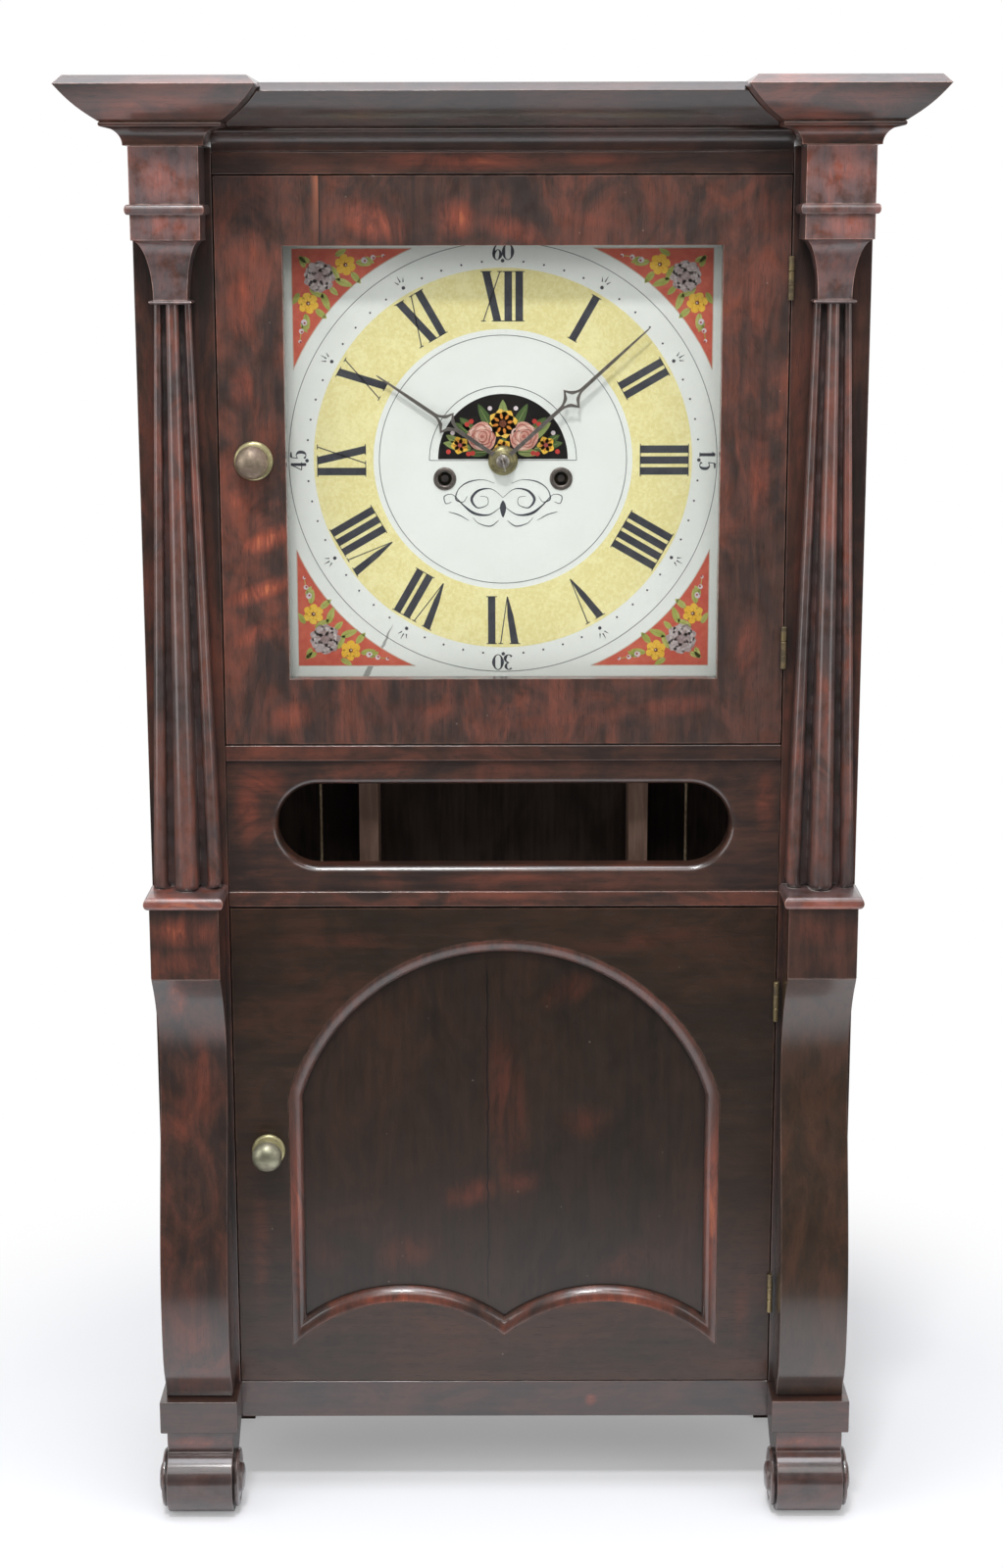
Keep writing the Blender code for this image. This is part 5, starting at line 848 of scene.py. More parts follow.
def make_boards():
    """The straight boards of the front, each with slightly rounded arrises."""
    for name, side in SIDES:
        material = wood("wood_stile_" + name, "Z", 0.40, 1.2, 101 + side, STILE_SPOTS[name])
        x = sorted((side * STILE_INNER_X, side * CASE_HALF_WIDTH))
        case_piece("stile_" + name, box(x, FRAME_Y, (PLINTH_Z, CORNICE_Z - GAP)), material, "front_stile_" + name,
                   arris=0.5)
    middle_height = MIDDLE_RAIL_HEIGHT - GAP
    for name, low, high, redness, lightness, spots in (
        ("top_rail", TOP_RAIL_Z, CORNICE_CENTRE_Z - GAP, 0.12, 1.7,
         ((-30, 971, 60, 7, 0, 0.8), (60, 972, 40, 5, 0, 0.4))),
        ("base_rail", PLINTH_Z - 3, SCROLL_Z, 0.25, 0.95, ((64, 76, 5, 5, 40, 0.9),)),
        ("lower_middle_rail", LOWER_RAIL_Z + GAP, LOWER_RAIL_Z + middle_height, 0.6, 1.7, ()),
        ("upper_middle_rail", FIELD_TOP_Z + GAP, FIELD_TOP_Z + middle_height, 0.5, 1.5, ()),
    ):
        material = wood("wood_" + name, "X", redness, lightness, 110 + low * MM * 30, spots, wear=0.8)
        case_piece(name, box((-RAIL_HALF_WIDTH, RAIL_HALF_WIDTH), FRAME_Y, (low, high)), material, arris=0.6)


def stadium(half_width, half_height, steps=36):
    middle = (FIELD_Z + FIELD_TOP_Z) / 2
    straight = half_width - half_height
    right = arc((straight, middle), half_height, -90, 90, steps)
    left = arc((-straight, middle), half_height, 90, 270, steps)
    return right + left


def make_field():
    """The fixed field with its long opening; the opening's lip is rolled over."""
    front = FRONT_Y + 3
    thickness = 15
    lip, splay = 5.5, 2.75
    # (depth, growth) of the opening through the board
    section = [(-2, splay + 1.2)] + arc((lip, splay), lip, 180, 270, 12) + [(thickness + 2, -splay)]
    rings = []
    for depth, grow in section:
        outline = stadium(OPENING_HALF_WIDTH + grow, OPENING_HALF_HEIGHT + grow)
        rings.append([(x, front + depth, z) for x, z in outline])
    board = box((-RAIL_HALF_WIDTH, RAIL_HALF_WIDTH), (front, front + thickness), (FIELD_Z, FIELD_TOP_Z))
    spots = ((-181, 527, 10, 30, 0, 0.6), (-172, 545, 20, 10, 0, 0.7), (185, 530, 8, 22, 0, 0.5),
             (0, 474, 60, 5, 0, 0.4))
    material = wood("wood_field", "X", 0.40, 1.45, 130, spots, wear=0.25)
    flatten(case_piece("opening_panel", carve(board, [loft(rings)]), material, sharp=40))


def brass_hinges(name, body, node, knuckles, leaf_x, heights, material):
    """Leaves let into an edge, with turned knuckles."""
    radius, edge, play = 2.0, 0.3, 0.175
    leaf_y = (FRONT_Y + 0.1, FRONT_Y + 14)
    bm = bmesh.new()
    for low in heights:
        box(leaf_x, leaf_y, (low, low + HINGE_LENGTH), bm)
        for start, end in knuckles:
            foot = low + HINGE_LENGTH * start + play
            head = low + HINGE_LENGTH * end - play
            profile = [(0, foot), (radius - edge, foot), (radius, foot + edge)]
            profile += [(radius, head - edge), (radius - edge, head), (0, head)]
            lathe(profile, (HINGE_X, HINGE_Y, 0), "Z", 24, bm)
            box(leaf_x, (HINGE_Y, FRONT_Y + 1), (foot, head), bm)
    new_piece(name, bm, body, material, "brass", [node], sharp=40)


def make_hinges():
    """Two hinges to a door, whose ends are on the case and whose middle knuckle is on the door."""
    upper, lower = [
        [high - inset - HINGE_LENGTH / 2, low + inset - HINGE_LENGTH / 2]
        for low, high, inset in ((UPPER_DOOR_Z, UPPER_DOOR_TOP_Z, UPPER_HINGE_INSET),
                                 (LOWER_DOOR_Z, LOWER_DOOR_TOP_Z, LOWER_HINGE_INSET))
    ]
    ends = [(0.0, 0.34), (0.66, 1.0)]
    middle = [(0.34, 0.66)]
    material = metal("hinge_brass", (0.36, 0.28, 0.15), (0.10, 0.075, 0.045), 0.42, seed=2)
    case_x = (STILE_INNER_X - 0.15, STILE_INNER_X + 1)
    door_x = (DOOR_HALF_WIDTH - 1, DOOR_HALF_WIDTH + 0.15)
    brass_hinges("hinges_case", "case", "front_stile_right", ends, case_x, upper + lower, material)
    brass_hinges("hinges_upper_door", "upper_door", "upper_door_frame", middle, door_x, upper, material)
    brass_hinges("hinges_lower_door", "lower_door", "lower_door_frame", middle, door_x, lower, material)


UPPER_DOOR_SPOTS = (
    (-177, 878, 12, 26, 0, 0.95), (-178, 820, 9, 16, 0, 0.8), (-165, 716, 26, 9, 22, 1.0),
    (-170, 680, 30, 8, 20, 0.95), (-174, 650, 24, 9, 24, 0.75), (-184, 745, 8, 12, 0, 0.7),
    (-88, 931, 26, 14, -20, 0.9), (-32, 934, 14, 14, -25, 0.8), (10, 925, 30, 9, -15, 0.5),
    (60, 932, 26, 8, -10, 0.35), (-60, 596, 60, 9, 8, 0.3), (40, 590, 60, 8, 6, 0.35), (120, 600, 30, 8, 6, 0.35),
    (172, 880, 8, 30, 0, 0.5), (176, 760, 8, 40, 0, 0.55), (170, 640, 10, 30, 0, 0.5), (-150, 592, 20, 12, 20, 0.6),
)
LOWER_DOOR_SPOTS = ((-178, 200, 8, 60, 0, 0.3), (100, 430, 60, 8, 8, 0.25), (175, 150, 8, 40, 0, 0.3),
                    (-120, 430, 50, 8, 0, 0.25))
PANEL_SPOTS = (
    (2, 300, 16, 70, 4, 0.5), (45, 390, 22, 12, 30, 0.5), (-24, 236, 22, 12, 20, 0.75), (10, 245, 16, 12, 0, 0.7),
    (60, 290, 20, 14, 0, 0.35), (-70, 190, 26, 16, 20, 0.4), (-132, 185, 14, 14, 0, 0.5), (90, 180, 26, 14, 20, 0.3),
)
MOULDING_SPOTS = ((-152, 230, 8, 80, 0, 0.8), (152, 230, 8, 80, 0, 0.8), (-80, 152, 50, 12, 0, 0.9),
                  (80, 152, 50, 12, 0, 0.9))
DOOR_X = (-DOOR_HALF_WIDTH, DOOR_HALF_WIDTH)
MOULDING_HALF_WIDTH = 156.0
ARCH_RADIUS = 162.7
ARCH_MARGIN = 23.5
PANEL_DEPTH = 7.5


def spindle_hole(z):
    """A cutter for a knob's spindle."""
    return lathe([(0, -2), (2.85, -2), (2.85, 20), (0, 20)], (KNOB_X, FRONT_Y, z), "Y", 32)


def make_upper_door():
    half, top, low = 149.0, 915.6, 619.0
    lap = 6
    board = box(DOOR_X, FRAME_Y, (UPPER_DOOR_Z, UPPER_DOOR_TOP_Z))
    opening = box((-half, half), (FRONT_Y - 2, FRONT_BACK_Y + 2), (low, top))
    rebate = box((-half - lap, half + lap), (FRONT_BACK_Y - lap, FRONT_BACK_Y + 4), (low - lap, top + lap))
    material = wood("wood_upper_door", "Z", 0.50, 1.92, 140, UPPER_DOOR_SPOTS, extra=jointed, wear=0.4, specks=0.25,
                    painted_sheen=0.020)
    bm = carve(board, [opening, rebate, spindle_hole(UPPER_KNOB_Z)])
    new_piece("upper_door", bm, "upper_door", material, "mahogany", ["upper_door_frame"], arris=0.5)


def arched_outline(inset):
    """Arch, upright sides and two scallops, drawn in by the inset."""
    half = MOULDING_HALF_WIDTH - inset
    arch_radius = ARCH_RADIUS - inset
    arch_z = LOWER_DOOR_TOP_Z - ARCH_MARGIN - ARCH_RADIUS
    scallop_x = 73.7
    scallop_z = LOWER_DOOR_Z - 52.9
    scallop_radius = 114.7 + inset
    spring = math.degrees(math.acos(half / arch_radius))
    corner = math.degrees(math.acos((half - scallop_x) / scallop_radius))
    cusp = math.degrees(math.acos(-scallop_x / scallop_radius))
    arch = arc((0, arch_z), arch_radius, spring, 180 - spring, 64)
    left = arc((-scallop_x, scallop_z), scallop_radius, 180 - corner, 180 - cusp, 32)
    right = arc((scallop_x, scallop_z), scallop_radius, cusp, corner, 32)
    return arch + left + right[1:]


def make_lower_door():
    outline = arched_outline(0)
    lap = 8
    half = MOULDING_HALF_WIDTH + lap
    low = min(z for _, z in outline) - lap
    high = max(z for _, z in outline) + lap
    panel_y = FRONT_Y + PANEL_DEPTH
    board = box(DOOR_X, FRAME_Y, (LOWER_DOOR_Z, LOWER_DOOR_TOP_Z))
    opening = prism(outline, "Y", FRONT_Y - 2, FRONT_BACK_Y + 2)
    recess = box((-half, half), (panel_y, FRONT_BACK_Y + 4), (low, high))
    material = wood("wood_lower_door", "X", 0.16, 0.95, 150, LOWER_DOOR_SPOTS, specks=0.5, wear=0.5, tones=OLIVE,
                    coat=0.25)
    bm = carve(board, [opening, recess, spindle_hole(LOWER_KNOB_Z)])
    flatten(new_piece("lower_door", bm, "lower_door", material, "mahogany", ["lower_door_frame"], sharp=40))
    board = box((GAP - half, half - GAP), (panel_y + GAP, panel_y + 6), (low + GAP, high - GAP))
    material = wood("wood_panel", "Z", 0.10, 0.74, 155, PANEL_SPOTS, specks=0.6, extra=crackled, tones=OLIVE,
                    coat=0.25)
    new_piece("lower_panel", board, "lower_door", material, "mahogany", ["lower_door_panel"], arris=0.3)
    rings = []
    for step in range(13):
        angle = math.pi / 2 * step / 12
        y = FRONT_Y + PANEL_DEPTH * (1 - math.cos(angle))
        rings.append([(x, y, z) for x, z in arched_outline(GAP + (10 - GAP) * math.sin(angle))])
    rings.append([(x, panel_y, z) for x, z in arched_outline(GAP)])
    material = wood("wood_moulding", "Z", 0.7, 1.5, 160, MOULDING_SPOTS, wear=0.2)
    moulding = loft(rings, closed=True)
    new_piece("arched_moulding", moulding, "lower_door", material, "mahogany", ["lower_door_moulding"], sharp=40)


def make_knobs():
    """Domed brass knobs on a moulded ring, each with a spindle to its latch behind the door."""
    upper = metal("knob_brass_upper", (0.42, 0.34, 0.25), (0.22, 0.16, 0.12), 0.42, scale=90, seed=5, wear=0.2)
    lower = metal("knob_brass_lower", (0.42, 0.41, 0.29), (0.24, 0.22, 0.16), 0.40, scale=90, seed=8, wear=0.2)
    ring_brass = metal("knob_ring_brass", (0.60, 0.54, 0.30), (0.34, 0.30, 0.15), 0.34, scale=120, seed=9)
    top, dome_depth = -22.0, 7.5
    for node, z, ring_radius, dome_radius, finish in (
        ("upper_door_knob", UPPER_KNOB_Z, 13.4, 11.3, upper),
        ("lower_door_knob", LOWER_KNOB_Z, 12.1, 10.8, lower),
    ):
        dome = [(0, top)]
        for step in range(1, 17):
            angle = math.pi / 2 * step / 16
            dome.append((dome_radius * math.sin(angle) ** 0.92, top + dome_depth * (1 - math.cos(angle))))
        dome += [(dome_radius, -12.6), (dome_radius - 0.5, -11.7), (dome_radius - 1.5, -11.0), (7.0, -9.6),
                 (5.5, -8.6), (5.3, -6.0), (5.8, -4.2), (2.5, -3.0), (2.5, 20.8), (0, 20.8)]
        ring = [(0, -3.9), (2.6, -3.9), (5.9, -4.1), (7.5, -3.4), (ring_radius * 0.72, -2.9), (ring_radius - 1.6, -2.9),
                (ring_radius - 0.5, -2.3), (ring_radius, -1.5), (ring_radius, -0.3), (2.6, -0.3), (0, -0.3)]
        centre = (KNOB_X, FRONT_Y, z)
        latch = box((KNOB_X - 4.5, KNOB_X + 4.5), (FRONT_Y + 18.3, FRONT_Y + 20.8), (z - 31, z + 4.5))
        new_piece(node + "_dome", lathe(dome, centre), node, finish, "brass", [node], sharp=50)
        new_piece(node + "_ring", lathe(ring, centre), node, ring_brass, "brass", [node], sharp=50)
        new_piece(node + "_latch", latch, node, ring_brass, "brass", [node], arris=0.6)


# Dial, in mm from its centre. Paint lies in plates of one colour each, on these levels in front of the board.

UNDER = -0.05
LEVEL = [0.05 * step for step in range(1, 8)]

# Sizes on the dial, mostly radii from the middle outwards
LUNETTE_GROUND_RADIUS = 45.2
LUNETTE_RADIUS = 51.3
INNER_CIRCLE_RADIUS = 86.2
CHAPTER_INNER_RADIUS = 90.3
NUMERAL_FOOT = 95.8
NUMERAL_HEAD = 129.3
CHAPTER_OUTER_RADIUS = 131.9
DOT_RADIUS = 136.6
MARK_RADIUS = 138.6
OUTER_CIRCLE_RADIUS = 149.2
SPANDREL_RADIUS = 157.9
SPANDREL_HALF_WIDTH = 145.0


def on_dial(u, v, lift):
    return (u, DIAL_Y - lift, DIAL_Z + v)


def patch(bm, outline, lift):
    """A thin closed plate of paint with this outline."""
    loft([[on_dial(u, v, level) for u, v in outline] for level in (UNDER, lift)], bm=bm)


def ribbon(bm, points, widths, lift, closed=False):
    """A pen stroke along points, as a thin closed plate whose width may change."""
    count = len(points)
    if not isinstance(widths, (list, tuple)):
        widths = [widths] * count
    rings = []
    for index, (u, v) in enumerate(points):
        before = points[index - 1] if index or closed else points[index]
        after = points[(index + 1) % count] if index < count - 1 or closed else points[index]
        run = math.hypot(after[0] - before[0], after[1] - before[1]) or 1.0
        across = (-(after[1] - before[1]) / run, (after[0] - before[0]) / run)
        half = max(widths[index], 0.08) / 2
        left = (u + across[0] * half, v + across[1] * half)
        right = (u - across[0] * half, v - across[1] * half)
        rings.append([on_dial(*left, lift), on_dial(*right, lift), on_dial(*right, UNDER), on_dial(*left, UNDER)])
    loft(rings, closed=closed, bm=bm)


def smooth_path(knots, steps=8, closed=False):
    """A Catmull-Rom curve through knots of any dimension."""
    count = len(knots)
    points = []
    for index in range(count if closed else count - 1):
        if closed:
            around = [knots[(index + offset) % count] for offset in (-1, 0, 1, 2)]
        else:
            around = [knots[min(max(index + offset, 0), count - 1)] for offset in (-1, 0, 1, 2)]
        for step in range(steps):
            t = step / steps
            points.append(tuple(
                0.5 * (2 * b + (c - a) * t + (2 * a - 5 * b + 4 * c - d) * t * t + (3 * b - a - 3 * c + d) * t ** 3)
                for a, b, c, d in zip(*around)
            ))
    if not closed:
        points.append(knots[-1])
    return points


def pen(bm, knots, widths, lift, steps=6, closed=False):
    """A stroke whose path and width run smoothly through the knots."""
    drawn = smooth_path([(*knot, width) for knot, width in zip(knots, widths)], steps, closed)
    ribbon(bm, [point[:2] for point in drawn], [point[2] for point in drawn], lift, closed)


def turned(points, degrees, radius=0.0):
    """Turn local (across, outward) points clockwise about the dial's centre."""
    sin, cos = math.sin(math.radians(degrees)), math.cos(math.radians(degrees))
    return [(u * cos + (v + radius) * sin, -u * sin + (v + radius) * cos) for u, v in points]


NUMERALS = ["XII", "I", "II", "III", "IIII", "V", "VI", "VII", "VIII", "IX", "X", "XI"]
STROKE_WIDTH = {"I": 5.4, "V": 14.0, "X": 13.0}
LETTER_SPACE = 2.2


def letter_strokes(letter, left):
    """(foot, foot width, head, head width) of each stroke of a letter that starts at left."""
    right = left + STROKE_WIDTH[letter]
    middle = (left + right) / 2
    if letter == "I":
        return [(middle, 5.2, middle, 5.2)]
    if letter == "X":
        return [(right - 2.6, 5.4, left + 2.6, 5.4), (left + 0.8, 0.8, right - 0.8, 0.8)]
    return [(middle + 0.8, 0.7, left + 2.6, 5.4), (middle + 0.9, 0.6, right - 1.4, 0.8)]


def make_numerals(bm, lift):
    """Roman numerals with their feet to the centre: thick strokes, hairline strokes and long thin serifs."""
    low, high = NUMERAL_FOOT, NUMERAL_HEAD
    waist_share, waist_half = 0.40, 2.1
    for hour, numeral in enumerate(NUMERALS):
        left = -(sum(STROKE_WIDTH[letter] for letter in numeral) + LETTER_SPACE * (len(numeral) - 1)) / 2
        for letter in numeral:
            for foot, foot_width, head, head_width in letter_strokes(letter, left):
                outline = [(foot - foot_width / 2, low), (foot + foot_width / 2, low)]
                outline += [(head + head_width / 2, high), (head - head_width / 2, high)]
                if letter == "V" and head_width > 2:
                    waist, level = foot + (head - foot) * waist_share, low + (high - low) * waist_share
                    outline.insert(2, (waist + waist_half, level))
                    outline.append((waist - waist_half, level))
                patch(bm, turned(outline, 30 * hour), lift)
                for x, width, level in ((foot, foot_width, low), (head, head_width, high)):
                    if letter == "V" and level == low:
                        continue
                    reach = max(width / 2 + 1.1, 1.7)
                    ribbon(bm, turned([(x - reach, level), (x + reach, level)], 30 * hour), 0.65, lift)
            left += STROKE_WIDTH[letter] + LETTER_SPACE


# Strokes of each figure, as shares of its height: knots, widths and whether it is closed
DIGITS = {
    "0": [([(0.0, 1.0), (-0.30, 0.86), (-0.42, 0.5), (-0.30, 0.14), (0.0, 0.0), (0.30, 0.14), (0.42, 0.5),
            (0.30, 0.86)], [0.06, 0.12, 0.26, 0.12, 0.06, 0.12, 0.26, 0.12], True)],
    "1": [([(0.0, 0.0), (0.0, 1.0)], [0.24, 0.24], False), ([(-0.24, 0.80), (-0.02, 1.0)], [0.06, 0.10], False),
          ([(-0.22, 0.0), (0.22, 0.0)], [0.06, 0.06], False)],
    "3": [([(-0.30, 0.90), (0.0, 1.0), (0.26, 0.82), (0.16, 0.60), (-0.06, 0.54)],
           [0.16, 0.06, 0.20, 0.12, 0.05], False),
          ([(-0.06, 0.54), (0.26, 0.42), (0.30, 0.18), (0.0, 0.0), (-0.32, 0.12)],
           [0.05, 0.14, 0.24, 0.06, 0.18], False)],
    "4": [([(0.12, 1.0), (-0.38, 0.30)], [0.07, 0.07], False), ([(-0.38, 0.30), (0.36, 0.30)], [0.07, 0.07], False),
          ([(0.14, 0.0), (0.14, 1.0)], [0.22, 0.22], False)],
    "5": [([(-0.18, 0.98), (0.30, 0.98)], [0.18, 0.10], False), ([(-0.20, 0.98), (-0.26, 0.56)], [0.07, 0.07], False),
          ([(-0.26, 0.56), (0.04, 0.64), (0.30, 0.46), (0.26, 0.14), (0.0, 0.0), (-0.30, 0.12)],
           [0.06, 0.08, 0.22, 0.20, 0.06, 0.18], False)],
    "6": [([(0.26, 0.94), (0.02, 0.98), (-0.26, 0.72), (-0.34, 0.36)], [0.16, 0.07, 0.14, 0.24], False),
          ([(0.0, 0.62), (-0.32, 0.34), (-0.20, 0.06), (0.06, 0.0), (0.32, 0.28), (0.22, 0.56)],
           [0.06, 0.22, 0.10, 0.06, 0.24, 0.12], True)],
}
DIGIT_HEIGHT = 10.7
DIGIT_NARROWING = 0.68
DIGIT_THINNING = 0.85
DIGIT_OFFSET = 3.7
DIGIT_RADIUS = 142.6


def make_digits(bm, text, degrees, lift):
    """Two pen-drawn figures either side of the hour's dot, with their feet to the centre."""
    for figure, offset in zip(text, (-DIGIT_OFFSET, DIGIT_OFFSET)):
        for knots, widths, closed in DIGITS[figure]:
            local = [(x * DIGIT_NARROWING * DIGIT_HEIGHT + offset, (z - 0.5) * DIGIT_HEIGHT) for x, z in knots]
            thick = [width * DIGIT_THINNING * DIGIT_HEIGHT for width in widths]
            pen(bm, turned(local, degrees, DIGIT_RADIUS), thick, lift, 6, closed)


def make_track(bm, lift):
    """Fine circles, minute dots, hour dots, quarter figures and a three-stroke mark outside each other hour."""
    ribbon(bm, circle(INNER_CIRCLE_RADIUS), 0.42, lift, True)
    ribbon(bm, circle(OUTER_CIRCLE_RADIUS), 0.40, lift, True)
    for minute in range(60):
        dot = 1.25 if minute % 5 == 0 else 0.72
        patch(bm, circle(dot, 16, turned([(0, 0)], 6 * minute, DOT_RADIUS)[0]), lift)
        if minute % 15 == 0:
            make_digits(bm, str(minute or 60), 6 * minute, lift)
        elif minute % 5 == 0:
            for lean, apart, length in ((-30, -0.9, 5.0), (0, 0.0, 6.6), (30, 0.9, 5.0)):
                ends = [polar((apart, 0), 90 - lean, reach) for reach in (0.35 * length, length)]
                ribbon(bm, turned(ends, 6 * minute, MARK_RADIUS), [0.95, 0.25], lift)


def make_flourish(bm, lift):
    """A symmetrical pen flourish under the hands, with no lettering."""
    curls = [
        ([(0, -26), (8, -20), (17, -21), (22, -27), (18, -33), (11, -31), (11, -26), (16, -25)],
         [0.3, 0.5, 1.5, 1.9, 0.9, 0.5, 0.4, 0.3]),
        ([(2, -33), (10, -38), (20, -37), (28, -31), (35, -24), (41, -25), (40, -30), (36, -29)],
         [0.3, 0.9, 1.9, 1.0, 0.4, 0.7, 0.6, 0.3]),
        ([(6, -16), (14, -13.5), (24, -15), (31, -20), (33, -27), (28, -29), (25, -25)],
         [0.3, 0.4, 0.9, 0.6, 0.9, 0.5, 0.3]),
        ([(3, -42), (9, -46), (17, -44), (21, -40)], [0.3, 0.8, 0.5, 0.3]),
        ([(24, -42), (31, -38), (38, -36)], [0.3, 0.7, 0.3]),
    ]
    for knots, widths in curls:
        for side in (1, -1):
            pen(bm, [(side * u, v) for u, v in knots], widths, lift, 10)
    patch(bm, smooth_path([(0, -28), (2.2, -33), (0, -40), (-2.2, -33)], 8, True), lift)


def petal_outline(centre, bearing, length, width, steps=9):
    """A pointed oval that grows from the centre along a bearing."""
    left, right = [], []
    for step in range(steps + 1):
        share = step / steps
        half = width / 2 * math.sin(math.pi * share ** 0.8) ** 0.7 if 0 < share < 1 else 0.06
        middle = polar(centre, bearing, length * share)
        left.append(polar(middle, bearing + 90, half))
        right.append(polar(middle, bearing - 90, half))
    return left + right[::-1]


class Artwork:
    """Paint plates sorted by colour, each colour a mesh of its own. Place maps a motif's points onto the dial."""

    def __init__(self):
        self.layers = {}
        self.place = lambda point: point

    def layer(self, colour):
        return self.layers.setdefault(colour, bmesh.new())

    def petal(self, colour, centre, bearing, length, width, level):
        outline = petal_outline(centre, bearing, length, width)
        patch(self.layer(colour), [self.place(point) for point in outline], LEVEL[level])

    def disc(self, colour, centre, radius, level, steps, wobble=0.0):
        outline = []
        for step in range(steps):
            angle = math.tau * step / steps
            ripple = math.sin(3 * angle + centre[0]) + 0.6 * math.sin(5 * angle)
            outline.append(self.place(polar(centre, math.degrees(angle), radius * (1 + wobble * ripple))))
        patch(self.layer(colour), outline, LEVEL[level])

    def stroke(self, colour, knots, widths, level):
        pen(self.layer(colour), [self.place(knot) for knot in knots], widths, LEVEL[level])

    def leaf(self, colour, rib, centre, bearing, length, width, rib_length, rib_width):
        self.petal(colour, centre, bearing, length, width, 1)
        self.stroke(rib, [centre, polar(centre, bearing, rib_length)], [rib_width, 0.2], 2)


def blossom(art, colour, shade, heart, centre, radius, petals, start):
    """An open flower: petals with a darker stroke on each, and a heart."""
    for index in range(petals):
        bearing = start + 360 * index / petals
        art.petal(colour, centre, bearing, radius, radius * 0.95, 2)
        art.petal(shade, polar(centre, bearing, radius * 0.30), bearing, radius * 0.42, radius * 0.20, 3)
    art.disc(heart, centre, radius * 0.24, 4, 14)


def plain_blossom(art, centre, radius, start):
    """A yellow flower of six round petals, each edged by a short orange stroke, with a small dark eye."""
    for index in range(6):
        bearing = start + 60 * index
        art.disc("yellow", polar(centre, bearing, radius * 0.60), radius * 0.36, 2, 16, 0.06)
        art.stroke("orange", [centre, polar(centre, bearing, radius * 0.52)], [0.5, 0.15], 4)
    art.disc("yellow", centre, radius * 0.55, 3, 18)
    art.disc("heart", centre, radius * 0.19, 5, 12)
    art.disc("speck", (centre[0] + 0.3, centre[1] + 0.2), radius * 0.07, 6, 8)


def faded_rose(art, centre, radius):
    """A worn, many-petalled flower: ragged overlapping petals in close greys."""
    for row, (share, count, colour) in enumerate(((1.0, 9, "mauve"), (0.74, 7, "mauve_light"), (0.50, 5, "mauve"))):
        for index in range(count):
            middle = polar(centre, 360 * index / count + 17 * row, radius * share * 0.62)
            art.disc(colour, middle, radius * (0.40 - 0.03 * row), 2 + row, 18, 0.10)
    art.disc("mauve_dark", centre, radius * 0.30, 5, 18, 0.12)
    for index in range(7):
        bearing = 360 * index / 7 + 40
        ends = [polar(centre, bearing, 0.25 * radius), polar(centre, bearing + math.degrees(0.5), 0.8 * radius)]
        art.stroke("mauve_dark", ends, [0.6, 0.15], 6)


def round_rose(art, base, dark, light, centre, radius):
    """A full rose: a round ground with rows of curved petal strokes."""
    art.disc(base, centre, radius, 2, 32, 0.035)
    for row, share in enumerate((0.86, 0.62, 0.38)):
        count = 7 - 2 * row
        for index in range(count):
            bearing = 360 * index / count + 25 * row
            knots = []
            for step in (-2, -1, 0, 1, 2):
                reach = radius * share * (1 - 0.10 * abs(step))
                knots.append(polar(centre, bearing + step * 150 / count, reach))
            widths = [width * radius / 9 for width in (0.2, 0.75, 1.1, 0.75, 0.2)]
            art.stroke(light if index % 2 else dark, knots, widths, 3)
    art.disc(dark, centre, radius * 0.14, 4, 14)


# (along one edge, along the other, bearing, length, width): each of these leaves is mirrored about the diagonal
CORNER_LEAVES = ((27, 12, 60, 12, 5), (30, 21, 20, 13, 5), (44, 9, 10, 11, 4.5), (41, 16, 50, 10, 4.5),
                 (30, 5, -30, 9, 4), (13, 9, 200, 9, 4), (50, 6, 30, 8, 3.5))


def make_spandrels(art):
    """Painted corners: a faded rose, two yellow flowers, leaves and small buds on a red ground."""
    half, radius = SPANDREL_HALF_WIDTH, SPANDREL_RADIUS
    meet = math.sqrt(radius ** 2 - half ** 2)
    opening = math.degrees(math.atan2(meet, half))
    edge = arc((0, 0), radius, 90 - opening, opening, 28)
    outline = [(half, half), (meet, half)] + edge[1:-1] + [(half, meet)]
    leaves = []
    for a, b, bearing, *size in CORNER_LEAVES:
        leaves += [(a, b, bearing, *size), (b, a, 90 - bearing, *size)]
    leaves.append((26, 26, 45, 8, 4))
    for number, (sx, sz) in enumerate(((1, 1), (-1, 1), (-1, -1), (1, -1))):
        corner = [(sx * u, sz * v) for u, v in outline]
        patch(art.layer("red_ground"), corner, LEVEL[0])
        ribbon(art.layer("pale_line"), corner, 0.7, LEVEL[1], True)
        art.place = lambda point: (sx * (half - point[0]), sz * (half - point[1]))
        for a, b, bearing, length, width in leaves:
            art.leaf("leaf", "leaf_dark", (a, b), bearing, length, width, length * 0.8, 0.5)
        faded_rose(art, (19, 19), 10.6)
        for centre in ((37, 11), (11, 37)):
            plain_blossom(art, centre, 7.6, 10 + number * 9)
        for spray in (((50, 8), (56, 6), (63, 5)), ((8, 50), (6, 56), (5, 63))):
            art.stroke("leaf", spray, [0.7, 0.6, 0.5], 1)
            for index, (a, b) in enumerate(spray):
                art.disc("bud", (a, b), 2.2 - 0.5 * index, 2, 12)
                art.disc("rose_dark", (a + 0.4, b + 0.4), 0.8, 3, 8)
    art.place = lambda point: point


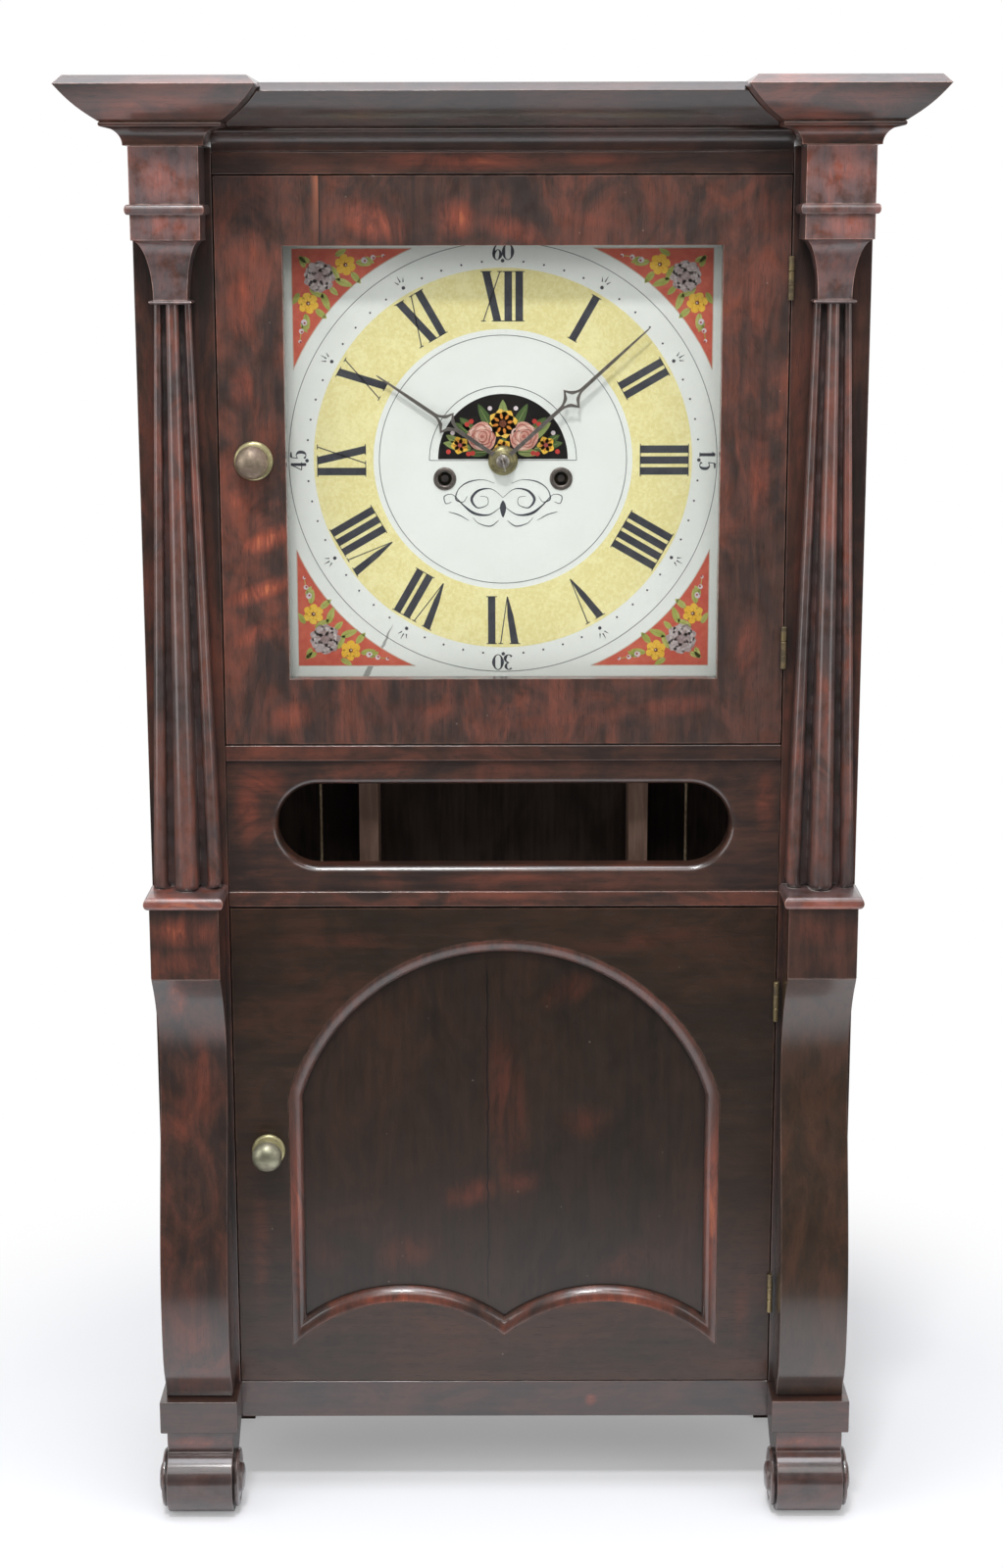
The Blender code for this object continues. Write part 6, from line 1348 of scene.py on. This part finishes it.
def make_lunette(art):
    """A dark half-round with a spray of garden flowers: a golden rosette between pink blossoms."""
    for line in (arc((0, 0), LUNETTE_RADIUS, 0, 180, 45), [(-LUNETTE_RADIUS, 0), (LUNETTE_RADIUS, 0)]):
        ribbon(art.layer("ink"), line, 0.45, LEVEL[1])
    patch(art.layer("night"), arc((0, 0.8), LUNETTE_GROUND_RADIUS, 0, 180, 60), LEVEL[0])
    leaves = (
        (0, 20, 90, 22, 8), (6, 18, 62, 24, 7), (-6, 18, 118, 24, 7), (14, 12, 36, 24, 8), (-14, 12, 144, 24, 8),
        (22, 8, 12, 20, 7), (-22, 8, 168, 20, 7), (20, 20, 44, 14, 6), (-20, 20, 136, 14, 6), (10, 6, -4, 16, 6),
        (-10, 6, 184, 16, 6), (30, 12, 30, 11, 5), (-30, 12, 150, 11, 5), (0, 6, 88, 10, 8),
    )
    for index, (u, v, bearing, length, width) in enumerate(leaves):
        colours = ("leaf_green", "leaf_pale") if index % 3 else ("leaf_pale", "leaf_green")
        art.leaf(*colours, (u, v), bearing, length, width, length * 0.85, 0.8)
    for side in (-1, 1):
        round_rose(art, "pink", "pink_dark", "pink_light", (side * 14.5, 16.5), 10.0)
    blossom(art, "gold_petal", "orange", "heart", (0, 25.5), 10.5, 8, 12)
    for centre, size in (((-30, 10.5), 6.4), ((30, 10.5), 6.4), ((0, 9.0), 6.0)):
        blossom(art, "yellow", "orange", "rose_dark", centre, size, 5, 40)
    for u, v in ((22, 27), (25, 25), (21, 5), (24, 4.5), (38, 6)):
        for side in (-1, 1):
            art.disc("berry", (side * u, v), 1.7, 3, 12)
    for u, v in ((35, 19), (9, 36)):
        for side in (-1, 1):
            art.disc("bud", (side * u, v), 1.6, 3, 10)


PAINTS = {
    "ink": ((0.045, 0.048, 0.062), (0.085, 0.09, 0.10), 0.5),
    "gold": ((0.83, 0.75, 0.325), (0.93, 0.87, 0.455), 0.9),
    "red_ground": ((0.60, 0.105, 0.065), (0.70, 0.17, 0.105), 0.6),
    "pale_line": ((0.66, 0.60, 0.50), (0.60, 0.40, 0.30), 0.6),
    "night": ((0.006, 0.004, 0.004), (0.013, 0.008, 0.006), 0.6),
    "leaf": ((0.36, 0.40, 0.075), (0.52, 0.54, 0.17), 0.7),
    "leaf_dark": ((0.26, 0.30, 0.05), (0.34, 0.37, 0.09), 0.5),
    "leaf_green": ((0.060, 0.115, 0.030), (0.11, 0.17, 0.05), 0.6),
    "leaf_pale": ((0.22, 0.30, 0.085), (0.32, 0.38, 0.13), 0.6),
    "mauve": ((0.36, 0.27, 0.25), (0.52, 0.45, 0.43), 1.0),
    "mauve_dark": ((0.30, 0.21, 0.20), (0.42, 0.34, 0.33), 0.9),
    "mauve_light": ((0.50, 0.43, 0.41), (0.66, 0.60, 0.57), 0.9),
    "yellow": ((0.88, 0.50, 0.040), (0.92, 0.64, 0.10), 0.6),
    "gold_petal": ((0.86, 0.50, 0.05), (0.90, 0.62, 0.14), 0.6),
    "orange": ((0.62, 0.20, 0.02), (0.7, 0.28, 0.04), 0.5),
    "heart": ((0.16, 0.045, 0.02), (0.3, 0.10, 0.03), 0.5),
    "speck": ((0.80, 0.74, 0.62), (0.88, 0.84, 0.76), 0.5),
    "bud": ((0.70, 0.60, 0.62), (0.80, 0.74, 0.74), 0.5),
    "rose_dark": ((0.36, 0.06, 0.05), (0.45, 0.1, 0.07), 0.5),
    "pink": ((0.66, 0.32, 0.25), (0.76, 0.44, 0.34), 0.7),
    "pink_dark": ((0.46, 0.15, 0.12), (0.55, 0.2, 0.15), 0.5),
    "pink_light": ((0.84, 0.58, 0.48), (0.88, 0.66, 0.56), 0.5),
    "berry": ((0.50, 0.03, 0.025), (0.62, 0.07, 0.05), 0.5),
}


def make_dial():
    """The chapter ring, numerals, track, flourish, corners and lunette."""
    art = Artwork()
    outer, inner = circle(CHAPTER_OUTER_RADIUS, 240), circle(CHAPTER_INNER_RADIUS, 240)
    rings = [[on_dial(u, v, level) for u, v in outline]
             for outline, level in ((outer, UNDER), (outer, LEVEL[0]), (inner, LEVEL[0]), (inner, UNDER))]
    loft(rings, closed=True, bm=art.layer("gold"))
    for draw in (make_numerals, make_track, make_flourish):
        draw(art.layer("ink"), LEVEL[1])
    make_spandrels(art)
    make_lunette(art)
    for index, (colour, bm) in enumerate(art.layers.items()):
        material = paint("paint_" + colour, *PAINTS[colour], 420.0 if colour == "gold" else 160.0, index * 1.3)
        new_piece("dial_" + colour, bm, "case", material, "dial_paint", smooth=False)


def dial_ground():
    """The dial's pale grey-green paint, darker towards its edges, with painted shade at the top left and a crack at the
    lower left.
    """
    shade = Shade("dial_ground")
    cloud = shade.noise(16.0, 6.0, 0.6, 0.4, 3)
    fine = shade.noise(260.0, 5.0, 0.7, 0.0, 5)
    wander = shade.noise(60.0, 3.0, 0.6, 0.0, 6, (0, 0, 1))
    x = shade.axis("X")
    z = shade.axis("Z")
    colour = shade.mix(shade.ramp(cloud, 0.35, 0.65), (0.830, 0.870, 0.815), (0.865, 0.900, 0.850))
    colour = shade.mix(shade.ramp(fine, 0.52, 0.68) * 0.30, colour, (0.72, 0.76, 0.68))
    near_edge = abs(x).most(abs(z - DIAL_Z * MM)) + (cloud - 0.5) * 0.02
    colour = shade.mix(shade.ramp(near_edge, 0.132, 0.153) * 0.25, colour, (0.54, 0.57, 0.48))
    # Painted shade in the top-left corner.
    colour = shade.mix(shade.spot(-150, 916, 22, 20) * 0.30, colour, (0.20, 0.20, 0.18))
    line = x - ((z - 0.632) * 0.53 + -0.089) + (wander - 0.5) * 0.006
    width = shade.ramp(z, 0.655, 0.618, smooth=False) * (2.4 * MM) + 0.25 * MM
    split = shade.ramp(abs(line) / width, 1.0, 0.7) * shade.ramp(z, 0.655, 0.648)
    colour = shade.mix(split * 0.75, colour, (0.22, 0.22, 0.20))
    shade.set(Base_Color=colour, Roughness=fine * 0.2 + 0.38, Specular_IOR_Level=0.35)
    shade.bump((cloud, 0.6, 0.2), (fine, 0.05, 0.5))
    return shade.material


def make_grommets():
    """Turned rings in the winding holes, and the squares of the winding arbors inside them."""
    material = metal("grommet_metal", (0.26, 0.225, 0.20), (0.09, 0.075, 0.066), 0.42, scale=140, seed=12, wear=0.8)
    dark_steel = metal("winding_steel", (0.10, 0.088, 0.082), (0.04, 0.03, 0.026), 0.40, scale=160, seed=13)
    path = [(4.85, 5.0), (4.85, -0.7), (5.1, -1.05), (5.6, -1.2), (6.6, -1.25), (7.4, -1.1), (7.85, -0.75),
            (8.0, -0.3), (6.5, -0.3), (6.5, 5.0)]
    radius, half = 2.65, 1.8
    for name, side in (("strike", 1), ("time", -1)):
        x = side * WINDING_X
        new_piece("grommet_" + name, ring_about(path, x, DIAL_Y, WINDING_Z), "case", material, "brass",
                  ["winding_grommet_" + name], sharp=50)
        arbor = lathe([(0, 1.4), (radius, 1.4), (radius, 5), (0, 5)], (x, DIAL_Y, WINDING_Z), "Y", 32)
        square = [(x + u, WINDING_Z + v) for u, v in ((-half, -half), (half, -half), (half, half), (-half, half))]
        prism(square, "Y", DIAL_Y + 0.2, DIAL_Y + 1.6, arbor)
        new_piece("winding_square_" + name, arbor, name + "_drum", dark_steel, "steel", arris=0.15)


# Hands

LOZENGE_HALF_WIDTH = 8.6
LOZENGE_HALF_LENGTH = 9.8
WINDOW_HALF_WIDTH = 6.2
WINDOW_HALF_LENGTH = 7.2
BLADE_HALF_WIDTH = 1.35


def hand_side(length, lozenge_at):
    """Right-hand edge of a hand along +Z: slim blade, hollow-sided lozenge with sharp corners."""
    foot = lozenge_at - LOZENGE_HALF_LENGTH
    side = [(1.6, 5.6), (1.45, 20.0), (BLADE_HALF_WIDTH, foot)]
    for share in (0.2, 0.4, 0.6, 0.75, 0.88, 0.96, 1.0, 1.04, 1.12, 1.25, 1.4, 1.6, 1.8):
        swell = (LOZENGE_HALF_WIDTH - BLADE_HALF_WIDTH) * (1 - abs(1 - share)) ** 2
        side.append((BLADE_HALF_WIDTH + swell, foot + LOZENGE_HALF_LENGTH * share))
    side += [(BLADE_HALF_WIDTH, lozenge_at + LOZENGE_HALF_LENGTH), (1.2, (lozenge_at + length) / 2)]
    return side + [(0.5, length - 2.0), (0.12, length)]


def window_outline(lozenge_at):
    """The hollow-sided opening in a hand's lozenge."""
    corners = [(0, WINDOW_HALF_LENGTH), (WINDOW_HALF_WIDTH, 0), (0, -WINDOW_HALF_LENGTH), (-WINDOW_HALF_WIDTH, 0)]
    window = []
    for start, end in zip(corners, corners[1:] + corners[:1]):
        for step in range(6):
            share = step / 6
            pull = 1 - 0.34 * math.sin(math.pi * share)
            u, v = ((first * (1 - share) + second * share) * pull for first, second in zip(start, end))
            window.append((u, lozenge_at + v))
    return window


def make_hand(name, length, lozenge_at, degrees, y, bore, collet, steel, brass):
    side = hand_side(length, lozenge_at)
    blade = prism(side + [(-x, z) for x, z in reversed(side)], "Y", y, y + 1)
    bm = carve(blade, [prism(window_outline(lozenge_at), "Y", y - 1, y + 2)])
    turn = Matrix.Rotation(math.radians(degrees), 3, "Y")
    bmesh.ops.rotate(bm, cent=(0, 0, 0), matrix=turn, verts=bm.verts)
    bmesh.ops.translate(bm, vec=(0, 0, DIAL_Z * MM), verts=bm.verts)
    new_piece(name + "_blade", bm, name, steel, "steel", [name], arris=0.18)
    path = [(bore, 1.0), (bore, -collet), (4.2, -collet), (5.6, 0.25 - collet), (6.7, 0.7 - collet), (7.0, 0.35),
            (7.0, 0.8), (6.6, 1.0)]
    new_piece(name + "_hub", ring_about(path, 0, y, DIAL_Z), name, brass, "brass", [name], sharp=50)


def make_hands():
    """Steel hands on brass collets, with a washer and a taper pin on the centre arbor."""
    steel = metal("hand_steel", (0.30, 0.275, 0.25), (0.13, 0.11, 0.098), 0.42, scale=120, seed=15, wear=0.6)
    brass = metal("collet_brass", (0.40, 0.36, 0.18), (0.19, 0.17, 0.09), 0.36, scale=140, seed=18)
    bright = metal("pin_steel", (0.62, 0.58, 0.54), (0.24, 0.20, 0.17), 0.28, scale=200, seed=19, wear=0.6)
    make_hand("hour_hand", length=106.0, lozenge_at=47.0, degrees=304, y=-20.75, bore=4.5, collet=0.05,
              steel=steel, brass=brass)
    make_hand("minute_hand", length=136.5, lozenge_at=64.0, degrees=48, y=-23.75, bore=2.3, collet=1.2,
              steel=steel, brass=brass)
    hour_collet = [(4.5, -16.2), (10.1, -16.2), (10.4, -16.7), (9.9, -17.6), (8.0, -19.6), (4.5, -19.6)]
    minute_collet = [(2.3, -21.35), (7.4, -21.35), (7.6, -21.7), (6.6, -22.65), (2.3, -22.65)]
    washer = [(2.15, -25.05), (4.3, -25.05), (4.5, -25.25), (4.1, -25.65), (2.15, -25.75)]
    for name, body, path, material, slot in (
        ("hour_collet", "hour_hand", hour_collet, brass, "brass"),
        ("minute_collet", "minute_hand", minute_collet, brass, "brass"),
        ("hand_washer", "minute_hand", washer, bright, "steel"),
    ):
        new_piece(name, ring_about(path, 0, 0, DIAL_Z), body, material, slot, sharp=50)
    pin = lathe([(0, -7.2), (0.42, -7.0), (0.75, 5.0), (0.6, 5.4), (0, 5.5)], (0, 0, 0), "Z", 20)
    tilt = Matrix.Translation((0, -26.5 * MM, DIAL_Z * MM)) @ Matrix.Rotation(math.radians(-14), 4, "Y")
    bmesh.ops.transform(pin, matrix=tilt, verts=pin.verts)
    new_piece("hand_pin", pin, "minute_hand", bright, "steel", sharp=50)


# Weights and cords


def make_weights():
    material = metal("weight_iron", (0.075, 0.072, 0.070), (0.10, 0.045, 0.028), 0.62, scale=30, seed=21, wear=0.3)
    profile = [(0, 0), (20.5, 0), (22.8, 0.5), (24.1, 1.8), (24.5, 4), (24.5, 60), (24.4, 120), (24.5, 196),
               (24.1, 198.2), (22.6, 199.6), (20, 200), (4.5, 200), (3.4, 201.5), (1.6, 203), (1.6, 214.6),
               (1.2, 216), (0, 216)]
    for name, side in (("time", -1), ("strike", 1)):
        weight = lathe(profile, (side * FALL_X, DRUM_Y, WEIGHT_Z), "Z")
        new_piece("iron_weight_" + name, weight, "weight_" + name, material, "iron", ["weight_" + name])


def laid_cord(path):
    """A cord of three strands along the path: a lobed section that turns as it goes."""
    pitch, spacing, points = 8.0, 1.3, 12
    spots = [Vector(path[0])]
    for start, end in zip(path, path[1:]):
        start, end = Vector(start), Vector(end)
        count = max(1, math.ceil((end - start).length / spacing))
        spots += [start.lerp(end, step / count) for step in range(1, count + 1)]
    across = Vector((0, 1, 0))
    rings = []
    travelled = 0.0
    for index, spot in enumerate(spots):
        before = spots[max(index - 1, 0)]
        after = spots[min(index + 1, len(spots) - 1)]
        up = (after - before).normalized().cross(across).normalized()
        travelled += (spot - before).length
        ring = []
        for point in range(points):
            angle = math.tau * point / points
            lobe = abs(math.cos(1.5 * (angle - math.tau * travelled / pitch)))
            reach = CORD_RADIUS * (0.80 + 0.20 * lobe)
            ring.append(spot + (across * math.cos(angle) + up * math.sin(angle)) * reach)
        rings.append(ring)
    return loft(rings)


def lead_points(side):
    """The cord's way over its pulley and down to the drum's inner side, in the drum's plane."""
    track, drum_track = 19.4, 17.4
    pulley = Vector((FALL_X - track, PULLEY_Z))
    drum = Vector((WINDING_X, WINDING_Z))
    away = pulley - drum
    inner = math.atan2(away.y, away.x) + math.pi / 2 + math.asin((track - drum_track) / away.length)
    wrap = arc(pulley, track, 0, math.degrees(inner), 40)
    end = drum + Vector((math.cos(inner), math.sin(inner))) * drum_track
    return [(side * x, DRUM_Y, z) for x, z in wrap + [(end.x, end.y)]]


def make_cords():
    """Each cord's fall hangs straight along its CAD fall; its lead runs over the pulley to the drum."""
    shade = Shade("cord_fibre")
    fibre = shade.noise(900.0, 4.0, 0.6, 0.0, 2, (1, 1, 0.4))
    stain = shade.noise(18.0, 3.0, 0.5, 0.0, 4)
    colour = shade.mix(shade.ramp(fibre, 0.35, 0.65), (0.22, 0.155, 0.095), (0.46, 0.36, 0.24))
    colour = shade.mix(shade.ramp(stain, 0.45, 0.7) * 0.6, colour, (0.13, 0.09, 0.06))
    shade.set(Base_Color=colour, Roughness=0.92, Specular_IOR_Level=0.15)
    shade.bump((fibre, 0.2, 0.7))
    for name, side in (("time", -1), ("strike", 1)):
        x = side * FALL_X
        low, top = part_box("cord_fall_" + name)
        fall_points = [(x, DRUM_Y, low.z / MM), (x, DRUM_Y, top.z / MM)]
        fall, _ = [
            new_piece("laid_" + node, laid_cord(path), "case", shade.material, "cord", [node], sharp=80)
            for node, path in (("cord_fall_" + name, fall_points), ("cord_lead_" + name, lead_points(side)))
        ]
        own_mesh(fall)


# Finishes of the CAD nodes that keep their shape


def old_glass():
    """Thin rippled glass: a weak mirror that lets nearly everything through."""
    glass = Shade("old_glass")
    glass.set(Base_Color=(0.90, 0.96, 0.94), Metallic=1.0, Roughness=0.05, Alpha=0.06)
    glass.bump((glass.noise(9.0, 2.0, 0.5, 0.0, 1), 2.0, 0.15))
    return glass.material


def dress_frame():
    """Finishes for the inner parts, whose solids are shown as they are."""
    brass = metal("movement_brass", (0.56, 0.41, 0.18), (0.24, 0.16, 0.07), 0.34, scale=45, seed=31)
    wheel_brass = metal("wheel_brass", (0.64, 0.47, 0.20), (0.30, 0.20, 0.08), 0.30, scale=80, seed=33)
    steel = metal("movement_steel", (0.30, 0.29, 0.28), (0.10, 0.075, 0.06), 0.36, scale=90, seed=35)
    for material, names in (
        (plain_wood("wood_backboard", (0.13, 0.092, 0.075), (0.058, 0.042, 0.036), "Z", 3), "backboard"),
        (plain_wood("wood_partition", (0.62, 0.40, 0.30), (0.34, 0.21, 0.16), "Z", 7),
         "partition_left partition_right"),
        (plain_wood("wood_inside", (0.15, 0.09, 0.055), (0.055, 0.032, 0.022), "X", 9), "top_board"),
        (plain_wood("wood_underside", (0.070, 0.045, 0.033), (0.030, 0.019, 0.014), "X", 9), "bottom_board"),
        (wood("wood_side", "Z", 0.30, 1.3, 171), "case_side_left case_side_right"),
        (brass, "movement_front_plate movement_back_plate time_drum strike_drum pulley_time pulley_strike"),
        (brass, "pendulum_bob"),
        (wheel_brass, "time_great_wheel minute_wheel hour_wheel escape_wheel"),
        (steel, "centre_arbor verge pendulum_rod strike_hammer"),
        (metal("bell_bronze", (0.42, 0.27, 0.12), (0.17, 0.10, 0.05), 0.34, scale=50, seed=37), "bell"),
        (dial_ground(), "dial_board"),
        (old_glass(), "upper_door_glass"),
    ):
        for name in names.split():
            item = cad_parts[name]
            item.data.materials.clear()
            item.data.materials.append(material)


def main():
    make_camera()
    make_cords()
    make_light()
    make_floor()
    make_cornice()
    make_capitals()
    make_columns()
    make_pilasters()
    make_feet()
    make_boards()
    make_field()
    make_hinges()
    make_upper_door()
    make_lower_door()
    make_knobs()
    make_dial()
    make_grommets()
    make_hands()
    make_weights()
    dress_frame()
    bpy.context.scene.view_settings.view_transform = "Standard"


main()
